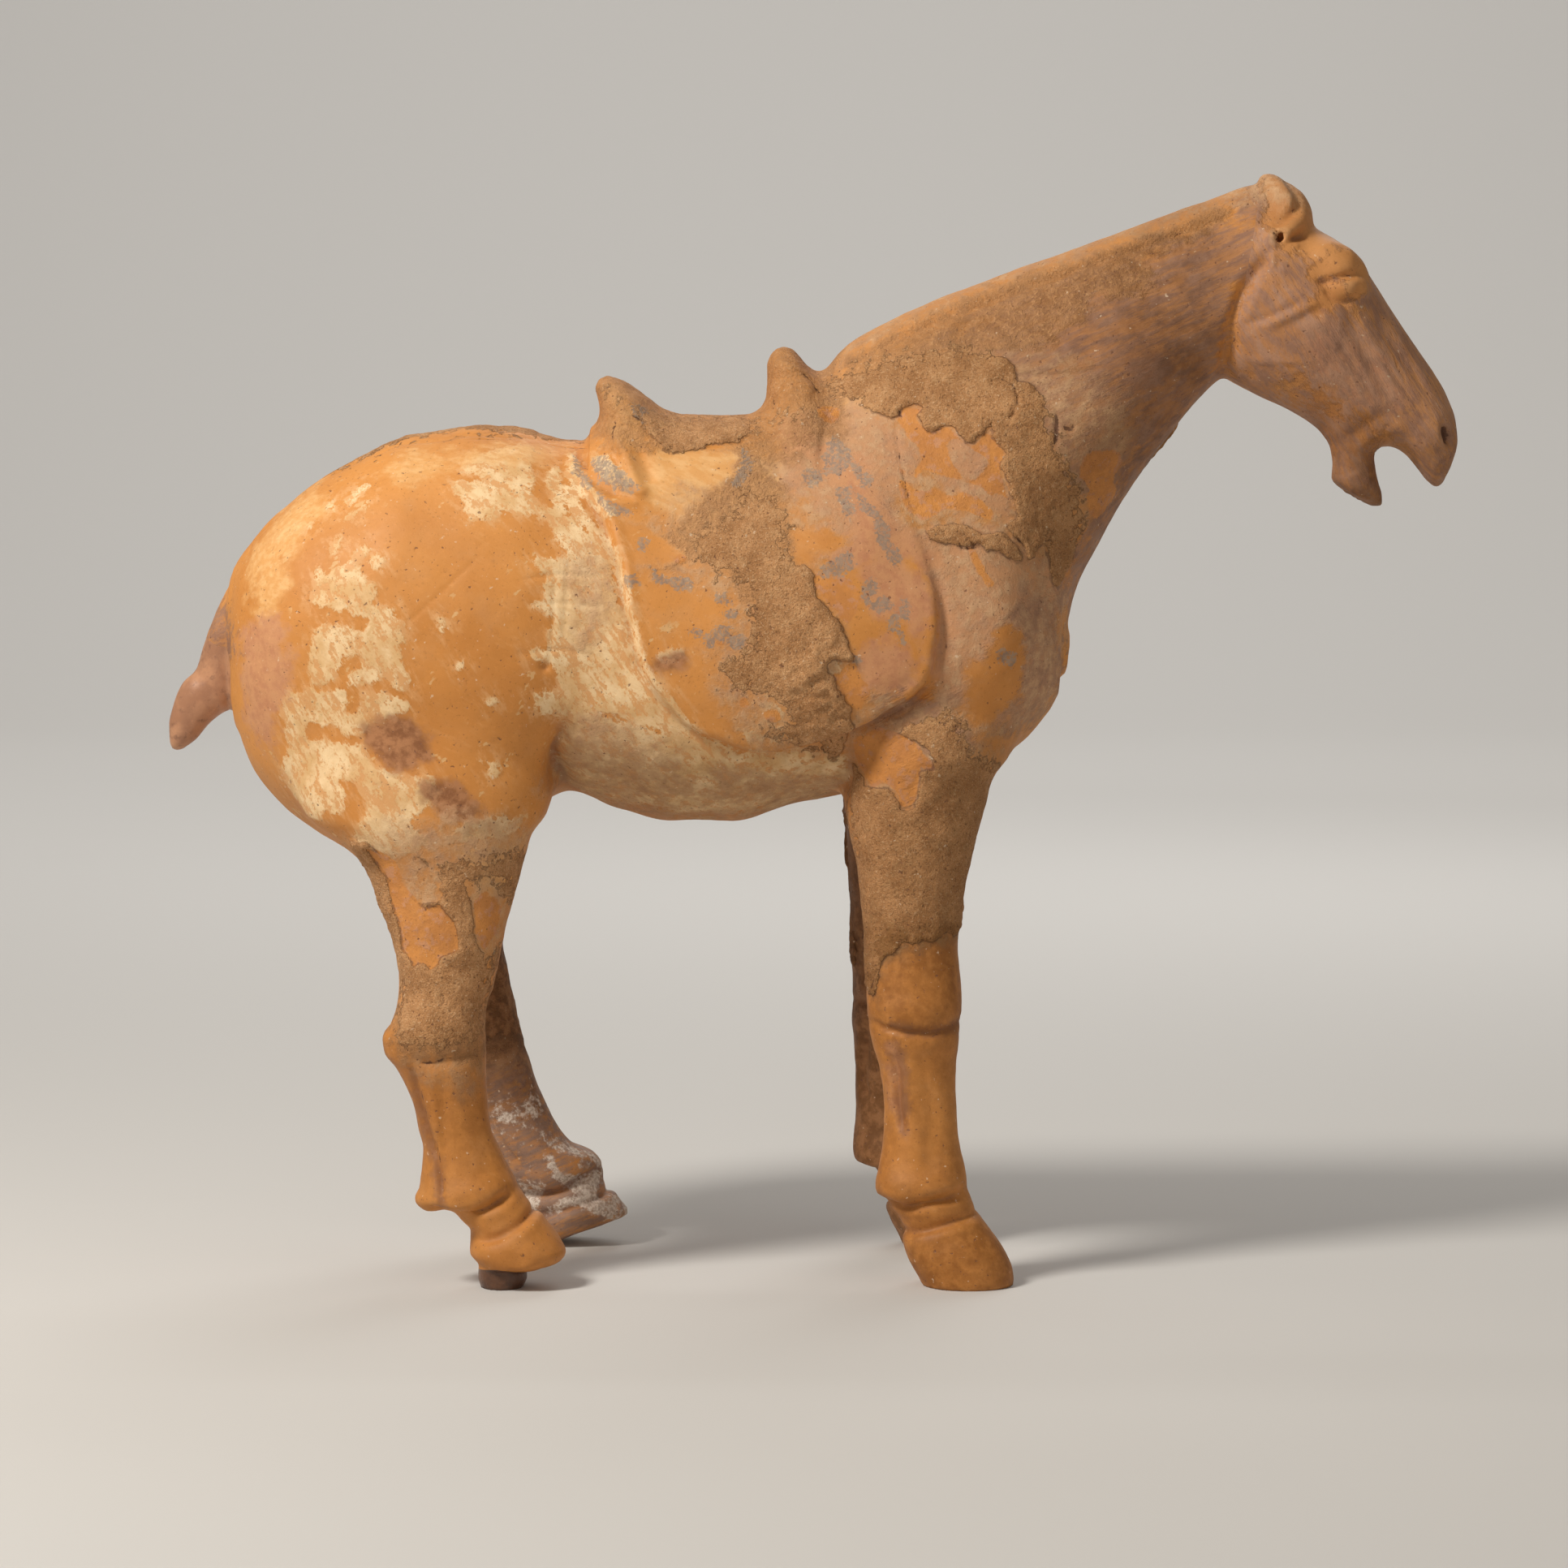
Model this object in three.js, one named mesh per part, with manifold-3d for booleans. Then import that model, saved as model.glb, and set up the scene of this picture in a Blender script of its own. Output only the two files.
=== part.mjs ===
// A standing fired-clay horse with a saddle, about 350 mm long and 299 mm high.
// Millimetres, +Z up, +X towards the muzzle, -Y is the horse's right side.
// Origin: on the ground, under the middle of the figure.
//
// The figure is put together the way a mould-made earthenware horse is: two
// pressed half shells for the barrel and neck, two for the head, four solid legs,
// a peg tail, and applied clay for the mane, forelock, ears, saddle and saddle
// cloth. Coils of clay pressed along the inside hold the half shells together.
import * as THREE from "three";
import { mergeVertices } from "three/addons/utils/BufferGeometryUtils.js";
import Module from "manifold-3d";

// ---- driving dimensions -------------------------------------------------------
const WALL = 6.5; // barrel and neck wall
const HEAD_WALL = 6.0;
const GAP = 0.3; // between touching pieces
const CLOTH = 2.4; // saddle cloth thickness
const VENT_R = 13; // firing hole under the belly
const VENT_X = -32;
const COIL_R = 5; // seam coils

const CLAY = { ochre: 0xc98a45, buff: 0xa98058, mauve: 0x9f7a66, brown: 0x8a5c42 };

// barrel: x, top z, bottom z, half width, height of the widest line
const BARREL = [
  [-157.7, 186.4, 150.7, 12, 168],
  [-155.9, 193.1, 145.8, 20.5, 169],
  [-152.5, 198.4, 138.0, 28, 170],
  [-147.5, 204.4, 131.2, 34.5, 170],
  [-140.5, 210.6, 124.6, 39.8, 170],
  [-131.5, 216.8, 118.6, 43.8, 169],
  [-120.5, 222.8, 113.4, 46.8, 168],
  [-107.5, 227.6, 111.6, 48.4, 167],
  [-94.0, 229.4, 113.4, 48.6, 168],
  [-79.5, 228.7, 119.4, 47.8, 170],
  [-66.2, 225.9, 127.0, 46.2, 171],
  [-52.0, 224.4, 124.4, 45.6, 170],
  [-37.4, 223.2, 121.2, 46.6, 168],
  [-22.0, 225.0, 121.2, 47.6, 168],
  [-6.5, 230.7, 124.8, 47.8, 169],
  [9.0, 238.0, 129.2, 46.8, 170],
  [22.2, 234.6, 132.2, 44.8, 171],
  [35.5, 223.4, 134.8, 42.0, 171],
  [48.8, 209.1, 138.0, 38.0, 172],
  [59.6, 195.0, 143.8, 31.0, 170],
  [66.4, 182.0, 152.6, 21.0, 168],
  [69.4, 173.4, 161.4, 10.6, 167.4],
];
// neck: crest x, z, underside x, z, half width
const NECK = [
  [5.4, 238.6, 51.4, 147.0, 33],
  [10.9, 248.9, 66.0, 159.6, 32],
  [22.6, 256.0, 71.2, 182.6, 29],
  [37.9, 262.8, 79.0, 198.6, 25.5],
  [54.5, 269.4, 86.4, 211.8, 22.2],
  [73.0, 275.9, 95.8, 225.2, 19.4],
  [90.6, 282.4, 103.4, 235.2, 17.2],
  [106.2, 287.8, 111.3, 242.6, 16.0],
  [121.0, 292.4, 119.5, 245.6, 15.2],
];
// dock, where the tail is set in: upper point, lower point, half width
const DOCK = [
  [-151.0, 199.5, -144, 184, 14],
  [-158.6, 187.6, -152.0, 175, 11],
  [-163.2, 178.2, -156.0, 167, 8.6],
  [-166.6, 170.2, -158.4, 160.0, 6.8],
];
const TAIL = [
  [-165.0, 171.0, -153.0, 157.0, 6.2],
  [-168.0, 163.0, -157.6, 153.0, 6.0],
  [-172.0, 160.2, -161.8, 151.4, 5.6],
  [-174.6, 154.4, -165.0, 149.0, 4.9],
  [-175.8, 148.4, -169.0, 144.2, 3.6],
  [-175.6, 144.0, -173.0, 141.8, 1.7],
];
// head: upper point, lower point, half width
const HEAD = [
  [121.4, 291.6, 111.0, 262.0, 12.0],
  [130.0, 289.0, 111.6, 249.5, 16.8],
  [138.4, 281.7, 113.8, 242.6, 18.8],
  [145.5, 278.2, 120.4, 239.1, 19.8],
  [150.7, 271.2, 126.4, 236.0, 19.2],
  [155.0, 264.6, 132.2, 232.9, 17.6],
  [159.4, 258.0, 137.5, 229.4, 15.8],
  [163.9, 251.4, 143.3, 225.6, 14.0],
  [168.8, 244.4, 150.2, 223.4, 12.6],
  [172.8, 237.8, 157.4, 225.0, 11.8],
  [175.4, 231.2, 162.8, 221.9, 11.0],
  [175.8, 225.7, 165.1, 218.8, 9.6],
  [174.2, 220.1, 166.9, 215.8, 7.0],
  [172.1, 214.8, 169.2, 213.4, 3.4],
];
// lower jaw: rear x, z, front x, z, half width
const JAW = [
  [139.0, 229.0, 153.5, 226.0, 9.0],
  [141.4, 223.8, 153.1, 222.4, 8.6],
  [142.4, 219.6, 153.2, 218.6, 8.4],
  [142.2, 215.6, 154.4, 214.6, 8.2],
  [145.0, 212.4, 155.4, 211.2, 7.4],
  [150.0, 209.4, 155.2, 208.8, 4.6],
];
// legs: z, rear x, front x, centre y, half width in y
const FORE_R = [
  [160, 14, 50, -16, 17],
  [151, 10.8, 53, -20, 20.5],
  [141.7, 9.8, 52.3, -22, 20],
  [128.7, 8.8, 46.8, -24, 16.5],
  [118.0, 10.9, 43.5, -26, 14.8],
  [107.2, 12.7, 41.0, -27.6, 13.3],
  [96.3, 13.8, 39.5, -28.8, 12],
  [85.5, 14.4, 39.5, -29.8, 11.8],
  [75.2, 14.7, 40.0, -30.6, 12.5],
  [68.4, 15.6, 39.5, -31, 11.6],
  [60.4, 17.8, 38.7, -31.6, 9.6],
  [47.4, 19.2, 39.0, -32.2, 8.8],
  [36.5, 18.8, 39.9, -32.6, 9.6],
  [29.6, 17.7, 41.1, -32.9, 11.2],
  [24.0, 17.4, 42.2, -33.1, 11.5],
  [20.6, 20.8, 43.6, -33.3, 10.2],
  [17.4, 25.8, 45.7, -33.5, 9.8],
  [13.1, 25.2, 49.0, -33.8, 11.6],
  [7.8, 25.9, 52.3, -34, 13.2],
  [2.6, 28.2, 54.2, -34, 13.6],
  [0.0, 30.2, 53.4, -34, 12.6],
];
const FORE_L = [
  [160, 14, 50, 16, 17],
  [150, 10.4, 53, 20, 20.5],
  [139.1, 9.3, 50.9, 22, 20],
  [125.4, 8.9, 44.9, 24, 16.5],
  [113.9, 9.8, 41.5, 26, 14.8],
  [102.4, 10.5, 38.9, 27.6, 13.3],
  [90.9, 11.0, 37.1, 28.8, 12],
  [79.4, 11.7, 37.1, 29.8, 12.2],
  [71.0, 12.0, 36.9, 30.4, 12.2],
  [62.1, 12.0, 35.1, 31, 10.3],
  [50.6, 12.2, 33.9, 31.7, 9],
  [39.0, 12.5, 34.6, 32.3, 9.4],
  [31.4, 12.4, 35.8, 32.6, 10.8],
  [24.8, 12.9, 37.5, 33, 11.4],
  [20.5, 17.5, 39.2, 33.2, 10.4],
  [17.0, 21.3, 41.0, 33.4, 9.8],
  [12.0, 21.8, 44.4, 33.8, 12],
  [7.0, 22.6, 47.6, 34, 13.2],
  [2.4, 24.6, 50.4, 34, 13.6],
  [0.0, 26.6, 49.6, 34, 12.6],
];
const HIND_R = [
  [158, -138, -70, -18, 20],
  [149, -144, -66, -22.5, 22.5],
  [138, -142, -67.5, -24.5, 23],
  [126.7, -137.3, -71.4, -26, 22.5],
  [118.0, -127.0, -75.0, -27.2, 20.5],
  [110.0, -119.4, -78.4, -28.4, 17.8],
  [101.9, -115.5, -80.7, -30, 15],
  [91.1, -112.2, -83.3, -31.5, 13],
  [80.3, -111.1, -85.4, -32.5, 11.6],
  [69.5, -113.0, -87.6, -33.5, 12.2],
  [64.1, -114.5, -87.6, -34, 12],
  [58.0, -111.6, -87.6, -34.3, 11],
  [50.0, -107.8, -87.2, -34.8, 10],
  [42.4, -105.8, -86.1, -35.3, 9.6],
  [32.0, -104.0, -81.6, -36, 10.4],
  [25.0, -104.1, -77.6, -36.5, 11.5],
  [21.6, -102.6, -75.0, -36.8, 11.3],
  [18.6, -94.0, -72.3, -37, 10.2],
  [14.6, -91.6, -69.0, -37.5, 11.2],
  [9.4, -91.5, -66.0, -38, 12.6],
  [7.0, -89.8, -67.4, -38, 12.4],
  [5.6, -88.4, -74.0, -38, 11],
];
const HIND_L = [
  [158, -138, -70, 18, 20],
  [149, -144, -66, 22.5, 22.5],
  [138, -141, -68.5, 24.5, 23],
  [125.2, -135.4, -74.8, 26, 22.5],
  [116.1, -129.9, -78.9, 27, 21],
  [106.0, -122.8, -81.8, 28.4, 18],
  [96.5, -117.3, -84.4, 30, 15],
  [84.9, -112.7, -86.3, 31.5, 13],
  [73.4, -110.3, -84.1, 32.5, 11.6],
  [63.0, -108.8, -81.7, 33.4, 12.3],
  [54.0, -103.8, -79.4, 34, 11.3],
  [44.5, -98.7, -76.1, 34.6, 10],
  [34.8, -94.4, -71.3, 35.2, 9.9],
  [28.7, -91.5, -67.5, 35.7, 10.6],
  [24.6, -90.0, -61.2, 36, 11.3],
  [18.4, -87.1, -58.9, 36.8, 11.3],
  [15.1, -84.3, -56.9, 37, 11],
  [9.8, -82.3, -52.4, 37.8, 12.4],
  [6.0, -81.7, -54.6, 38, 12.6],
  [3.0, -81.2, -64.0, 38, 12],
  [0.0, -80.6, -71.4, 38, 10],
];
// saddle arches: z, rear x, front x, half width
const POMMEL = [
  [212, -17.0, 9.0, 29],
  [224, -14.4, 8.6, 26.5],
  [233, -12.8, 7.4, 23],
  [239, -12.2, 4.6, 19],
  [242.6, -12.1, 2.0, 15.6],
  [246, -12.0, -1.6, 12.4],
  [249.6, -10.6, -4.4, 7.6],
  [250.8, -9.0, -6.6, 3.6],
];
const CANTLE = [
  [212, -61.5, -38.0, 33],
  [222, -59.6, -38.6, 30.5],
  [230, -58.2, -39.6, 26.5],
  [236, -58.5, -43.0, 21.5],
  [240.2, -58.8, -48.2, 15],
  [242.6, -58.0, -52.4, 8],
  [243.3, -56.8, -54.6, 3.4],
];
// saddle cloth outline on the flank, x and z
const CLOTH_EDGE = [
  [-66.4, 222.0], [-62.8, 211.7], [-57.9, 204.3], [-53.9, 196.8], [-50.5, 188.8],
  [-48.6, 178.1], [-45.6, 169.1], [-42.2, 161.4], [-37.2, 155.3], [-32.3, 150.4],
  [-26.5, 147.4], [-17.5, 145.0], [-9.7, 143.7], [-1.8, 144.6], [6.2, 146.5],
  [13.0, 150.0], [19.9, 153.4], [25.9, 156.4], [30.9, 161.4], [33.2, 168.2],
  [33.6, 176.2], [33.2, 186.0], [31.6, 195.7], [28.6, 203.6], [24.0, 211.4],
  [24.0, 222.0],
];
// forelock lobe: middle x and z, half lengths along, across and sideways, tilt
const FORELOCK = { x: 128.6, z: 290.2, a: 9.4, b: 7.7, w: 9.2, tilt: 0.52 };
// eye bulges and nostrils: x, distance from the middle plane, z, radius
const EYE = [142.4, 11.6, 271.6, 6.0];
const NOSTRIL = [171.4, 10.6, 227.8, 2.9];

// ---- helpers ------------------------------------------------------------------
const wasm = await Module();
wasm.setup();

function toSolid(geometry) {
  const g = geometry.clone();
  for (const name of Object.keys(g.attributes))
    if (name !== "position") g.deleteAttribute(name);
  const merged = mergeVertices(g, 1e-3);
  const tri = new Uint32Array(merged.index.array);
  const mesh = new wasm.Mesh({
    numProp: 3,
    vertProperties: merged.attributes.position.array,
    triVerts: tri,
  });
  let solid = new wasm.Manifold(mesh);
  if (solid.volume() < 0) {
    for (let i = 0; i < tri.length; i += 3) [tri[i + 1], tri[i + 2]] = [tri[i + 2], tri[i + 1]];
    solid = new wasm.Manifold(
      new wasm.Mesh({ numProp: 3, vertProperties: merged.attributes.position.array, triVerts: tri }),
    );
  }
  return solid;
}

function toGeometry(solid) {
  const m = solid.getMesh();
  const p = new Float32Array(m.numVert * 3);
  for (let i = 0; i < m.numVert; i++)
    p.set(m.vertProperties.subarray(i * m.numProp, i * m.numProp + 3), i * 3);
  const g = new THREE.BufferGeometry();
  g.setAttribute("position", new THREE.BufferAttribute(p, 3));
  g.setIndex(new THREE.BufferAttribute(m.triVerts, 1));
  g.computeVertexNormals();
  return g;
}

// keeps only the largest body of a cut piece
function largest(solid) {
  return solid.decompose().sort((a, b) => b.volume() - a.volume())[0];
}

// closed skin through rings of equal count
function skin(rings) {
  const n = rings[0].length;
  const pos = [];
  for (const r of rings) for (const p of r) pos.push(p.x, p.y, p.z);
  const idx = [];
  for (let s = 0; s < rings.length - 1; s++)
    for (let i = 0; i < n; i++) {
      const a = s * n + i, b = s * n + ((i + 1) % n), c = a + n, d = b + n;
      idx.push(a, b, d, a, d, c);
    }
  for (const [s, flip] of [[0, true], [rings.length - 1, false]]) {
    const c = new THREE.Vector3();
    for (const p of rings[s]) c.add(p);
    c.divideScalar(n);
    const k = pos.length / 3;
    pos.push(c.x, c.y, c.z);
    for (let i = 0; i < n; i++) {
      const a = s * n + i, b = s * n + ((i + 1) % n);
      flip ? idx.push(k, b, a) : idx.push(k, a, b);
    }
  }
  const g = new THREE.BufferGeometry();
  g.setAttribute("position", new THREE.Float32BufferAttribute(pos, 3));
  g.setIndex(idx);
  return g;
}

const power = (v, e) => Math.sign(v) * Math.abs(v) ** e;

// rings in planes of constant x: [x, top, bottom, half width, z of widest]
function barrelRings(list, grow, n = 28, e = 0.94) {
  const last = list.length - 1;
  return list.map(([x, zt, zb, w, zc], s) => {
    const out = [];
    const gx = s === 0 ? -grow : s === last ? grow : 0;
    for (let i = 0; i < n; i++) {
      const t = (i / n) * 2 * Math.PI;
      const c = power(Math.cos(t), e), si = power(Math.sin(t), e);
      const h = c > 0 ? zt - zc + grow : zc - zb + grow;
      out.push(new THREE.Vector3(x + gx, (w + grow) * si, zc + h * c));
    }
    return out;
  });
}

// rings between an upper and a lower point of the middle plane, narrowing by k at the upper point
function spanRings(list, grow, n = 22, k = 0.16) {
  return list.map(([ax, az, bx, bz, w]) => {
    const a = new THREE.Vector3(ax, 0, az), b = new THREE.Vector3(bx, 0, bz);
    const c = a.clone().add(b).multiplyScalar(0.5);
    const u = a.clone().sub(b);
    const h = u.length() / 2 + grow;
    u.normalize();
    const out = [];
    for (let i = 0; i < n; i++) {
      const t = (i / n) * 2 * Math.PI;
      const p = c.clone().addScaledVector(u, h * Math.cos(t));
      p.y = Math.max(w + grow, 0.4) * Math.sin(t) * (1 - k * Math.cos(t));
      out.push(p);
    }
    return out;
  });
}

// rings in planes of constant z: [z, rear x, front x, centre y, half width]
function legRings(list, grow, n = 14, e = 0.9) {
  return list.map(([z, xr, xf, yc, w], s) => {
    const out = [];
    const down = list[0][0] > list[list.length - 1][0] ? 1 : -1;
    const gz = s === 0 ? grow * down : s === list.length - 1 ? -grow * down : 0;
    for (let i = 0; i < n; i++) {
      const t = (i / n) * 2 * Math.PI;
      out.push(
        new THREE.Vector3(
          (xr + xf) / 2 + ((xf - xr) / 2 + grow) * power(Math.cos(t), e),
          yc + (w + grow) * power(Math.sin(t), e),
          z + gz,
        ),
      );
    }
    return out;
  });
}

const archRings = (list, grow) =>
  legRings(list.map(([z, xr, xf, w]) => [z, xr, xf, 0, w]), grow, 20, 0.85);

const boxSolid = (x0, x1, y0, y1, z0, z1) =>
  toSolid(
    new THREE.BoxGeometry(x1 - x0, y1 - y0, z1 - z0).translate((x0 + x1) / 2, (y0 + y1) / 2, (z0 + z1) / 2),
  );

// an outline in x and z, extruded along y from y0 to y1
function prism(outline, y0, y1) {
  const shape = new THREE.Shape(outline.map(([x, z]) => new THREE.Vector2(x, z)));
  const g = new THREE.ExtrudeGeometry(shape, { depth: y1 - y0, bevelEnabled: false, curveSegments: 8 });
  // (x, y, depth) to (x, z, y)
  g.applyMatrix4(new THREE.Matrix4().makeBasis(
    new THREE.Vector3(1, 0, 0), new THREE.Vector3(0, 0, 1), new THREE.Vector3(0, -1, 0)));
  g.translate(0, y1, 0);
  return toSolid(g);
}

// pushes an outline outwards from its middle
function spread(outline, d) {
  const cx = outline.reduce((s, p) => s + p[0], 0) / outline.length;
  const cz = outline.reduce((s, p) => s + p[1], 0) / outline.length;
  return outline.map(([x, z]) => {
    const l = Math.hypot(x - cx, z - cz);
    return [x + ((x - cx) / l) * d, z + ((z - cz) / l) * d];
  });
}

// ---- outer and inner volumes --------------------------------------------------
const ROUND = 26; // sides of the barrel
const barrel = (grow, n = ROUND) => toSolid(skin(barrelRings(BARREL, grow, n)));
const neck = (grow, n) => toSolid(skin(spanRings(NECK, grow, n)));
const dock = (grow) => toSolid(skin(spanRings(DOCK, grow, 14, 0.1)));

const bodyOuter = (grow) => barrel(grow).add(neck(grow, 20)).add(dock(grow));
const hollowBarrel = BARREL.slice(2, 20).map(([x, a, b, w, c]) => [x + (x < -100 ? 3.5 : x > 45 ? -3.5 : 0), a, b, w, c]);
const hollow = (less) =>
  toSolid(skin(barrelRings(hollowBarrel, -WALL - less, 18))).add(
    toSolid(skin(spanRings(NECK.slice(0, 8), -WALL - less, 14))),
  );

// head and neck meet on a slanting plane behind the cheek
const JOIN_TOP = new THREE.Vector2(121.6, 297);
const JOIN_LOW = new THREE.Vector2(110.6, 240);
function joinSide(front, offset) {
  // a big prism in front of (or behind) the join plane
  const d = JOIN_TOP.clone().sub(JOIN_LOW).normalize();
  const nrm = new THREE.Vector2(d.y, -d.x).multiplyScalar(front ? 1 : -1); // points away from the kept side's start
  const top = JOIN_TOP.clone().addScaledVector(d, 60).addScaledVector(nrm, offset);
  const low = JOIN_LOW.clone().addScaledVector(d, -200).addScaledVector(nrm, offset);
  const far = nrm.clone().multiplyScalar(400);
  return prism(
    [[top.x, top.y], [low.x, low.y], [low.x + far.x, low.y + far.y], [top.x + far.x, top.y + far.y]],
    -120,
    120,
  );
}

const seatZ = 211.6;
const pommel = (grow) => toSolid(skin(archRings(POMMEL, grow)));
const cantle = (grow) => toSolid(skin(archRings(CANTLE, grow)));
const seatLoft = (grow) =>
  toSolid(
    skin(
      barrelRings(
        [
          [-60.0, 229.0, 170, 34.5, 196],
          [-52.0, 232.0, 170, 36.0, 196],
          [-44.0, 233.6, 170, 36.6, 196],
          [-32.0, 232.9, 170, 36.8, 196],
          [-20.0, 233.2, 170, 36.6, 196],
          [-10.0, 234.4, 170, 36.0, 196],
          [0.0, 236.0, 170, 34.4, 196],
        ],
        grow,
        26,
        1,
      ),
    ),
  );
// mane: points of the crest
const maneLine = [
  [3.6, 242.8], [9.3, 251.9], [15.0, 255.6], [24.0, 259.8], [38.0, 265.7], [54.0, 271.9],
  [72.3, 278.4], [90.0, 284.9], [105.8, 290.3], [120.2, 295.2],
];
const maneRings = (grow) =>
  maneLine.map(([x, z], i) => {
    const q = maneLine[Math.min(i + 1, maneLine.length - 1)], p = maneLine[Math.max(i - 1, 0)];
    const d = new THREE.Vector3(q[0] - p[0], 0, q[1] - p[1]).normalize();
    const u = new THREE.Vector3(-d.z, 0, d.x);
    const half = i === 0 ? 3.2 : 5.6;
    const deep = i === 0 ? 2.2 : 3.4;
    const out = [];
    for (let k = 0; k < 12; k++) {
      const t = (k / 12) * 2 * Math.PI;
      const v = new THREE.Vector3(x, 0, z).addScaledVector(u, -deep + (deep + grow) * Math.cos(t));
      v.y = (half + grow) * Math.sin(t);
      out.push(v);
    }
    return out;
  });
const mane = (grow) => toSolid(skin(maneRings(grow)));
const ball = (x, y, z, r) => toSolid(new THREE.SphereGeometry(r, 14, 9).translate(x, y, z));
const forelock = (grow) =>
  toSolid(
    new THREE.SphereGeometry(1, 16, 10)
      .scale(FORELOCK.a + grow, FORELOCK.w + grow, FORELOCK.b + grow)
      .rotateY(FORELOCK.tilt)
      .translate(FORELOCK.x, 0, FORELOCK.z),
  );
const ear = (side, grow) => {
  // short broken socket, a ring with a blind hole
  const r = 4.6 + grow, h = 7.5 + grow;
  const pts = [
    new THREE.Vector2(0, -grow),
    new THREE.Vector2(r, -grow),
    new THREE.Vector2(r * 0.86, h),
  ];
  if (grow > 0) pts.push(new THREE.Vector2(0, h));
  else pts.push(new THREE.Vector2(2.2, h), new THREE.Vector2(1.8, h - 3.2), new THREE.Vector2(0, h - 3.2));
  const g = new THREE.LatheGeometry(pts, 14);
  g.rotateX(Math.PI / 2); // lathe axis to +Z
  g.rotateX(-side * 0.95); // lean outwards
  g.rotateY(-0.35); // and backwards
  g.translate(128.2, side * 9.6, 279.6);
  return toSolid(g);
};

const legLoft = (list, grow) => toSolid(skin(legRings(list, grow)));
const clothPrism = (side, grow) =>
  side < 0 ? prism(spread(CLOTH_EDGE, grow), -75, -8) : prism(spread(CLOTH_EDGE, grow), 8, 75);

// ---- cutting ------------------------------------------------------------------
const bodyFull = bodyOuter(0);
const bodyKeepOut = bodyOuter(GAP);
const clothBand = barrel(CLOTH + GAP).subtract(bodyKeepOut);
const vent = toSolid(
  new THREE.CylinderGeometry(VENT_R, VENT_R, 60, 24).rotateX(Math.PI / 2).translate(VENT_X, 0, 122),
);
const rightHalf = boxSolid(-260, 260, -130, -GAP / 2, -20, 340);
const leftHalf = boxSolid(-260, 260, GAP / 2, 130, -20, 340);

const body = bodyFull
  .subtract(hollow(0))
  .subtract(vent)
  .subtract(mane(GAP))
  .subtract(forelock(GAP))
  .subtract(joinSide(true, -GAP / 2));

const headSolid = toSolid(skin(spanRings(HEAD, 0, 20, -0.04)))
  .add(toSolid(skin(spanRings(JAW, 0, 12, 0))))
  .add(ball(EYE[0], -EYE[1], EYE[2], EYE[3]))
  .add(ball(EYE[0], EYE[1], EYE[2], EYE[3]))
  .subtract(ball(NOSTRIL[0], -NOSTRIL[1], NOSTRIL[2], NOSTRIL[3]))
  .subtract(ball(NOSTRIL[0], NOSTRIL[1], NOSTRIL[2], NOSTRIL[3]))
  .subtract(joinSide(false, -GAP / 2))
  .subtract(toSolid(skin(spanRings(HEAD.slice(1, 8), -HEAD_WALL, 14, 0))))
  .subtract(ear(-1, GAP))
  .subtract(ear(1, GAP))
  .subtract(mane(GAP))
  .subtract(forelock(GAP));

const seat = seatLoft(0)
  .intersect(boxSolid(-61.5, -0.5, -60, 60, seatZ, 260))
  .subtract(barrel(GAP))
  .subtract(neck(GAP, 20))
  .subtract(pommel(GAP))
  .subtract(cantle(GAP))
  .subtract(mane(GAP));
const arch = (a) =>
  a
    .subtract(barrel(GAP))
    .subtract(neck(GAP, 20))
    .subtract(mane(GAP))
    .intersect(boxSolid(-80, 20, -60, 60, seatZ, 260));

const cloth = (side) =>
  barrel(CLOTH)
    .subtract(bodyKeepOut)
    .intersect(clothPrism(side, 0))
    .intersect(boxSolid(-90, 60, -70, 70, 120, seatZ - GAP));

const leg = (list, side) =>
  legLoft(list, 0)
    .subtract(bodyKeepOut)
    .subtract(clothBand.intersect(clothPrism(side, GAP)).intersect(boxSolid(-90, 60, -70, 70, 120, seatZ)));

// coil of clay pressed along the inside of the seam between the half shells
const coil = (path, r) => {
  const curve = new THREE.CatmullRomCurve3(path.map(([x, z]) => new THREE.Vector3(x, 0, z)));
  const shape = new THREE.Shape().absellipse(0, 0, r, r * 1.5, 0, 2 * Math.PI);
  const g = new THREE.ExtrudeGeometry(shape, {
    steps: path.length,
    bevelEnabled: false,
    extrudePath: curve,
    curveSegments: 3,
  });
  return toSolid(g).intersect(hollow(GAP));
};
const inTop = BARREL.slice(4, 16).map(([x, zt]) => [x, zt - WALL - 1.0]);
const inLow = (from, to) =>
  BARREL.filter(([x]) => x > from && x < to).map(([x, , zb]) => [x, zb + WALL + 1.0]);

const fill = toSolid(
  skin(
    legRings(
      [
        [8.0, -88.0, -77.0, -37.5, 7.4],
        [4.0, -88.9, -77.6, -38, 8],
        [1.6, -88.2, -78.2, -38, 8],
        [0.0, -87.2, -79.0, -38, 7.2],
      ],
      0,
      14,
      0.9,
    ),
  ),
).subtract(legLoft(HIND_R, GAP));

const tail = toSolid(skin(spanRings(TAIL, 0, 14, 0))).subtract(bodyKeepOut);

// ---- assembly -----------------------------------------------------------------
const horse = new THREE.Group();
function piece(name, solid, color, roughness = 0.9) {
  const mesh = new THREE.Mesh(
    toGeometry(largest(solid)),
    new THREE.MeshStandardMaterial({ color, roughness, metalness: 0 }),
  );
  mesh.name = name;
  horse.add(mesh);
  return mesh;
}

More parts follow.
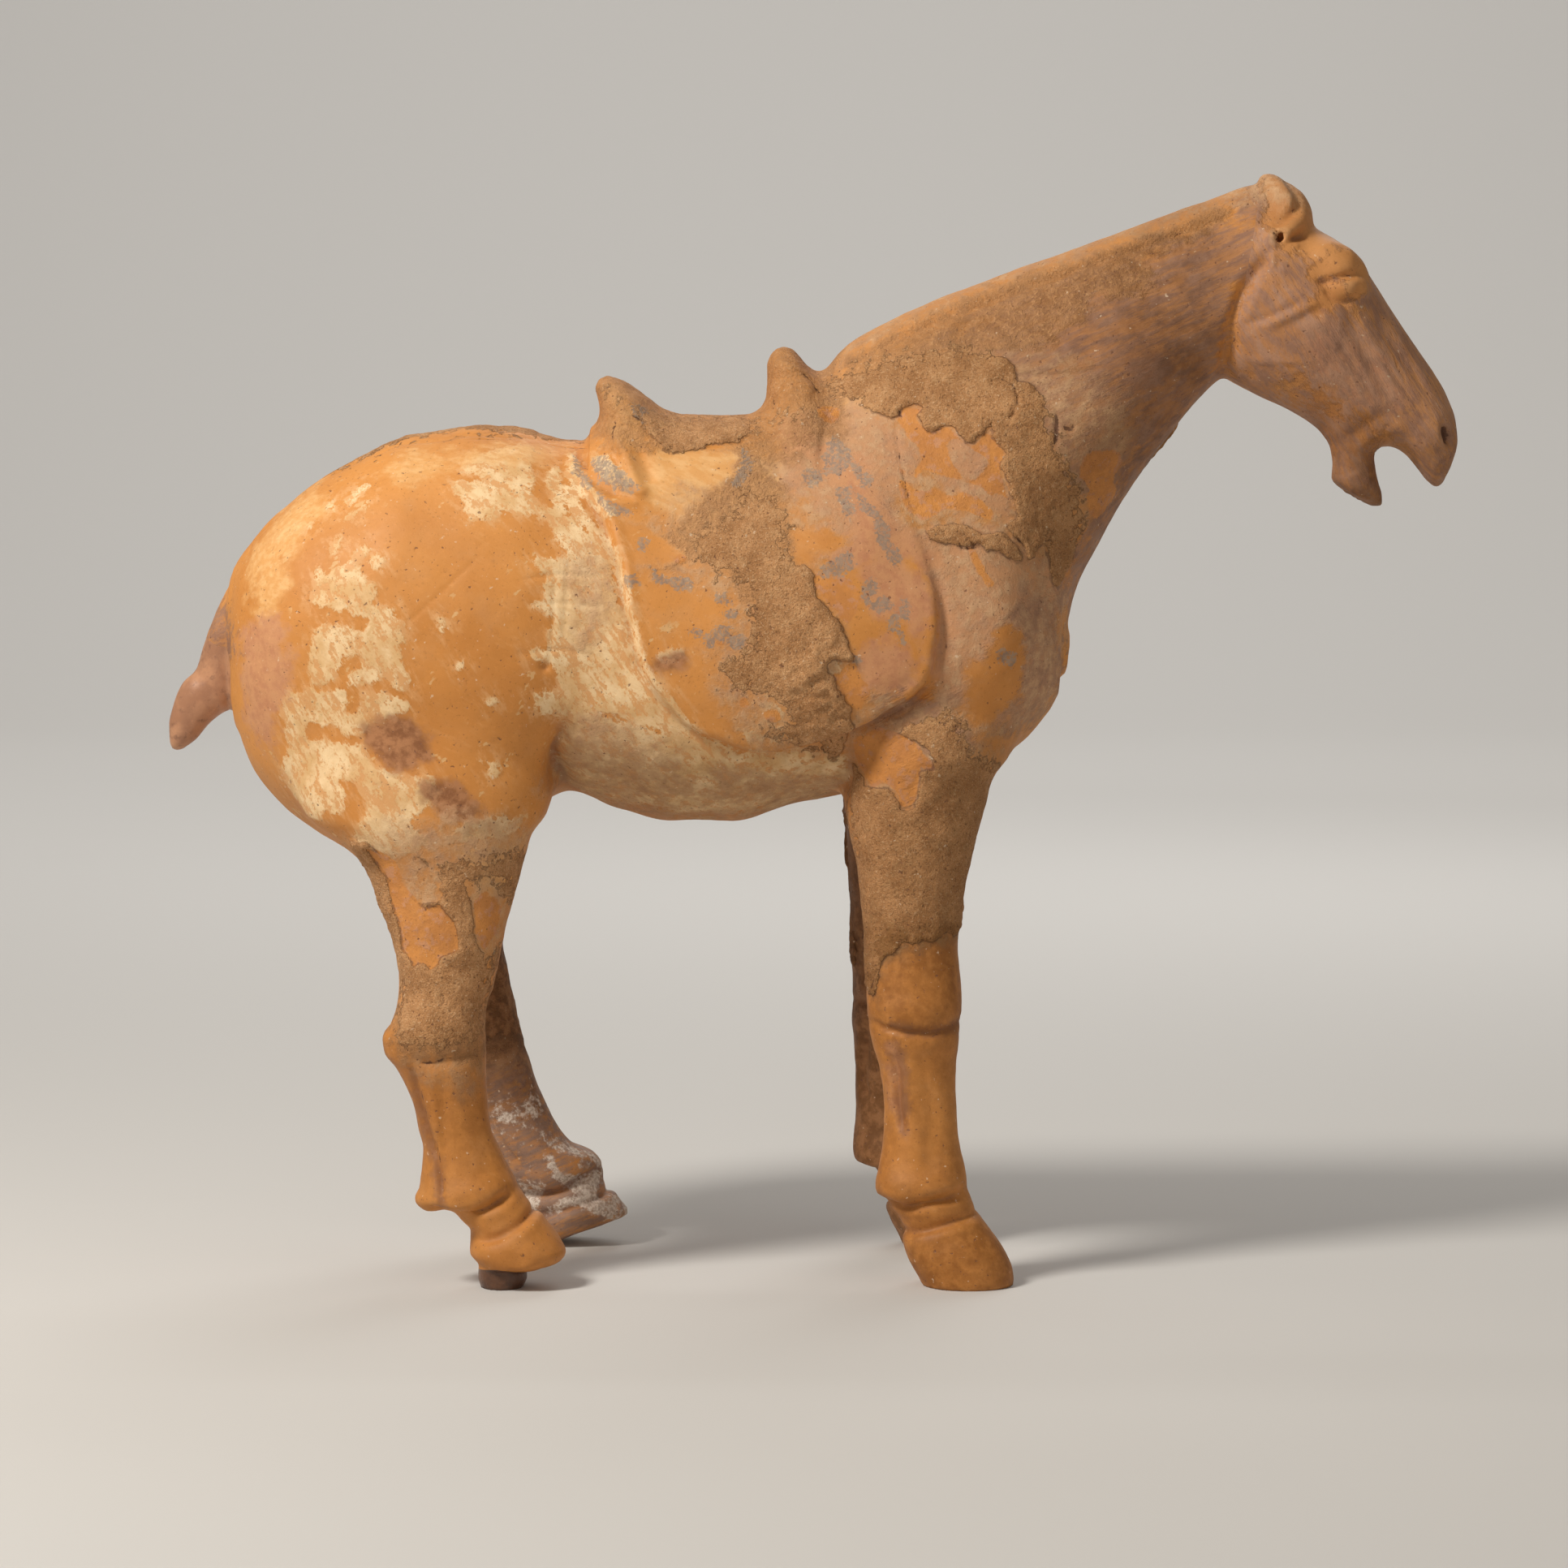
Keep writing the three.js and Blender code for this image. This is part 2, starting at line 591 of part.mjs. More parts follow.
piece("body_shell_right", body.intersect(rightHalf), CLAY.ochre);
piece("body_shell_left", body.intersect(leftHalf), CLAY.ochre);
piece("head_shell_right", headSolid.intersect(rightHalf), CLAY.mauve);
piece("head_shell_left", headSolid.intersect(leftHalf), CLAY.mauve);
piece("mane_ridge", mane(0).subtract(forelock(GAP)).subtract(pommel(GAP)), CLAY.buff);
piece("forelock", forelock(0), CLAY.ochre);
piece("ear_socket_right", ear(-1, 0).subtract(forelock(GAP)), CLAY.buff);
piece("ear_socket_left", ear(1, 0).subtract(forelock(GAP)), CLAY.buff);
piece("foreleg_right", leg(FORE_R, -1), CLAY.ochre);
piece("foreleg_left", leg(FORE_L, 1), CLAY.buff);
piece("hind_leg_right", leg(HIND_R, -1), CLAY.ochre);
piece("hind_leg_left", leg(HIND_L, 1), CLAY.brown);
piece("hind_hoof_fill_right", fill, CLAY.brown);
piece("tail", tail, CLAY.brown);
piece("saddle_seat", seat, CLAY.buff);
piece("saddle_pommel", arch(pommel(0)), CLAY.buff);
piece("saddle_cantle", arch(cantle(0)), CLAY.buff);
piece("saddle_cloth_right", cloth(-1), CLAY.ochre);
piece("saddle_cloth_left", cloth(1), CLAY.ochre);
piece("seam_coil_back", coil(inTop, COIL_R), CLAY.buff);
piece("seam_coil_groin", coil(inLow(-135, VENT_X - VENT_R - 2), COIL_R), CLAY.buff);
piece("seam_coil_chest", coil(inLow(VENT_X + VENT_R + 6, 58), COIL_R), CLAY.buff);

const box = new THREE.Box3().setFromObject(horse);
horse.userData.box = [box.min.toArray(), box.max.toArray()];

export default horse;
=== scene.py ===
# Looks of a standing fired-clay horse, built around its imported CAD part.
# One skin is grown from lofted volumes, worked over with modelled relief and burial
# crust, and then cut into the separate clay pieces. Everything below is in mm until
# the meshes are made.
import math

import bmesh
import bpy
import numpy as np
from mathutils import Matrix, Vector
from mathutils.kdtree import KDTree


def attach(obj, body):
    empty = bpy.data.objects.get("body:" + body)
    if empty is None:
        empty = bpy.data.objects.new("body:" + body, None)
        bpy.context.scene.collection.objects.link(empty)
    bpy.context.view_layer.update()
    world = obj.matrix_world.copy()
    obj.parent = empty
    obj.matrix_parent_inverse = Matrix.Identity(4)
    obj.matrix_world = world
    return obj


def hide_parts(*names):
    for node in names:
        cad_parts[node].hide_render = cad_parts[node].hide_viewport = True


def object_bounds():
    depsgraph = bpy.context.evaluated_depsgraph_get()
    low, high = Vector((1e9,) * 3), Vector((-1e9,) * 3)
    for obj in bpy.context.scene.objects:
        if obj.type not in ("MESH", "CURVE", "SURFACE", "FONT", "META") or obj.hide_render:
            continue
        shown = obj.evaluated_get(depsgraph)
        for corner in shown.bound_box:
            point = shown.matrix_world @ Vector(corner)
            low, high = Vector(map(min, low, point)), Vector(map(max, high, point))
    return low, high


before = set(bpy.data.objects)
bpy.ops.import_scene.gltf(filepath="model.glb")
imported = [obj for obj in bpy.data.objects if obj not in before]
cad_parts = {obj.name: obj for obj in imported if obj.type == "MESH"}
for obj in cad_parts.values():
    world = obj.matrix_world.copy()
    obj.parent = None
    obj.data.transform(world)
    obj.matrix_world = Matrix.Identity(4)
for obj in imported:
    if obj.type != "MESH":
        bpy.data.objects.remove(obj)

CAD_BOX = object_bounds()
VOX = 0.7

# ------------------------------------------------------------------ tables (mm)
# x, top z, bottom z, half width, height of the widest line
BARREL = [
    (-158.4, 176, 162, 4, 168.6), (-157.7, 186.4, 150.7, 12, 168), (-155.9, 193.1, 145.8, 20.5, 169),
    (-152.5, 198.4, 136.9, 28, 170), (-147.5, 204.4, 130.0, 34.5, 170), (-140.5, 210.6, 123.2, 39.8, 170),
    (-131.5, 216.8, 117.2, 43.8, 169), (-120.5, 222.8, 112.3, 46.8, 168), (-107.5, 227.6, 111.6, 48.4, 167),
    (-94.0, 229.4, 113.4, 48.6, 168), (-79.5, 228.7, 123.0, 47.8, 170), (-66.2, 225.9, 130.6, 46.2, 171),
    (-52.0, 224.4, 125.4, 45.6, 170), (-37.4, 223.2, 121.6, 46.4, 168), (-22.0, 224.6, 122.2, 47.2, 168),
    (-6.5, 229.0, 126.9, 47.2, 169), (9.0, 234.0, 130.0, 46.2, 170), (22.2, 232.0, 133.2, 44.6, 171),
    (35.5, 222.4, 134.8, 42.0, 171), (48.8, 209.1, 138.2, 37.8, 172), (57.0, 195.0, 144.4, 30.8, 170),
    (63.0, 182.0, 152.8, 21.0, 168), (66.0, 173.4, 161.0, 10.6, 167.4), (66.8, 169.5, 165.0, 4.0, 167.2),
]
# upper x, z, lower x, z, half width
NECK = [
    (-4.0, 228.0, 34.0, 138.0, 36), (2.6, 243.0, 50.4, 147.2, 34.5), (9.3, 251.6, 65.8, 160.0, 32.5),
    (21.5, 258.5, 70.9, 183.0, 29), (37.0, 265.1, 78.6, 199.0, 25.8), (53.7, 271.7, 86.2, 212.2, 22.6),
    (72.3, 278.2, 95.7, 225.6, 19.8), (90.0, 284.8, 103.4, 235.5, 17.6), (105.8, 290.2, 111.3, 242.9, 16.4),
    (119.4, 294.8, 118.5, 246.0, 15.4), (125.4, 293.5, 123, 250, 13.5),
]
DOCK = [
    (-144, 203.4, -138, 186, 16), (-151.0, 195.4, -147, 180, 12.5), (-158.7, 187.2, -152.6, 173, 10),
    (-163.4, 178.0, -156.2, 165.5, 8.2), (-166.2, 170.4, -158.2, 158.0, 6.6), (-167.6, 163, -160.0, 153.5, 5.4),
]
TAIL = [
    (-160.0, 176.0, -150.0, 163.0, 5.6), (-165.0, 170.6, -154.0, 156.0, 6.3), (-168.2, 163.6, -158.2, 153.6, 6.0),
    (-172.0, 159.8, -161.8, 151.6, 5.6), (-174.4, 154.4, -165.0, 148.9, 4.9), (-175.8, 148.6, -168.8, 144.4, 3.7),
    (-175.6, 144.2, -172.6, 141.9, 1.9), (-175.0, 142.4, -174.0, 141.6, 0.8),
]
HEAD = [
    (119.0, 290.0, 108.5, 262.0, 10.5), (124.5, 290.6, 110.4, 254.5, 14.4), (130.4, 289.6, 111.4, 248.0, 16.6),
    (135.6, 284.2, 112.6, 243.4, 18.2), (141.6, 280.6, 117.0, 240.4, 19.0), (147.0, 276.6, 122.4, 237.6, 18.9),
    (150.9, 271.0, 127.0, 235.6, 18.2), (155.0, 264.6, 132.2, 232.9, 16.9), (159.4, 258.0, 137.5, 229.6, 15.2),
    (163.9, 251.4, 143.3, 226.2, 13.6), (168.8, 244.4, 150.0, 223.8, 12.3), (172.6, 237.8, 156.6, 224.6, 11.4),
    (175.0, 231.4, 161.8, 222.0, 10.7), (175.6, 225.9, 164.6, 218.9, 9.2), (174.2, 220.1, 166.6, 216.0, 6.6),
    (172.3, 215.6, 168.8, 213.8, 3.4), (171.2, 214.0, 169.8, 213.2, 1.6),
]
JAW = [
    (136.5, 234.0, 156.5, 232.0, 10.5), (139.4, 228.6, 154.0, 226.4, 9.2), (141.2, 223.8, 152.6, 222.0, 8.2),
    (141.9, 219.6, 153.0, 218.4, 8.0), (141.6, 216.0, 154.0, 214.4, 7.8), (144.2, 212.8, 155.0, 211.6, 7.2),
    (149.0, 209.8, 155.2, 209.4, 5.0), (152.6, 208.2, 155.0, 208.2, 2.4),
]
# z, rear x, front x, centre y, half width in y
FORE_R = [
    (176, 20, 44, -8, 12), (162, 15, 49, -14, 18), (151, 11.5, 52.6, -19, 21), (141.5, 9.0, 51.2, -22, 20),
    (135.0, 8.4, 47.4, -23, 18), (128.5, 7.8, 45.7, -24, 16.5), (123.1, 8.6, 44.2, -25, 15.5), (117.8, 9.8, 42.6, -26, 14.8),
    (112.4, 11.2, 41.2, -27, 14), (107.0, 11.9, 40.1, -27.6, 13.3), (101.5, 12.5, 39.3, -28.2, 12.6), (96.1, 13.0, 38.7, -28.8, 12),
    (90.7, 13.4, 38.4, -29.3, 11.7), (85.3, 13.6, 38.7, -29.8, 11.8), (79.9, 13.7, 39.1, -30.2, 12.3), (74.4, 13.9, 39.1, -30.6, 12.5),
    (69.0, 14.5, 38.7, -31, 11.8), (63.6, 15.9, 38.3, -31.4, 10.4), (58.1, 17.1, 37.8, -31.7, 9.5), (52.7, 17.7, 37.7, -32, 9),
    (47.2, 18.1, 38.1, -32.2, 8.8), (41.8, 18.2, 38.3, -32.4, 9), (36.3, 17.8, 39.0, -32.6, 9.6), (30.9, 17.0, 40.1, -32.8, 10.8),
    (27.0, 16.4, 40.7, -33, 11.6), (23.8, 16.8, 41.6, -33.1, 11.4), (20.6, 19.4, 42.9, -33.3, 10.4), (17.8, 22.6, 44.6, -33.5, 9.9),
    (14.4, 23.6, 47.2, -33.7, 11), (11.2, 23.8, 49.4, -33.9, 12.4), (7.8, 24.6, 51.4, -34, 13.2), (4.5, 26.2, 52.9, -34, 13.6),
    (1.6, 27.9, 53.3, -34, 13.5), (0.0, 28.6, 53.2, -34, 13.2), (-3.0, 29, 53, -34, 13),
]
FORE_L = [
    (176, 20, 44, 8, 12), (160, 15, 49, 14, 18), (149, 11.5, 51.6, 19, 21), (139.1, 9.3, 50.6, 22, 20),
    (132.0, 8.8, 46.6, 23, 18), (125.4, 8.7, 44.4, 24, 16.5), (119.6, 9.2, 42.7, 25, 15.5), (113.9, 9.6, 41.0, 26, 14.8),
    (108.2, 9.9, 39.6, 27, 14), (102.4, 10.3, 38.4, 27.6, 13.3), (96.6, 10.6, 37.3, 28.2, 12.6), (90.9, 10.8, 36.6, 28.8, 12),
    (85.2, 11.1, 36.4, 29.3, 11.8), (79.4, 11.4, 36.7, 29.8, 12.2), (73.6, 11.7, 36.7, 30.2, 12.5), (67.9, 11.7, 35.8, 30.6, 11.8),
    (62.1, 11.7, 34.7, 31, 10.3), (56.4, 11.7, 33.8, 31.4, 9.4), (50.6, 11.9, 33.4, 31.7, 9), (44.8, 11.9, 33.6, 32, 8.9),
    (39.0, 12.1, 34.1, 32.3, 9.4), (33.3, 12.1, 35.0, 32.6, 10.4), (27.6, 12.1, 36.4, 32.8, 11.4), (23.6, 13.0, 37.6, 33, 11.4),
    (20.4, 17.0, 38.8, 33.2, 10.4), (17.4, 20.8, 40.4, 33.4, 9.8), (14.2, 21.5, 42.5, 33.6, 10.8), (10.9, 21.4, 44.6, 33.8, 12.2),
    (7.6, 22.1, 46.7, 34, 13), (4.2, 23.8, 48.5, 34, 13.4), (1.2, 25.2, 49.6, 34, 13.4), (0.0, 25.8, 49.6, 34, 13.0),
    (-3.0, 26, 49.4, 34, 13),
]
HIND_R = [
    (182, -126, -84, -10, 12), (166, -136, -74, -16, 20), (150, -142.5, -68.5, -22, 23.5), (138, -141.0, -69.4, -24.5, 23),
    (126.5, -137.2, -72.2, -26, 22.5), (120.0, -129.6, -76.4, -27, 21), (112.5, -120.6, -78.6, -28, 18.5),
    (107.1, -117.6, -79.9, -29, 16.5), (101.7, -115.7, -81.4, -30, 15), (96.3, -113.9, -82.9, -31, 14), (90.9, -112.4, -84.0, -31.5, 13),
    (85.5, -111.5, -85.0, -32, 12), (80.1, -111.3, -86.1, -32.5, 11.5), (74.7, -112.1, -88.1, -33, 11.8), (70.4, -113.5, -88.4, -33.4, 12.2),
    (66.4, -115.8, -88.4, -33.8, 12.2), (62.6, -115.3, -88.3, -34.1, 11.7), (58.5, -112.4, -88.3, -34.3, 11.2), (53.0, -109.3, -88.1, -34.6, 10.3), (47.6, -107.3, -87.6, -35, 9.8),
    (42.2, -106.2, -86.8, -35.3, 9.6), (36.8, -104.9, -84.4, -35.6, 9.8), (31.3, -105.2, -81.8, -36, 10.6), (26.4, -105.9, -79.0, -36.4, 11.6),
    (23.4, -107.2, -77.2, -36.6, 11.8), (20.8, -105.2, -75.2, -36.8, 11.2), (18.4, -96.6, -73.0, -37, 10.2), (15.1, -92.2, -70.0, -37.4, 10.8),
    (11.9, -92.2, -67.8, -37.8, 12), (9.3, -92.3, -66.7, -38, 12.8), (7.1, -90.6, -68.0, -38, 12.4), (5.3, -88.6, -73.4, -38, 10.4), (4.4, -86.6, -78.4, -38, 6.0),
]
HIND_L = [
    (182, -126, -84, 10, 12), (166, -136, -74, 16, 20), (150, -142.5, -68.5, 22, 23.5), (138, -140.0, -70.4, 24.5, 23),
    (125.0, -135.3, -75.6, 26, 23), (115.9, -129.8, -79.7, 27, 21), (107.8, -123.8, -82.1, 28, 18.5),
    (102.1, -120.3, -83.5, 29, 16.5), (96.3, -117.2, -85.2, 30, 15), (90.5, -114.6, -86.6, 31, 14), (84.7, -112.6, -87.1, 31.5, 13),
    (79.0, -111.1, -86.0, 32, 12), (73.2, -110.2, -84.9, 32.5, 11.5), (67.4, -109.4, -83.6, 33, 12), (61.6, -108.5, -82.3, 33.5, 12.3),
    (55.8, -104.9, -80.7, 34, 11.6), (50.1, -101.6, -78.9, 34.3, 10.6), (44.3, -98.6, -76.9, 34.6, 10), (38.5, -95.9, -74.2, 35, 9.8),
    (32.7, -93.2, -71.0, 35.4, 10), (28.5, -91.4, -67.6, 35.7, 10.6), (25.2, -90.1, -61.2, 36, 11.2), (21.5, -88.8, -58.9, 36.4, 11.6),
    (18.2, -87.0, -59.1, 36.8, 11.2), (14.9, -84.2, -57.0, 37, 11), (11.7, -82.8, -54.1, 37.4, 12), (8.8, -82.1, -52.1, 37.8, 12.6),
    (5.8, -81.7, -57.8, 38, 12.6), (2.8, -81.2, -67.0, 38, 12), (0.6, -80.8, -71.6, 38, 10.8), (-2.0, -80.5, -73, 38, 10),
]
FILL_R = [(9.0, -88.4, -76.6, -37.5, 7.4), (5.6, -89.4, -76.8, -38, 8), (2.6, -89.6, -76.6, -38, 8.2), (0.0, -89.0, -77.4, -38, 7.8), (-3, -89, -77.4, -38, 7.6)]
FORE_R = [(z, a + 0.6, b + 0.6, y, h) for z, a, b, y, h in FORE_R]
HIND_R = [(z, a + 0.6, b + 0.6, y, h) for z, a, b, y, h in HIND_R]
HIND_L = [(z, a + 0.4, b + 0.4, y, h) for z, a, b, y, h in HIND_L]
# saddle arches: z, rear x, front x, half width
POMMEL = [
    (206, -20.0, 8.0, 24.5), (214, -18.2, 8.0, 26.8), (224, -15.2, 7.6, 25.6), (233, -13.2, 6.8, 21.8), (239, -12.4, 4.6, 17.6),
    (242.8, -12.3, 1.8, 14.4), (246.4, -12.1, -1.6, 12.2), (249.4, -11.0, -4.2, 8.0), (250.9, -9.4, -6.2, 3.6), (251.2, -8.4, -7.2, 1.0),
]
CANTLE = [
    (206, -58.6, -35.0, 27.5), (214, -58.0, -36.0, 30.4), (222, -57.5, -37.6, 29.8), (230, -57.3, -40.0, 25.8), (236, -58.2, -43.4, 21.8),
    (240.2, -59.0, -48.4, 15.4), (242.4, -58.2, -52.0, 8.4), (243.3, -56.9, -54.6, 3.6), (243.6, -56.2, -55.2, 1.0),
]
SEAT = [
    (-60.0, 229.0, 182, 33.5, 200), (-52.0, 231.6, 182, 35.0, 200), (-44.0, 233.4, 182, 35.8, 200), (-32.0, 232.8, 182, 36.0, 200),
    (-20.0, 233.0, 182, 35.8, 200), (-10.0, 234.2, 182, 35.2, 200), (0.0, 235.0, 182, 34.0, 200),
]
CLOTH_EDGE = [
    (-66.4, 222.0), (-62.8, 211.7), (-57.9, 204.3), (-53.9, 196.8), (-50.5, 188.8), (-48.6, 178.1), (-45.6, 169.1),
    (-42.2, 161.4), (-37.2, 155.3), (-32.3, 150.4), (-26.5, 147.4), (-17.5, 145.0), (-9.7, 143.7), (-1.8, 144.6),
    (6.2, 146.5), (13.0, 150.0), (19.9, 153.4), (25.9, 156.4), (30.9, 161.4), (33.2, 168.2), (33.6, 176.2),
    (33.2, 186.0), (31.6, 195.7), (28.6, 203.6), (24.0, 211.4), (16.0, 222.0),
]
JOIN_TOP, JOIN_LOW = (121.6, 297.0), (110.6, 240.0)  # plane between neck and head
SEAT_Z = 211.6
WALL, HEAD_WALL = 6.5, 6.0
VENT_X, VENT_R = -32.0, 13.0


# ------------------------------------------------------------------ number tools
def pchip(xs, ys, q):
    xs, ys = np.asarray(xs, float), np.asarray(ys, float)
    if xs[0] > xs[-1]:
        xs, ys = xs[::-1], ys[::-1]
    h = np.diff(xs)
    d = np.diff(ys) / h
    m = np.zeros_like(ys)
    m[0], m[-1] = d[0], d[-1]
    for i in range(1, len(xs) - 1):
        if d[i - 1] * d[i] > 0:
            w1, w2 = 2 * h[i] + h[i - 1], h[i] + 2 * h[i - 1]
            m[i] = (w1 + w2) / (w1 / d[i - 1] + w2 / d[i])
    q = np.clip(q, xs[0], xs[-1])
    k = np.clip(np.searchsorted(xs, q) - 1, 0, len(xs) - 2)
    t = (q - xs[k]) / h[k]
    t2, t3 = t * t, t * t * t
    return (
        ys[k] * (2 * t3 - 3 * t2 + 1) + m[k] * h[k] * (t3 - 2 * t2 + t)
        + ys[k + 1] * (-2 * t3 + 3 * t2) + m[k + 1] * h[k] * (t3 - t2)
    )


def smin(a, b, k):
    h = np.maximum(k - np.abs(a - b), 0.0) / k
    return np.minimum(a, b) - h * h * k * 0.25


def smax(a, b, k):
    return -smin(-a, -b, k)


def step(e0, e1, x):
    t = np.clip((x - e0) / (e1 - e0), 0.0, 1.0)
    return t * t * (3 - 2 * t)


def hash3(ix, iy, iz, seed):
    h = (ix.astype(np.uint32) * np.uint32(374761393) + iy.astype(np.uint32) * np.uint32(668265263)
         + iz.astype(np.uint32) * np.uint32(2147483647) + np.uint32(seed * 1013904223 & 0xFFFFFFFF))
    h = (h ^ (h >> np.uint32(13))) * np.uint32(1274126177)
    h = h ^ (h >> np.uint32(16))
    return (h & np.uint32(0xFFFFFF)).astype(np.float32) / np.float32(0x7FFFFF) - 1.0


def noise(P, size, seed, octaves=1, gain=0.5):
    """Smooth noise in about -1..1 whose largest lumps are size mm."""
    out = np.zeros(len(P), np.float32)
    amp, tot = 1.0, 0.0
    with np.errstate(over="ignore"):
        for o in range(octaves):
            Q = P / (size / 2.02**o) + 37.7 * (o + 1)
            I = np.floor(Q)
            f = (Q - I).astype(np.float32)
            I = I.astype(np.int64)
            u = f * f * f * (f * (f * 6 - 15) + 10)
            acc = 0.0
            for dx in (0, 1):
                wx = u[:, 0] if dx else 1 - u[:, 0]
                for dy in (0, 1):
                    wy = u[:, 1] if dy else 1 - u[:, 1]
                    for dz in (0, 1):
                        wz = u[:, 2] if dz else 1 - u[:, 2]
                        acc = acc + wx * wy * wz * hash3(I[:, 0] + dx, I[:, 1] + dy, I[:, 2] + dz, seed + o * 7)
            out += amp * acc
            tot += amp
            amp *= gain
    return out / tot * 1.6


def seg_dist(P, line, closed=False):
    """Distance in the x, z plane to a line of points, and how far along it (0..1)."""
    L = np.asarray(line, float)
    if closed:
        L = np.vstack([L, L[:1]])
    best = np.full(len(P), 1e9)
    along = np.zeros(len(P))
    cum = np.concatenate([[0], np.cumsum(np.linalg.norm(np.diff(L, axis=0), axis=1))])
    for i in range(len(L) - 1):
        a, b = L[i], L[i + 1]
        ab = b - a
        l2 = max(float(ab @ ab), 1e-9)
        t = np.clip(((P[:, 0] - a[0]) * ab[0] + (P[:, 1] - a[1]) * ab[1]) / l2, 0, 1)
        d = np.hypot(P[:, 0] - a[0] - t * ab[0], P[:, 1] - a[1] - t * ab[1])
        m = d < best
        best[m] = d[m]
        along[m] = (cum[i] + t[m] * math.sqrt(l2)) / cum[-1]
    return best, along


def poly_in(P, poly):
    """Signed distance in the x, z plane to a closed outline, positive inside."""
    L = np.asarray(poly, float)
    inside = np.zeros(len(P), bool)
    j = len(L) - 1
    for i in range(len(L)):
        zi, zj = L[i, 1], L[j, 1]
        c = (zi > P[:, 1]) != (zj > P[:, 1])
        xx = L[i, 0] + (P[:, 1] - zi) / (zj - zi + 1e-12) * (L[j, 0] - L[i, 0])
        inside ^= c & (P[:, 0] < xx)
        j = i
    d, _ = seg_dist(P, poly, True)
    return np.where(inside, d, -d)


def smooth_line(pts, n=4, closed=False):
    """The line with n points per span, rounded."""
    P = np.asarray(pts, float)
    m = len(P)
    out = []
    for i in range(m if closed else m - 1):
        g = lambda k: P[k % m] if closed else P[min(max(k, 0), m - 1)]
        p0, p1, p2, p3 = g(i - 1), g(i), g(i + 1), g(i + 2)
        for k in range(n):
            t = k / n
            out.append(0.5 * (2 * p1 + (p2 - p0) * t + (2 * p0 - 5 * p1 + 4 * p2 - p3) * t * t + (3 * p1 - p0 - 3 * p2 + p3) * t**3))
    if not closed:
        out.append(P[-1])
    return np.array(out)


# ------------------------------------------------------------------ volumes on a grid
LO = np.array([-181.0, -54.0, -4.0])
HI = np.array([181.0, 54.0, 304.0])
N = np.ceil((HI - LO) / VOX).astype(int) + 1
GX = (LO[0] + VOX * np.arange(N[0])).astype(np.float32)
GY = (LO[1] + VOX * np.arange(N[1])).astype(np.float32)
GZ = (LO[2] + VOX * np.arange(N[2])).astype(np.float32)
FAR = np.float32(12.0)


def window(x0, x1, y0, y1, z0, z1):
    s = []
    for g, a, b in ((GX, x0, x1), (GY, y0, y1), (GZ, z0, z1)):
        s.append(slice(max(int(np.searchsorted(g, a)), 0), min(int(np.searchsorted(g, b)) + 1, len(g))))
    return tuple(s)


def to_distance(q):
    """A section field that is 1 on the surface, turned into a distance in mm."""
    gx, gy, gz = np.gradient(q, VOX)
    g = np.sqrt(gx * gx + gy * gy + gz * gz)
    return np.clip((q - 1) / np.maximum(g, 0.004), -FAR, FAR).astype(np.float32)


def bound(w, a, b, pts):
    """How far at least the points of plane (a, b) lie outside an outline."""
    g = (GX, GY, GZ)
    A_, B_ = np.meshgrid(g[a][w[a]], g[b][w[b]], indexing="ij")
    d = -poly_in(np.stack([A_.ravel(), B_.ravel()], 1).astype(float), pts).reshape(A_.shape) * 0.97 - 0.1
    return np.expand_dims(d, ({0, 1, 2} - {a, b}).pop()).astype(np.float32)


def barrel_field(table, w, grow=0.0, p=2.12):
    t = np.array(table, float)
    x = GX[w[0]]
    zc = pchip(t[:, 0], t[:, 4], x)
    up = np.sqrt(pchip(t[:, 0], (t[:, 1] - t[:, 4]) ** 2, x)) + grow
    dn = np.sqrt(pchip(t[:, 0], (t[:, 4] - t[:, 2]) ** 2, x)) + grow
    hw = np.sqrt(pchip(t[:, 0], t[:, 3] ** 2, x)) + grow
    Z = GZ[w[2]][None, :] - zc[:, None]
    v = np.where(Z > 0, Z / up[:, None], -Z / dn[:, None])
    y = np.abs(GY[w[1]])[None, :] / hw[:, None]
    q = (v[:, None, :] ** p + y[:, :, None] ** p) ** (1 / p)
    d = to_distance(q.astype(np.float32))
    # outside the outlines seen from the side and from above the distance is at least theirs
    xs = np.linspace(t[:, 0].min(), t[:, 0].max(), 130)
    zc = pchip(t[:, 0], t[:, 4], xs)
    zt = zc + np.sqrt(pchip(t[:, 0], (t[:, 1] - t[:, 4]) ** 2, xs)) + grow
    zb = zc - np.sqrt(pchip(t[:, 0], (t[:, 4] - t[:, 2]) ** 2, xs)) - grow
    h = np.sqrt(pchip(t[:, 0], t[:, 3] ** 2, xs)) + grow
    side_view = np.vstack([np.stack([xs, zt], 1), np.stack([xs, zb], 1)[::-1]])
    top_view = np.vstack([np.stack([xs, h], 1), np.stack([xs, -h], 1)[::-1]])
    d = np.maximum(d, np.maximum(bound(w, 0, 2, side_view), bound(w, 0, 1, top_view)))
    return np.clip(d, -FAR, FAR).astype(np.float32)


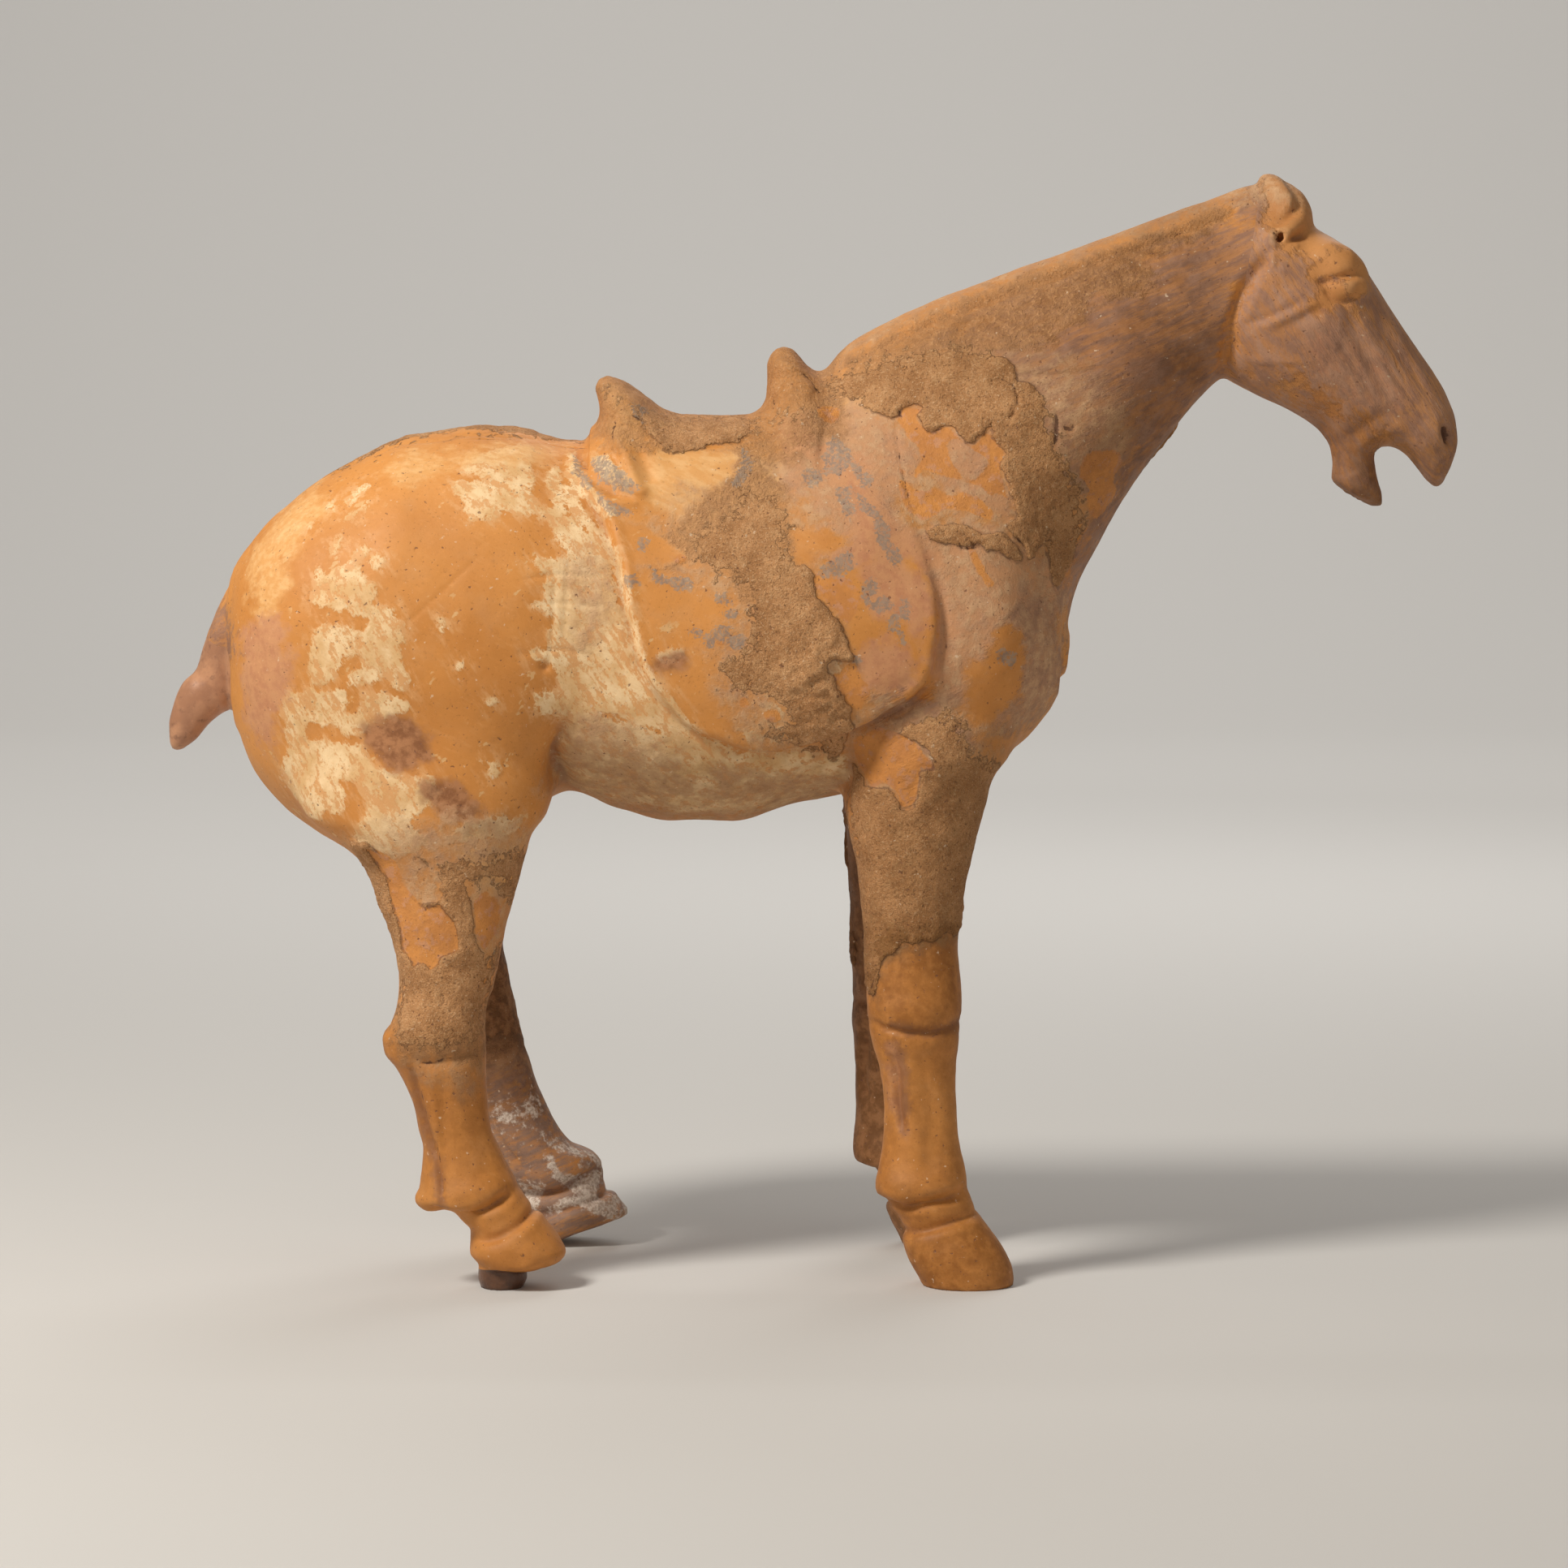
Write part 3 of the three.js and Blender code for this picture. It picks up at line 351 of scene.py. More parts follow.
def span_field(table, w, k=0.16, p=2.0, p_y=None):
    """Loft between an upper and a lower line of the middle plane."""
    t = np.array(table, float)
    n = len(t)
    cum = np.arange(n, dtype=float)
    s = np.linspace(0, n - 1, (n - 1) * 16 + 1)
    A = np.stack([pchip(cum, t[:, 0], s), pchip(cum, t[:, 1], s)], 1)
    B = np.stack([pchip(cum, t[:, 2], s), pchip(cum, t[:, 3], s)], 1)
    W = np.sqrt(pchip(cum, t[:, 4] ** 2, s))
    X, Z = np.meshgrid(GX[w[0]], GZ[w[2]], indexing="ij")
    P = np.stack([X.ravel(), Z.ravel()], 1).astype(float)
    U = A - B
    L = np.linalg.norm(U, axis=1)
    best = np.full(len(P), 1e9)
    si = np.zeros(len(P), int)
    side = np.zeros(len(P))
    tt = np.zeros(len(P))
    for i in range(len(s)):
        dx, dz = P[:, 0] - B[i, 0], P[:, 1] - B[i, 1]
        ti = (dx * U[i, 0] + dz * U[i, 1]) / L[i] ** 2
        c = (dz * U[i, 0] - dx * U[i, 1]) / L[i]
        over = np.maximum(np.maximum(-ti - 0.0, ti - 1), 0) * L[i]
        m = np.abs(c) + 0.7 * over < best
        best[m] = (np.abs(c) + 0.7 * over)[m]
        si[m] = i
        side[m] = c[m]
        tt[m] = ti[m]
    # between two lines: blend towards the neighbour on the point's side
    def at(i):
        i = np.clip(i, 0, len(s) - 1)
        dx, dz = P[:, 0] - B[i, 0], P[:, 1] - B[i, 1]
        return (dx * U[i, 0] + dz * U[i, 1]) / L[i] ** 2, (dz * U[i, 0] - dx * U[i, 1]) / L[i], W[i], i
    t0, c0, w0, i0 = at(si)
    # which way along the loft the signed distance falls
    t1, c1, w1, i1 = at(si + 1)
    t2, c2, w2, i2 = at(si - 1)
    use1 = (c0 * c1 < 0) & (i1 != i0)
    use2 = (c0 * c2 < 0) & (i2 != i0) & ~use1
    f = np.zeros(len(P))
    f[use1] = (np.abs(c0) / (np.abs(c0) + np.abs(c1) + 1e-9))[use1]
    f[use2] = (np.abs(c0) / (np.abs(c0) + np.abs(c2) + 1e-9))[use2]
    T = t0 + f * (np.where(use1, t1, np.where(use2, t2, t0)) - t0)
    HW = w0 + f * (np.where(use1, w1, np.where(use2, w2, w0)) - w0)
    end = np.where(((si == 0) | (si == len(s) - 1)) & ~use1 & ~use2, np.abs(c0), -FAR)
    v = 2 * T - 1
    HW = HW * (1 - k * np.clip(v, -1, 1))
    shape = X.shape
    v, HW, end = v.reshape(shape), HW.reshape(shape), end.reshape(shape)
    y = np.abs(GY[w[1]])
    q = (np.abs(v)[:, None, :] ** p + (y[None, :, None] / np.maximum(HW, 0.3)[:, None, :]) ** (p_y or p)) ** (1 / p)
    d = to_distance(q.astype(np.float32))
    # outside the loft's outline the distance is at least that to the outline
    out = -poly_in(P, np.vstack([A[::4], B[::-4]])).reshape(shape) * 0.97 - 0.1
    return np.maximum(d, np.maximum(end, out)[:, None, :].astype(np.float32))


def leg_field(table, w, p=2.15):
    t = np.array(table, float)
    z = GZ[w[2]]
    xr, xf = pchip(t[:, 0], t[:, 1], z), pchip(t[:, 0], t[:, 2], z)
    yc, hw = pchip(t[:, 0], t[:, 3], z), pchip(t[:, 0], t[:, 4], z)
    u = np.abs(GX[w[0]][:, None] - (xr + xf)[None, :] / 2) / ((xf - xr) / 2)[None, :]
    y = np.abs(GY[w[1]][:, None] - yc[None, :]) / hw[None, :]
    q = (u[:, None, :] ** p + y[None, :, :] ** p) ** (1 / p)
    d = to_distance(q.astype(np.float32))
    zs = np.linspace(t[:, 0].min(), t[:, 0].max(), 90)
    a, b = pchip(t[:, 0], t[:, 1], zs), pchip(t[:, 0], t[:, 2], zs)
    c, h = pchip(t[:, 0], t[:, 3], zs), pchip(t[:, 0], t[:, 4], zs)
    side_view = np.vstack([np.stack([a, zs], 1), np.stack([b, zs], 1)[::-1]])
    end_view = np.vstack([np.stack([c - h, zs], 1), np.stack([c + h, zs], 1)[::-1]])
    return np.maximum(d, np.maximum(bound(w, 0, 2, side_view), bound(w, 1, 2, end_view))).astype(np.float32)


def ball_field(w, c, r, turn=0.0):
    """Ellipsoid c with half axes r, turned about Y."""
    X = GX[w[0]][:, None, None] - c[0]
    Y = GY[w[1]][None, :, None] - c[1]
    Z = GZ[w[2]][None, None, :] - c[2]
    cs, sn = math.cos(turn), math.sin(turn)
    a = (X * cs + Z * sn) / r[0]
    b = (-X * sn + Z * cs) / r[2]
    q = np.sqrt(a * a + b * b + (Y / r[1]) ** 2)
    return to_distance(q.astype(np.float32))


FIELD = np.full(tuple(N), FAR, np.float32)


def blend_in(w, d, k):
    FIELD[w] = smin(FIELD[w], d, k)


def carve(w, d, k):
    FIELD[w] = smax(FIELD[w], -d, k)


w = window(-170, 84, -54, 54, 98, 250)
FIELD[w] = np.minimum(FIELD[w], barrel_field(BARREL, w))
w = window(-16, 136, -44, 44, 128, 304)
blend_in(w, span_field(NECK, w, 0.2), 9.0)
w = window(-172, -132, -24, 24, 146, 214)
blend_in(w, span_field(DOCK, w, 0.05), 5.0)
w = window(-181, -146, -12, 12, 136, 182)
blend_in(w, span_field(TAIL, w, 0.0), 1.6)
for table, k in ((FORE_R, 7.0), (FORE_L, 7.0), (HIND_R, 4.0), (HIND_L, 4.0)):
    t = np.array(table)
    side = -1 if t[0, 3] < 0 else 1
    w = window(t[:, 1].min() - 6, t[:, 2].max() + 6, -54 if side < 0 else -4, 4 if side < 0 else 54, -4, t[:, 0].max() + 6)
    blend_in(w, leg_field(table, w), k)
w = window(-96, -70, -50, -26, -4, 14)
blend_in(w, leg_field(FILL_R, w), 0.8)
# saddle
w = window(-68, 8, -44, 44, 176, 242)
blend_in(w, barrel_field(SEAT, w, p=2.3), 3.0)
for table in (POMMEL, CANTLE):
    t = np.array([(z, a, b, 0.0, c) for z, a, b, c in table])
    w = window(t[:, 1].min() - 6, t[:, 2].max() + 6, -44, 44, t[:, 0].min(), 262)
    blend_in(w, leg_field(t, w, 2.2), 5.5)
# head
w = window(100, 181, -26, 26, 200, 304)
head = span_field(HEAD, w, -0.06, 2.15)
jaw = span_field(JAW, w, 0.0, 2.2)
head = smin(head, jaw, 3.0)
head = smin(head, smin(ball_field(w, (141.6, -9.6, 272.6), (8.2, 7.0, 5.2), -0.5), ball_field(w, (141.6, 9.6, 272.6), (8.2, 7.0, 5.2), -0.5), 0.5), 3.5)
for s in (-1, 1):
    head = smin(head, ball_field(w, (144.4, s * 13.2, 267.2), (4.8, 4.2, 4.0), -0.6), 1.4)
FIELD[w] = smin(FIELD[w], head, 2.4)
w = window(108, 146, -16, 16, 272, 304)
blend_in(w, ball_field(w, (127.6, 0, 288.8), (9.2, 9.2, 6.4), -0.72), 2.2)
blend_in(w, ball_field(w, (124.4, 0, 295.6), (3.2, 4.6, 2.2), -0.45), 1.6)
for s in (-1, 1):
    w = window(112, 142, -22 if s < 0 else 2, -2 if s < 0 else 22, 264, 298)
    blend_in(w, ball_field(w, (125.6, s * 10.6, 280.6), (3.8, 4.6, 4.8), -0.7), 2.2)
    carve(w, ball_field(w, (125.4, s * 15.4, 280.4), (1.3, 4.4, 1.9), -0.6), 0.6)
# flat soles
FIELD[:] = np.maximum(FIELD, (-GZ)[None, None, :])


# ------------------------------------------------------------------ skin from the grid
def sample(F, P):
    Q = (P - LO) / VOX
    I = np.clip(np.floor(Q).astype(int), 0, np.array(F.shape) - 2)
    f = Q - I
    out = 0.0
    for dx in (0, 1):
        for dy in (0, 1):
            for dz in (0, 1):
                wgt = (f[:, 0] if dx else 1 - f[:, 0]) * (f[:, 1] if dy else 1 - f[:, 1]) * (f[:, 2] if dz else 1 - f[:, 2])
                out = out + wgt * F[I[:, 0] + dx, I[:, 1] + dy, I[:, 2] + dz]
    return out


def surface_nets(F):
    neg = F < 0
    cells = np.array(F.shape) - 1
    c = neg[:-1, :-1, :-1].astype(np.uint8)
    cnt = np.zeros(tuple(cells), np.uint8)
    for dx in (0, 1):
        for dy in (0, 1):
            for dz in (0, 1):
                cnt += neg[dx : dx + cells[0], dy : dy + cells[1], dz : dz + cells[2]]
    act = (cnt > 0) & (cnt < 8)
    idx = np.full(tuple(cells), -1, np.int64)
    C = np.argwhere(act)
    idx[act] = np.arange(len(C))
    pos = np.zeros((len(C), 3))
    num = np.zeros(len(C))
    corners = [(i, j, k) for i in (0, 1) for j in (0, 1) for k in (0, 1)]
    vals = {o: F[C[:, 0] + o[0], C[:, 1] + o[1], C[:, 2] + o[2]] for o in corners}
    for a in corners:
        for ax in range(3):
            if a[ax]:
                continue
            b = list(a)
            b[ax] = 1
            b = tuple(b)
            va, vb = vals[a], vals[b]
            m = (va < 0) != (vb < 0)
            t = np.where(m, va / np.where(m, va - vb, 1), 0)
            for k in range(3):
                pos[:, k] += np.where(m, a[k] + (t if k == ax else 0), 0)
            num += m
    pos = pos / num[:, None]
    V = LO + (C + pos) * VOX
    quads = []
    for ax in range(3):
        o1, o2 = [(1, 2), (2, 0), (0, 1)][ax]
        sl = [slice(None)] * 3
        sl2 = [slice(None)] * 3
        sl[ax] = slice(0, -1)
        sl2[ax] = slice(1, None)
        e = neg[tuple(sl)] != neg[tuple(sl2)]
        for o in (o1, o2):
            s3 = [slice(None)] * 3
            s3[o] = slice(1, -1)
            ee = np.zeros_like(e)
            ee[tuple(s3)] = e[tuple(s3)]
            e = ee
        E = np.argwhere(e)
        inside = neg[E[:, 0], E[:, 1], E[:, 2]]
        d1, d2 = np.zeros(3, int), np.zeros(3, int)
        d1[o1], d2[o2] = 1, 1
        a = idx[tuple((E - d1 - d2).T)]
        b = idx[tuple((E - d2).T)]
        c_ = idx[tuple(E.T)]
        d = idx[tuple((E - d1).T)]
        q = np.stack([a, b, c_, d], 1)
        q[~inside] = q[~inside][:, ::-1]
        quads.append(q)
    return V, np.concatenate(quads)


def gradient(F, P):
    e = VOX * 0.6
    G = np.stack([sample(F, P + np.eye(3)[k] * e) - sample(F, P - np.eye(3)[k] * e) for k in range(3)], 1) / (2 * e)
    return G


def vert_normals(V, Q):
    n = np.cross(V[Q[:, 2]] - V[Q[:, 0]], V[Q[:, 3]] - V[Q[:, 1]])
    out = np.zeros_like(V)
    for k in range(4):
        for c in range(3):
            out[:, c] += np.bincount(Q[:, k], n[:, c], len(V))
    return out / np.maximum(np.linalg.norm(out, axis=1), 1e-9)[:, None]


def ring_mean(V, A, B, deg):
    out = np.stack([np.bincount(A, V[B, c], len(V)) for c in range(3)], 1) if V.ndim > 1 else np.bincount(A, V[B], len(V))
    return out / (deg[:, None] if V.ndim > 1 else deg)


V, Q = surface_nets(FIELD)
E = np.concatenate([Q[:, [0, 1]], Q[:, [1, 2]], Q[:, [2, 3]], Q[:, [3, 0]]])
A, B = np.concatenate([E[:, 0], E[:, 1]]), np.concatenate([E[:, 1], E[:, 0]])
deg = np.bincount(A, minlength=len(V)).astype(float)
for it in range(3):
    V = V + 0.5 * (ring_mean(V, A, B, deg) - V)
    G = gradient(FIELD, V)
    g2 = np.maximum((G * G).sum(1), 0.05)
    V = V - G * (np.clip(sample(FIELD, V), -1, 1) / g2)[:, None]
print("skin", len(V), len(Q), "vox", VOX)

NRM = vert_normals(V, Q)
BASE = V.copy()


# ------------------------------------------------------------------ relief
# lines: name, points (x, z), half width, height;  bumps: name, x, z, radii, turn, height
LINES = [
    ('flap crease below the front', [(8.2, 146.6), (12.0, 148.8), (19.3, 152.7), (26.4, 156.5), (30.3, 160.9)], 1.5, -1.6),
    ('flap front dip', [(29.6, 194.4), (33.0, 186.2), (34.6, 177.2), (33.3, 168.2), (30.9, 160.9)], 3.4, -0.6),
    ('pink groove', [(33.9, 205.1), (37.8, 192.2), (40.0, 179.3), (38.3, 164.2), (34.0, 155.2)], 7.0, -0.8),
    ('shoulder swell', [(36.5, 211.5), (43.6, 194.3), (47.3, 179.3), (46.5, 164.2), (43.7, 153.4)], 11.0, 1.2),
    ('elbow crease', [(6.9, 131.1), (8.7, 135.9), (9.7, 142.4), (12.1, 147.8)], 1.6, -1.5),
    ('flank fold', [(-65.0, 151.4), (-68.0, 147.1), (-68.9, 141.7), (-68.1, 135.9), (-66.4, 130.9)], 3.0, -2.6),
    ('flank fold inner', [(-66.3, 148.1), (-68.3, 142.8), (-67.6, 135.2)], 1.2, -1.2),
    ('thigh crease', [(-92.1, 122.0), (-86.5, 122.6), (-79.6, 124.8), (-74.7, 127.1)], 2.6, -0.6),
    ('pad rim 1', [(-64.9, 222.2), (-62.3, 217.1), (-58.0, 212.4), (-51.6, 208.9), (-46.4, 208.9)], 1.6, 1.05),
    ('pad dip 1', [(-62.3, 219.7), (-58.5, 214.1), (-51.6, 210.6)], 1.8, -1.08),
    ('pad rim 2', [(-55.5, 223.1), (-52.9, 217.1), (-48.6, 212.8), (-44.3, 211.1)], 1.3, 0.8),
    ('cantle fin', [(-54.8, 230.8), (-50.5, 223.1), (-47.5, 216.2), (-44.9, 211.4)], 1.8, 1.17),
    ('cantle dip', [(-49.6, 230.8), (-45.7, 222.2), (-42.7, 214.5)], 2.6, -1.12),
    ('pommel fin', [(-10.8, 248.3), (-5.8, 245.1), (-0.1, 238.7)], 1.4, 0.5),
    ('pommel dip', [(-11.7, 235.1), (-10.8, 226.5), (-8.6, 215.7)], 3.4, -0.7),
    ('pommel swell', [(-5.8, 235.1), (-4.3, 224.4), (-2.6, 213.6)], 5.0, 0.7),
    ('belly line', [(-58.8, 135.9), (-43.7, 130.5), (-26.4, 129.0), (-9.1, 131.6), (3.9, 135.5)], 4.0, -0.5),
    ('neck arc', [(86.7, 266.1), (93.3, 268.7), (100.6, 270.2), (111.1, 269.3)], 1.3, 0.35),
    ('neck line', [(51.7, 243.9), (64.7, 243.4), (77.7, 244.9)], 0.8, -0.5),
    ('mane line', [(8.5, 243.6), (14.8, 249.3), (28.2, 255.9), (44.0, 262.0), (63.2, 269.2), (82.9, 275.9), (96.0, 280.3), (109.2, 285.1), (119.0, 289.0)], 1.0, -0.8),
    ('mane swell', [(8.5, 246.3), (14.9, 252.0), (28.3, 258.6), (44.1, 264.7), (63.4, 271.9), (83.1, 278.7), (96.3, 283.0), (109.4, 287.8), (119.2, 292.2)], 2.2, 0.5),
    ('neck groove', [(108.4, 248.2), (100.2, 240.0), (93.3, 230.9), (87.7, 220.9), (82.0, 213.5)], 6.0, -1.0),
    ('neck groove 2', [(110.3, 241.8), (104.2, 234.2)], 2.0, -0.8),
    ('neck swell', [(95.0, 256.8), (84.2, 246.0), (73.5, 230.9), (64.8, 213.5)], 12.0, 0.8),
    ('cheek crease', [(122.2, 274.9), (118.6, 270.5), (115.3, 265.3), (113.0, 257.9), (111.7, 250.5), (110.6, 243.5)], 2.0, -2.0),
    ('cheek rim', [(123.0, 270.5), (118.7, 266.1), (115.7, 259.2), (114.2, 251.6), (113.2, 245.1)], 3.6, 0.8),
    ('jaw rim', [(112.4, 243.6), (119.9, 239.7), (128.9, 235.3), (136.6, 230.5)], 2.4, 0.4),
    ('face ridge 1', [(136.0, 263.3), (130.3, 260.4), (124.9, 257.8), (120.1, 256.1)], 1.1, 0.55),
    ('face dip 1', [(136.8, 261.7), (130.8, 258.5), (124.9, 256.1)], 1.5, -0.35),
    ('face ridge 2', [(117.0, 248.1), (124.0, 247.4), (130.5, 247.6), (134.9, 246.3)], 1.0, 0.25),
    ('face ridge 3', [(132.9, 263.0), (135.1, 259.1), (139.1, 254.4), (141.7, 250.9)], 1.5, 0.45),
    ('nose groove', [(142.6, 258.1), (146.4, 253.6), (151.3, 245.1), (155.2, 238.1), (158.3, 233.5)], 2.2, -0.9),
    ('nose ridge', [(146.6, 257.5), (150.6, 251.6), (154.6, 244.4), (157.7, 238.8)], 1.6, 0.5),
    ('nose groove 2', [(151.0, 258.9), (154.5, 254.6), (158.1, 249.3), (164.7, 241.0)], 1.2, -0.4),
    ('lip rim', [(146.3, 223.0), (150.7, 226.5), (154.6, 228.7), (158.5, 229.0), (162.9, 226.5), (167.4, 220.9), (170.1, 215.2)], 2.0, 0.7),
    ('lip dip', [(143.2, 225.5), (148.7, 229.2), (154.3, 231.8), (159.1, 232.2), (164.4, 228.7)], 2.6, -0.7),
    ('eye lid', [(137.3, 267.4), (139.1, 264.4), (142.2, 263.1), (145.2, 264.4), (146.5, 267.4)], 0.9, -0.9),
    ('brow rim', [(133.2, 274.0), (137.2, 277.1), (142.6, 277.7), (145.9, 274.9)], 2.4, 0.5),
    ('brow dip', [(135.2, 268.3), (138.2, 268.7), (142.3, 269.6), (146.0, 270.0)], 1.0, -1.3),
    ('forelock dip', [(121.4, 293.8), (122.7, 290.3), (121.6, 286.0), (119.7, 283.4)], 1.4, -0.25),
    ('forelock rim', [(125.7, 295.1), (129.3, 291.2), (129.7, 287.3), (127.1, 283.8)], 3.0, 0.4),
    ('forelock crease', [(127.7, 296.1), (129.9, 293.0), (130.8, 290.0), (129.1, 286.5), (123.8, 283.4)], 1.2, -1.0),
    ('crest end rim', [(125.1, 296.1), (127.6, 293.1), (128.7, 290.0), (127.0, 287.4)], 1.2, 0.5),
    ('ear rim', [(133.4, 287.1), (131.0, 284.3), (127.7, 281.9), (124.2, 280.2), (121.4, 279.3)], 2.6, 1.0),
    ('ear crease', [(133.0, 282.4), (129.0, 279.7), (125.1, 278.0), (122.5, 276.3)], 1.1, -0.9),
    ('ear hollow', [(128.3, 280.4), (130.9, 280.7), (133.1, 281.1)], 1.3, -1.1),
    ('ear lower rim', [(123.4, 278.2), (127.3, 278.9), (130.8, 278.2)], 1.0, 0.5),
    ('ear spike', [(123.8, 278.0), (123.6, 275.0), (123.0, 271.9)], 0.9, 0.8),
    ('head streak 1', [(133.3, 261.4), (139.5, 254.4), (145.7, 245.7), (152.8, 235.3), (159.4, 226.5)], 1.0, -0.45),
    ('head streak 2', [(141.8, 263.2), (150.7, 250.6), (159.5, 239.7), (166.2, 230.9)], 0.9, -0.4),
    ('head streak 3', [(115.4, 257.0), (121.9, 258.8), (130.6, 263.1)], 0.9, -0.4),
    ('nose streak', [(150.8, 265.4), (157.9, 254.5), (164.6, 244.0), (168.6, 237.5)], 0.9, 0.35),
    ('fore knee crease', [(15.1, 71.1), (21.1, 69.0), (28.7, 68.3), (35.2, 69.4), (39.2, 71.6)], 1.1, -1.2),
    ('fore knee over', [(15.1, 75.9), (25.4, 73.3), (39.2, 75.9)], 4.0, 0.5),
    ('fore knee under', [(15.1, 64.6), (25.5, 63.8), (39.3, 65.9)], 3.6, 0.5),
    ('fore tendon 1', [(20.8, 62.5), (22.1, 56.0), (22.5, 49.5), (23.8, 42.5)], 1.3, -1.5),
    ('fore tendon 2', [(18.4, 55.9), (19.5, 45.0), (20.8, 31.9)], 1.6, -0.4),
    ('fore tendon 3', [(28.6, 62.5), (31.2, 51.7), (32.1, 40.8), (31.2, 29.9)], 2.4, -0.6),
    ('fore tendon ridge', [(24.7, 60.4), (26.0, 47.3), (26.9, 34.2)], 2.4, 0.5),
    ('fore fetlock crease', [(16.9, 23.3), (23.4, 21.1), (29.8, 22.9), (36.3, 24.2), (40.6, 25.5)], 1.5, -2.2),
    ('fore fetlock swell', [(17.3, 27.7), (25.5, 26.8), (38.5, 29.9)], 3.6, 0.6),
    ('fore coronet', [(22.9, 14.5), (29.8, 15.8), (38.4, 18.4), (44.0, 19.7)], 1.2, -1.1),
    ('fore coronet rim', [(22.9, 11.9), (29.8, 13.2), (38.4, 15.8), (45.3, 17.1)], 1.8, 0.5),
    ('hock crease', [(-107.2, 62.2), (-101.8, 60.8), (-96.2, 61.3), (-89.9, 63.0)], 1.4, -0.7),
    ('hock swell', [(-110.8, 66.5), (-105.0, 66.9), (-98.5, 69.5)], 5.0, 0.7),
    ('hind tendon 1', [(-107.0, 59.8), (-104.2, 46.8), (-100.2, 35.0), (-98.5, 23.0)], 0.9, -1.0),
    ('hind tendon 2', [(-98.6, 56.4), (-98.5, 45.5), (-98.1, 34.6), (-97.3, 25.9)], 1.5, -0.4),
    ('hind tendon ridge', [(-101.4, 58.6), (-100.6, 45.5), (-99.8, 30.3)], 1.6, 0.4),
    ('hind tendon 3', [(-91.5, 54.2), (-89.0, 41.2), (-86.0, 30.3)], 2.4, -0.4),
    ('hind fetlock crease', [(-102.3, 21.9), (-96.3, 19.7), (-88.9, 21.0), (-79.9, 26.2)], 1.5, -2.4),
    ('hind fetlock swell', [(-101.9, 25.4), (-93.2, 24.5), (-82.4, 29.5)], 3.4, 0.6),
    ('hind coronet', [(-89.7, 13.5), (-84.5, 14.4), (-78.1, 17.8), (-73.7, 21.8)], 1.2, -1.2),
    ('hind coronet rim', [(-88.9, 11.1), (-83.5, 12.0), (-77.0, 15.7), (-72.0, 19.6)], 1.8, 0.5),
    ('scratch', [(-108.0, 176.9), (-99.0, 185.1), (-87.8, 196.0)], 0.45, -0.2),
    ('hatch 1', [(-78.2, 188.9), (-66.9, 190.8), (-56.6, 189.8)], 0.45, -0.32),
    ('hatch 2', [(-75.5, 182.7), (-64.7, 183.1), (-56.2, 182.1)], 0.45, -0.32),
    ('hatch 3', [(-77.6, 169.6), (-66.9, 170.7), (-55.6, 168.3)], 0.45, -0.32),
    ('hatch 4', [(-68.2, 190.0), (-68.6, 179.5), (-69.7, 166.4)], 0.45, -0.32),
    ('hatch 5', [(-64.7, 194.5), (-65.2, 183.8), (-66.1, 173.1)], 0.45, -0.32),
    ('croup crack', [(-128.9, 217.1), (-124.9, 219.5), (-115.0, 223.5), (-110.6, 225.2), (-99.8, 226.3), (-94.3, 227.6), (-80.1, 227.0), (-73.7, 226.3), (-66.2, 224.8)], 0.5, -0.5),
    ('leg top crack', [(12.5, 125.8), (15.1, 114.5), (14.7, 101.5)], 0.5, -0.3),
]
BUMPS = [
    ('rump', -122.5, 188.0, 26, 24, 0, 0.8),
    ('stifle', -77.8, 136.5, 16, 18, 0, 1.2),
    ('thigh', -103.5, 136.5, 24, 20, 0, 0.8),
    ('flank dip', -60.5, 170.9, 12, 20, 0, -1.4),
    ('chest', 52.0, 170.4, 13, 15, 0, 1.0),
    ('chest dip', 43.9, 153.2, 6, 6, 0, -0.5),
    ('forearm', 25.4, 125.6, 12, 16, 0, 0.8),
    ('brow', 140.7, 273.4, 6.4, 4.0, -30, 1.3),
    ('eye', 142.6, 267.0, 4.4, 3.0, -30, 1.5),
    ('eye pit', 147.0, 271.0, 1.6, 2.0, 0, -0.9),
    ('cheek', 123.8, 251.5, 13, 13, 0, 1.0),
    ('cheek low', 135.1, 241.8, 9, 6, -35, 0.5),
    ('temple', 130.5, 269.0, 6, 4, 0, -0.6),
    ('nostril', 171.8, 227.6, 1.6, 3.0, 20, -3.0),
    ('nostril rim', 169.9, 228.5, 1.8, 3.6, 20, 0.5),
    ('muzzle dent', 170.1, 222.8, 2.2, 1.8, 0, -0.7),
    ('chin', 146.6, 213.4, 3.4, 3, 0, 0.5),
    ('chin dip', 148.3, 218.9, 3, 3, 0, -0.6),
    ('jaw dip', 139.9, 230.9, 5, 3.5, -30, -0.6),
    ('pit a', 113.6, 288.6, 1.0, 0.8, 0, -0.6),
    ('pit b', 116.1, 261.6, 0.7, 0.5, 0, -0.6),
    ('pit c', 155.0, 229.6, 0.6, 0.6, 0, -0.6),
    ('pit d', -70.8, 166.0, 1.2, 1.2, 0, -0.8),
    ('pit e', 49.8, 168.0, 1.6, 1.0, 0, -0.4),
    ('lump', -9.1, 192.3, 3, 2.5, 0, 0.9),
    ('lump2', -3.7, 164.5, 7, 9, 0, 1.0),
    ('lump3', 1.7, 153.6, 5, 6, 0, 0.9),
    ('saddle side', -28.4, 213.7, 20, 8, 0, 0.6),
    ('hoof dent', 40.2, 6.2, 4, 2.5, 0, -0.3),
]
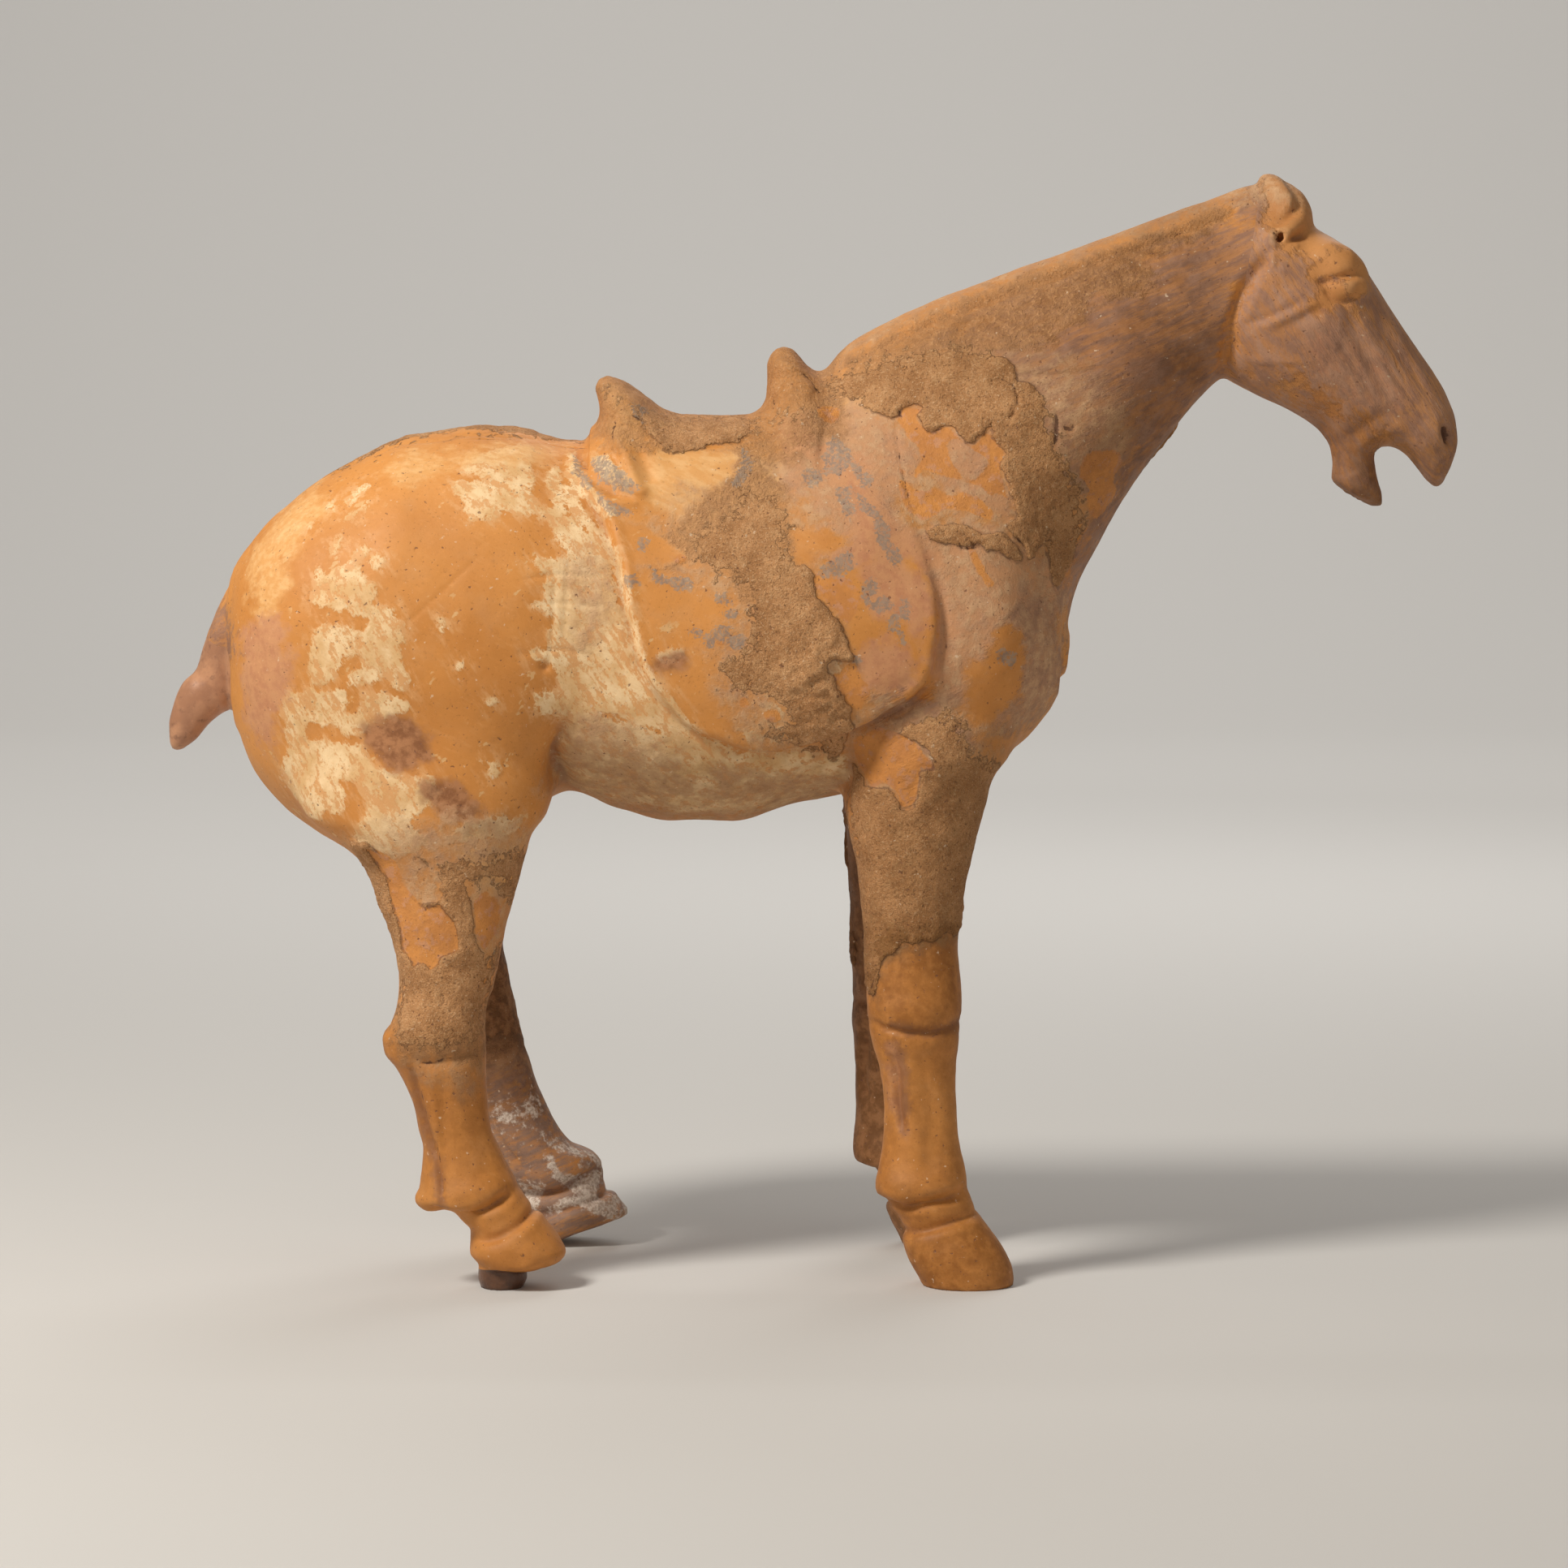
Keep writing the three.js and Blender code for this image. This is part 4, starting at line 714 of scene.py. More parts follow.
FLAP = [(-66.9, 225.4), (-64.7, 221.2), (-60.5, 213.7), (-55.1, 204.7), (-51.1, 192.3), (-48.5, 178.3), (-45.6, 167.6), (-39.6, 157.3), (-32.7, 150.8), (-24.1, 146.3), (-15.5, 144.4), (-6.9, 144.8), (-0.0, 146.3), (7.1, 148.9), (12.0, 150.0), (19.3, 153.6), (26.4, 157.9), (30.0, 162.2), (32.2, 169.1), (33.6, 177.7), (32.3, 187.6), (29.7, 195.3), (26.9, 203.0), (24.8, 213.7), (20.9, 226.5), (10.2, 234.0), (-0.5, 230.8), (-21.9, 230.8), (-43.3, 230.8)]
# paint and crust: kind, raggedness of the edge, outline (x, z)
PATCHES = [
    ('mauve', 1.0, [(46.2, 169.5), (49.2, 170.7), (51.8, 169.5), (51.1, 166.4), (47.5, 165.8)]),
    ('grey', 1.0, [(48.1, 169.5), (50.7, 170.3), (52.4, 167.7), (51.1, 166.0), (48.6, 167.3)]),
    ('grey', 1.2, [(6.0, 223.1), (8.1, 224.8), (9.8, 222.2), (9.0, 218.0), (6.8, 215.8), (5.1, 218.4)]),
    ('rose', 0.9, [(35.7, 225.2), (39.4, 226.5), (43.0, 223.5), (46.7, 220.9), (44.8, 216.7), (41.8, 215.0), (39.4, 217.3), (36.8, 220.9)]),
    ('rose', 0.9, [(33.8, 216.7), (38.1, 215.6), (44.4, 213.0), (44.8, 210.7), (39.4, 211.7), (34.5, 213.0)]),
    ('rose', 0.9, [(23.3, 222.9), (26.5, 222.2), (27.6, 217.3), (26.5, 215.0), (24.0, 216.0)]),
    ('rose', 0.9, [(44.8, 210.0), (48.6, 211.7), (52.3, 210.0), (52.3, 203.8), (48.7, 206.4)]),
    ('rose', 1.4, [(13.7, 170.7), (18.7, 173.1), (23.4, 170.7), (26.0, 165.8), (24.7, 160.9), (19.8, 159.8), (14.8, 160.9), (11.8, 165.8)]),
    ('rose', 1.4, [(18.6, 194.2), (24.7, 192.9), (29.0, 186.7), (30.3, 180.6), (28.3, 175.7), (23.4, 178.1), (19.7, 185.6)]),
    ('rose', 1.2, [(31.9, 196.5), (35.8, 195.2), (38.2, 187.9), (39.5, 178.1), (38.9, 168.4), (35.9, 165.8), (33.9, 170.7), (35.2, 180.6), (32.6, 190.3)]),
    ('clean', 1.2, [(47.5, 177.4), (51.7, 178.1), (55.4, 172.7), (56.7, 165.8), (55.5, 158.5), (51.8, 153.5), (44.5, 149.2), (41.9, 153.5), (44.5, 160.9), (41.9, 165.8), (44.5, 170.7)]),
    ('soil', 2.0, [(-37.6, 204.5), (-31.2, 207.9), (-27.7, 212.4), (-22.4, 217.7), (-17.0, 221.4), (-12.3, 220.5), (-9.1, 213.7), (-5.8, 205.1), (-3.7, 196.5), (-9.1, 187.9), (-17.7, 183.6), (-20.4, 186.4), (-24.1, 190.9), (-31.2, 193.7), (-43.0, 191.8)]),
    ('mauve', 1.2, [(-164.3, 182.1), (-158.6, 180.3), (-156.5, 173.7), (-157.4, 166.7), (-163.1, 166.0), (-168.0, 169.3), (-167.3, 176.4)]),
    ('chalk', 0.8, [(-82.1, 40.2), (-79.4, 37.0), (-75.1, 32.6), (-70.8, 30.3), (-68.8, 27.1), (-73.1, 26.7), (-75.1, 30.3), (-79.5, 32.6), (-81.7, 37.0)]),
    ('chalk', 0.8, [(-76.3, 30.3), (-73.1, 28.3), (-72.7, 23.9), (-74.3, 21.7), (-77.0, 25.1)]),
    ('chalk', 0.8, [(-82.9, 21.7), (-79.5, 18.5), (-75.2, 16.2), (-73.2, 10.9), (-74.3, 6.6), (-77.5, 10.9), (-81.8, 17.3)]),
    ('chalk', 0.8, [(-66.1, 11.8), (-62.3, 13.0), (-58.0, 11.8), (-53.6, 10.9), (-54.8, 8.2), (-60.2, 8.6), (-64.5, 8.2)]),
    ('chalk', 0.8, [(-80.6, 31.5), (-77.4, 32.6), (-76.3, 25.1), (-78.6, 20.5), (-80.6, 23.9)]),
    # these three are painted shade in the fore tendon groove, the hind tendon groove and the fore knee crease
    ('stain_and_recess_shade', 0.6, [(21.9, 65.0), (24.3, 64.2), (25.6, 55.9), (25.4, 43.9), (23.4, 40.6), (22.5, 52.6)]),
    ('stain_and_recess_shade', 0.5, [(-107.7, 59.3), (-106.0, 55.6), (-103.2, 46.3), (-99.4, 34.5), (-97.7, 22.9), (-99.6, 22.4), (-101.7, 33.8), (-105.4, 45.2)]),
    ('stain_and_recess_shade', 0.6, [(20.8, 71.6), (27.7, 70.3), (35.3, 70.3), (39.8, 72.0), (39.8, 69.8), (34.2, 68.1), (26.6, 68.1), (20.8, 69.4)]),
    ('cream', 0.4, [(-59.2, 221.8), (-55.4, 222.2), (-51.1, 218.6), (-47.6, 214.0), (-50.0, 212.3), (-54.3, 214.0), (-57.5, 216.8)]),
    ('crust', 0.4, [(-44.5, 229.1), (-40.4, 226.3), (-36.1, 224.4), (-32.9, 223.3), (-29.6, 223.7), (-27.5, 224.6), (-22.0, 225.2), (-20.3, 227.6), (-21.0, 232.6), (-32.8, 232.1), (-43.7, 233.0)]),
    ('pale', 2.0, [(-57.2, 240.7), (-52.8, 241.8), (-46.3, 235.3), (-44.1, 228.7), (-46.3, 224.4), (-52.8, 226.5), (-56.1, 233.1)]),
    ('cream', 0.5, [(-67.0, 213.7), (-64.2, 214.1), (-61.4, 209.0), (-57.1, 204.0), (-52.6, 199.1), (-50.3, 193.3), (-48.6, 186.9), (-46.9, 179.3), (-45.0, 171.8), (-42.4, 165.4), (-37.9, 159.6), (-32.7, 153.5), (-29.3, 149.2), (-32.7, 148.1), (-37.0, 152.5), (-42.4, 160.0), (-46.0, 167.5), (-48.8, 176.1), (-51.6, 184.7), (-54.6, 194.4), (-60.6, 201.9), (-64.8, 207.2)]),
    ('clean', 0.8, [(130.6, 269.1), (135.8, 275.9), (144.1, 278.3), (150.3, 272.9), (149.5, 264.6), (144.2, 262.8), (139.8, 268.1), (134.4, 268.1)]),
    ('clean', 0.8, [(128.9, 292.1), (131.1, 293.9), (135.1, 289.9), (135.1, 285.1), (131.2, 283.0), (126.8, 280.8), (125.0, 281.7), (130.3, 285.6), (131.8, 288.6)]),
    ('mauve', 2.0, [(108.5, 246.2), (114.4, 241.8), (105.8, 229.8), (94.9, 218.2), (86.2, 207.3), (77.5, 194.2), (70.9, 181.0), (65.5, 182.8), (70.9, 198.1), (79.6, 213.4), (90.5, 226.5), (101.3, 239.6)]),
    ('mauve', 3.0, [(112.6, 242.3), (121.6, 235.3), (132.6, 229.2), (140.2, 222.2), (140.2, 212.3), (153.4, 205.7), (156.0, 213.4), (152.2, 222.2), (148.9, 228.7), (140.1, 234.2), (126.9, 240.1), (118.1, 245.8)]),
    ('mauve', 2.5, [(139.6, 272.4), (152.7, 272.4), (166.0, 252.7), (174.9, 235.3), (176.1, 220.0), (170.7, 211.2), (164.1, 215.6), (166.2, 226.5), (159.5, 241.8), (150.6, 257.1)]),
    ('clean', 0.8, [(18.0, 86.3), (23.4, 90.2), (41.7, 92.4), (42.8, 70.7), (15.8, 70.7), (15.8, 76.6)]),
    ('dust', 2.0, [(-74.7, 133.0), (-65.1, 130.9), (-45.7, 123.3), (-22.0, 121.2), (8.2, 127.6), (8.2, 132.0), (-22.0, 127.6), (-45.7, 129.8), (-65.0, 136.3)]),
    ('crust', 0.8, [(0.6, 184.7), (2.8, 182.6), (4.9, 180.4), (7.1, 177.2), (8.6, 174.6), (9.9, 170.7), (10.3, 168.2), (7.1, 167.5), (4.3, 168.2), (3.4, 166.4), (4.9, 163.9), (6.0, 161.1), (7.1, 159.6), (9.2, 157.8), (9.9, 154.6), (10.3, 151.4), (9.9, 148.1), (8.2, 143.8), (6.0, 140.6), (-0.5, 141.7), (-3.7, 143.8), (-9.1, 146.0), (-15.5, 148.1), (-17.7, 150.3), (-12.3, 152.5), (-9.1, 153.5), (-10.1, 156.1), (-14.4, 157.4), (-18.7, 158.3), (-22.0, 160.0), (-25.2, 161.1), (-26.3, 164.3), (-25.6, 168.6), (-22.0, 170.7), (-18.7, 172.9), (-18.7, 177.2), (-20.9, 179.3), (-18.1, 182.6), (-19.8, 185.8), (-21.9, 187.9), (-26.2, 189.0), (-29.5, 191.2), (-32.2, 192.2), (-32.7, 196.5), (-32.7, 201.9), (-26.2, 205.1), (-21.9, 209.4), (-21.9, 213.7), (-18.7, 215.8), (-16.6, 219.0), (-14.4, 213.7), (-10.1, 213.7), (-6.9, 209.4), (-4.8, 205.1), (-5.8, 200.8), (-3.7, 194.4), (-0.5, 192.2), (0.2, 187.9)]),
    ('crust', 0.7, [(0.9, 239.9), (3.9, 243.4), (9.3, 246.8), (16.9, 249.0), (27.8, 251.6), (40.8, 252.5), (48.3, 249.9), (53.8, 246.0), (54.2, 239.5), (54.4, 236.3), (53.4, 234.1), (52.1, 231.9), (49.0, 232.6), (47.7, 230.9), (46.2, 228.7), (44.1, 226.5), (43.0, 224.8), (40.8, 225.0), (39.1, 227.0), (37.6, 229.1), (35.4, 229.8), (33.2, 228.7), (31.1, 228.0), (29.3, 229.8), (27.8, 232.6), (29.5, 234.5), (25.6, 235.2), (23.5, 234.1), (21.3, 231.9), (12.6, 234.5), (6.1, 236.9)]),
    ('crust', 0.7, [(47.7, 230.8), (49.4, 232.6), (52.6, 231.9), (54.1, 234.1), (54.8, 237.3), (51.5, 241.6), (50.4, 243.4), (55.9, 241.6), (62.4, 238.4), (64.5, 235.2), (64.6, 230.8), (66.7, 229.8), (69.3, 230.4), (70.0, 228.7), (67.8, 226.5), (66.7, 224.4), (70.0, 220.0), (71.1, 215.7), (73.3, 213.6), (73.3, 209.2), (75.0, 204.9), (74.4, 201.6), (72.3, 197.3), (70.1, 194.1), (67.9, 190.8), (66.4, 187.6), (64.3, 186.5), (63.0, 191.9), (62.5, 196.2), (61.4, 198.4), (59.3, 196.2), (57.1, 194.1), (56.0, 198.4), (52.7, 200.6), (51.6, 203.8), (53.8, 204.9), (53.8, 208.1), (52.3, 212.5), (51.0, 216.8), (50.1, 219.6), (51.2, 222.2), (49.8, 224.8), (47.7, 227.4)]),
    ('crust', 0.7, [(29.7, 201.8), (36.2, 203.9), (40.5, 202.9), (44.8, 200.7), (49.1, 201.8), (52.4, 199.6), (55.6, 195.3), (53.5, 193.2), (49.2, 196.4), (45.9, 196.4), (43.8, 198.1), (40.5, 197.5), (36.2, 198.6), (33.0, 199.0)]),
    ('crust', 0.9, [(7.4, 127.4), (9.9, 134.9), (10.8, 140.3), (13.0, 137.1), (15.8, 132.8), (20.1, 133.9), (22.5, 130.6), (23.8, 128.0), (26.6, 128.9), (28.1, 131.7), (28.7, 138.2), (32.4, 138.2), (32.0, 141.4), (27.6, 146.4), (22.2, 148.4), (27.6, 151.2), (34.1, 155.5), (40.6, 153.3), (42.7, 144.7), (51.4, 140.3), (49.7, 127.4), (46.7, 114.4), (44.6, 103.5), (42.4, 95.3), (39.6, 95.3), (37.5, 93.7), (35.3, 94.8), (32.0, 92.6), (29.9, 93.7), (26.6, 91.6), (23.8, 92.6), (22.3, 89.4), (19.1, 88.7), (16.9, 80.7), (15.2, 78.5), (10.4, 88.3), (8.2, 105.7)]),
    ('crust', 1.2, [(-124.3, 121.2), (-116.8, 119.0), (-113.0, 114.7), (-110.0, 110.4), (-108.3, 106.0), (-105.0, 103.9), (-101.8, 102.8), (-98.6, 104.3), (-99.6, 108.2), (-102.8, 112.5), (-106.1, 115.8), (-103.9, 117.9), (-98.5, 116.8), (-95.3, 119.0), (-88.8, 117.9), (-82.3, 119.0), (-73.7, 121.2), (-73.7, 110.4), (-77.0, 101.7), (-79.2, 93.0), (-81.4, 84.4), (-82.9, 73.5), (-84.7, 64.8), (-93.3, 62.7), (-104.1, 62.7), (-112.8, 64.8), (-114.9, 73.5), (-112.7, 82.2), (-113.7, 95.2), (-119.0, 108.2)]),
    ('crust', 0.6, [(-137.2, 212.1), (-133.4, 215.2), (-125.1, 218.2), (-116.3, 221.7), (-109.7, 224.4), (-103.2, 225.9), (-87.8, 227.0), (-79.1, 226.1), (-79.1, 230.9), (-114.1, 228.7), (-131.6, 221.1), (-139.3, 213.4)]),
    ('dust', 3.0, [(-43.4, 205.1), (-32.7, 212.8), (-26.2, 222.2), (-9.1, 222.2), (-0.5, 222.2), (10.3, 205.1), (1.7, 192.2), (-0.5, 183.6), (8.1, 175.0), (9.2, 160.0), (8.2, 144.9), (-9.1, 144.9), (-22.0, 151.4), (-26.3, 160.0), (-28.4, 170.7), (-22.0, 177.2), (-30.5, 186.9), (-43.4, 192.2), (-47.7, 196.5), (-49.8, 201.9)]),
    ('dust', 3.0, [(-3.7, 222.2), (1.7, 240.5), (12.5, 248.1), (42.8, 252.4), (64.4, 248.1), (83.9, 235.2), (83.9, 222.2), (73.2, 202.8), (64.6, 183.3), (66.4, 157.2), (56.1, 148.6), (38.7, 148.6), (23.5, 147.5), (32.2, 157.2), (35.4, 174.6), (32.1, 196.3), (19.1, 204.9), (12.6, 222.2)]),
    ('dust', 1.6, [(-64.9, 194.4), (-59.5, 196.5), (-55.2, 192.2), (-54.2, 183.6), (-57.4, 172.9), (-62.4, 171.8), (-61.0, 183.6), (-64.9, 187.9)]),
    ('cream', 0.7, [(-94.2, 218.6), (-92.7, 221.6), (-89.5, 222.2), (-86.2, 222.9), (-83.7, 223.9), (-81.5, 224.8), (-77.7, 224.4), (-75.1, 224.4), (-74.5, 222.2), (-75.3, 220.1), (-74.5, 217.5), (-73.4, 215.4), (-74.5, 213.7), (-74.5, 212.0), (-73.0, 209.4), (-71.7, 208.3), (-70.0, 209.0), (-69.6, 211.5), (-70.4, 213.7), (-71.7, 215.4), (-70.8, 218.0), (-69.1, 219.0), (-67.4, 216.9), (-66.1, 214.1), (-67.0, 211.5), (-66.1, 207.2), (-67.0, 204.0), (-68.5, 203.0), (-70.9, 204.7), (-73.4, 206.0), (-75.6, 206.4), (-78.8, 206.4), (-82.4, 206.8), (-84.2, 205.5), (-86.7, 205.1), (-90.2, 205.1), (-92.3, 207.2), (-94.0, 210.5), (-96.4, 213.0), (-96.4, 214.7), (-94.4, 215.8), (-91.0, 215.4), (-88.4, 215.0), (-86.7, 215.8), (-89.5, 216.2), (-92.7, 217.1)]),
    ('cream', 0.9, [(-67.0, 213.7), (-64.8, 208.3), (-62.7, 205.1), (-58.4, 201.9), (-54.6, 195.5), (-52.7, 189.7), (-50.5, 182.6), (-48.2, 174.0), (-45.2, 166.0), (-40.9, 160.0), (-35.3, 153.5), (-32.7, 149.2), (-37.0, 148.1), (-43.5, 149.2), (-49.9, 151.4), (-56.4, 153.1), (-62.8, 153.1), (-67.2, 151.4), (-69.3, 153.5), (-73.6, 154.6), (-74.7, 157.8), (-71.0, 160.0), (-67.1, 161.1), (-68.6, 164.3), (-70.1, 167.5), (-73.6, 167.5), (-75.7, 169.7), (-75.3, 171.8), (-71.0, 171.2), (-69.7, 175.0), (-69.2, 178.3), (-70.9, 180.4), (-74.6, 181.9), (-73.1, 183.6), (-71.4, 184.7), (-71.8, 187.5), (-70.9, 189.7), (-73.5, 192.2), (-74.5, 194.4), (-75.2, 195.7), (-71.7, 195.9), (-68.1, 195.2), (-64.9, 194.4), (-65.5, 197.6), (-68.1, 199.7), (-68.9, 202.5), (-67.0, 205.1), (-67.4, 209.4)]),
    ('cream', 2.2, [(-65.0, 154.0), (-56.4, 153.5), (-43.5, 150.7), (-32.7, 148.6), (-22.0, 145.3), (-11.2, 143.8), (-0.5, 143.8), (7.1, 142.8), (9.2, 136.3), (3.9, 130.9), (-9.1, 127.0), (-22.0, 125.1), (-32.8, 125.1), (-45.7, 127.0), (-56.4, 129.4), (-65.1, 133.0), (-67.6, 138.4), (-67.2, 144.9)]),
    ('cream', 0.8, [(-130.6, 192.2), (-129.5, 191.1), (-126.9, 192.2), (-124.1, 193.3), (-121.7, 192.6), (-119.8, 192.2), (-118.3, 190.5), (-117.0, 189.0), (-115.3, 187.5), (-114.9, 185.7), (-116.2, 183.2), (-114.5, 181.9), (-112.3, 182.5), (-110.2, 181.0), (-109.8, 178.9), (-108.1, 177.6), (-108.1, 172.8), (-108.7, 168.5), (-107.5, 166.8), (-106.4, 164.2), (-106.4, 162.1), (-108.1, 159.9), (-110.3, 159.9), (-111.4, 161.6), (-112.9, 164.2), (-114.6, 163.1), (-116.7, 161.6), (-118.9, 162.5), (-121.1, 161.6), (-122.8, 162.5), (-122.1, 164.6), (-119.9, 165.9), (-119.3, 168.5), (-121.0, 169.6), (-123.2, 168.5), (-125.3, 165.3), (-127.1, 162.5), (-129.7, 161.6), (-132.2, 161.6), (-132.9, 164.2), (-133.3, 167.4), (-133.5, 170.7), (-132.2, 173.9), (-130.7, 176.7), (-127.4, 177.1), (-125.3, 177.6), (-121.8, 176.7), (-119.3, 175.4), (-118.4, 177.1), (-118.8, 178.9), (-121.4, 180.1), (-123.1, 181.0), (-125.7, 180.4), (-128.5, 181.4), (-130.0, 179.7), (-130.6, 182.5), (-132.8, 183.2), (-132.1, 186.2), (-131.7, 189.0)]),
    ('cream', 0.5, [(-127.7, 198.2), (-125.1, 200.8), (-124.3, 199.7), (-126.2, 196.1), (-128.2, 196.5)]),
    ('cream', 0.5, [(-123.0, 194.3), (-118.7, 198.2), (-117.4, 196.5), (-119.6, 193.9), (-122.0, 192.8)]),
    ('cream', 0.5, [(-117.6, 194.3), (-115.5, 196.1), (-112.7, 194.3), (-114.0, 191.8), (-117.0, 191.8)]),
    ('cream', 0.5, [(-130.5, 208.3), (-128.3, 209.8), (-126.2, 208.9), (-127.2, 206.8), (-129.8, 206.8)]),
    ('cream', 0.5, [(-125.5, 209.4), (-120.8, 213.7), (-118.0, 213.7), (-120.8, 210.2), (-124.0, 208.1)]),
    ('cream', 0.5, [(-124.7, 205.5), (-120.8, 208.3), (-118.2, 209.8), (-118.0, 208.1), (-121.9, 205.1), (-124.7, 204.0)]),
    ('cream', 0.8, [(-144.0, 199.8), (-140.3, 202.8), (-136.9, 205.0), (-133.0, 203.9), (-134.7, 201.7), (-139.0, 200.2), (-142.9, 198.1)]),
    ('cream', 1.2, [(-140.0, 159.9), (-135.1, 159.9), (-132.9, 161.6), (-129.7, 160.3), (-123.2, 160.3), (-122.8, 157.7), (-123.7, 154.5), (-121.1, 153.4), (-120.0, 155.6), (-118.9, 158.8), (-114.6, 159.9), (-112.5, 158.2), (-110.3, 159.5), (-107.5, 158.2), (-106.4, 156.0), (-108.2, 153.4), (-112.5, 152.3), (-115.7, 151.3), (-117.9, 149.1), (-121.1, 148.0), (-124.4, 148.0), (-125.4, 150.2), (-127.6, 151.3), (-130.2, 149.5), (-133.0, 151.3), (-134.5, 149.1), (-133.0, 147.0), (-129.7, 148.0), (-127.6, 146.5), (-125.4, 145.9), (-121.1, 146.5), (-117.9, 144.8), (-116.4, 141.6), (-114.7, 139.4), (-111.5, 138.3), (-108.2, 137.2), (-103.9, 136.2), (-101.8, 138.3), (-99.6, 136.2), (-98.6, 132.9), (-100.7, 129.7), (-104.0, 127.5), (-106.1, 125.3), (-104.0, 123.2), (-101.9, 119.9), (-105.1, 117.8), (-109.4, 116.3), (-114.8, 116.3), (-120.2, 117.8), (-122.3, 123.2), (-118.0, 127.5), (-119.1, 132.9), (-121.2, 136.2), (-124.4, 135.1), (-123.8, 129.7), (-125.6, 126.4), (-128.8, 127.5), (-131.0, 124.9), (-133.1, 125.3), (-137.4, 128.6), (-140.6, 132.9), (-141.7, 137.2), (-141.6, 141.6), (-140.1, 144.8), (-140.5, 149.1), (-141.6, 153.4), (-140.9, 157.3)]),
    ('cream', 0.5, [(-88.7, 141.0), (-85.9, 141.5), (-84.0, 141.0), (-82.7, 138.4), (-84.0, 136.3), (-86.1, 136.9), (-86.6, 140.2)]),
    ('cream', 0.4, [(-99.3, 179.3), (-97.6, 179.8), (-96.9, 176.8), (-98.2, 175.0), (-99.3, 177.6)]),
    ('cream', 0.4, [(-94.4, 166.7), (-92.5, 168.0), (-92.3, 166.0), (-93.8, 165.6)]),
    ('cream', 0.4, [(-86.5, 157.8), (-83.7, 158.5), (-83.7, 156.5), (-86.1, 155.9)]),
    ('cream', 0.6, [(-41.7, 169.7), (-37.0, 171.6), (-33.6, 170.3), (-35.9, 168.2), (-40.2, 167.3)]),
    ('cream', 0.9, [(-18.5, 149.7), (-15.5, 150.9), (-12.3, 149.2), (-9.1, 151.4), (-6.9, 149.2), (-10.1, 146.9), (-14.4, 146.9), (-18.1, 147.9)]),
    ('cream', 0.7, [(-14.2, 156.8), (-10.1, 157.6), (-7.6, 154.6), (-9.5, 152.2), (-12.7, 153.3)]),
    ('cream', 0.5, [(2.3, 166.4), (5.6, 168.4), (7.7, 166.9), (6.2, 164.1), (3.0, 164.5)]),
    ('cream', 0.4, [(-107.8, 106.3), (-105.4, 104.6), (-102.4, 99.4), (-101.3, 91.3), (-103.1, 92.2), (-105.4, 98.3), (-107.6, 101.5)]),
    ('cream', 0.4, [(-66.1, 222.6), (-63.8, 222.2), (-61.6, 217.9), (-59.3, 213.6), (-56.0, 209.7), (-52.2, 206.7), (-53.9, 204.4), (-57.6, 206.9), (-61.2, 210.4), (-63.8, 211.0), (-65.5, 215.3)]),
    ('cream', 0.8, [(-95.2, 124.4), (-86.6, 126.6), (-78.0, 125.5), (-81.2, 121.2), (-88.8, 119.9), (-94.2, 120.7)]),
    ('stain_and_recess_shade', 1.2, [(-119.0, 151.3), (-114.6, 152.3), (-110.3, 154.5), (-106.0, 152.3), (-102.8, 150.2), (-101.7, 145.9), (-100.7, 142.6), (-102.8, 140.5), (-107.2, 139.4), (-110.4, 138.3), (-113.0, 140.5), (-116.4, 142.6), (-118.6, 145.9)]),
    ('stain_and_recess_shade', 1.2, [(-103.9, 135.1), (-99.6, 136.6), (-95.3, 136.2), (-92.1, 134.0), (-89.9, 130.7), (-86.7, 127.5), (-88.9, 125.8), (-93.2, 125.3), (-97.5, 125.3), (-100.7, 129.7), (-104.0, 131.8)]),
    ('stain_and_recess_shade', 0.8, [(-42.8, 167.5), (-39.2, 169.5), (-33.8, 170.7), (-33.1, 166.9), (-37.0, 164.5), (-42.2, 165.6)]),
    # painted shade: the nostril recess is darkened with the stain colour
    ('stain_and_recess_shade', 0.3, [(171.1, 229.4), (172.2, 230.1), (173.3, 228.5), (173.3, 225.9), (172.2, 225.0), (171.1, 227.0)]),
    ('pink', 2.5, [(-153.0, 172.4), (-150.0, 177.2), (-144.5, 180.7), (-140.2, 177.2), (-139.2, 170.3), (-138.8, 161.6), (-141.0, 155.1), (-142.6, 148.6), (-144.8, 143.1), (-149.8, 145.3), (-152.3, 152.9)]),
    ('grey', 0.4, [(-59.0, 220.1), (-56.4, 221.8), (-53.2, 219.6), (-48.9, 215.8), (-46.1, 213.4), (-47.8, 211.9), (-51.7, 212.3), (-54.7, 214.0), (-57.5, 216.2)]),
    ('grey', 0.3, [(-64.4, 221.6), (-62.5, 219.6), (-60.1, 216.2), (-58.6, 213.4), (-60.3, 213.0), (-62.5, 215.3), (-64.0, 217.9)]),
    ('grey', 0.4, [(-57.0, 211.3), (-54.2, 209.1), (-51.0, 207.8), (-48.4, 206.1), (-52.1, 205.3), (-54.5, 206.1), (-56.4, 208.3)]),
    ('grey', 0.4, [(-46.0, 198.9), (-43.8, 198.5), (-44.3, 196.3), (-46.0, 196.7)]),
    ('grey', 0.5, [(-42.8, 191.4), (-40.2, 190.7), (-38.1, 189.2), (-34.8, 189.9), (-32.3, 188.6), (-32.0, 186.7), (-35.3, 186.2), (-38.7, 187.7), (-41.1, 187.5)]),
    ('grey', 0.4, [(-50.1, 189.9), (-46.6, 190.3), (-46.0, 187.5), (-48.8, 187.1)]),
    ('grey', 0.4, [(-25.4, 184.7), (-23.0, 185.4), (-21.1, 183.6), (-22.6, 181.9), (-25.2, 182.4)]),
    ('grey', 0.4, [(-24.3, 180.4), (-20.9, 181.1), (-19.6, 179.8), (-22.6, 178.7)]),
    ('grey', 0.5, [(-29.0, 172.7), (-26.9, 175.5), (-23.7, 177.4), (-21.7, 176.8), (-22.2, 174.0), (-25.2, 172.7), (-27.3, 171.0)]),
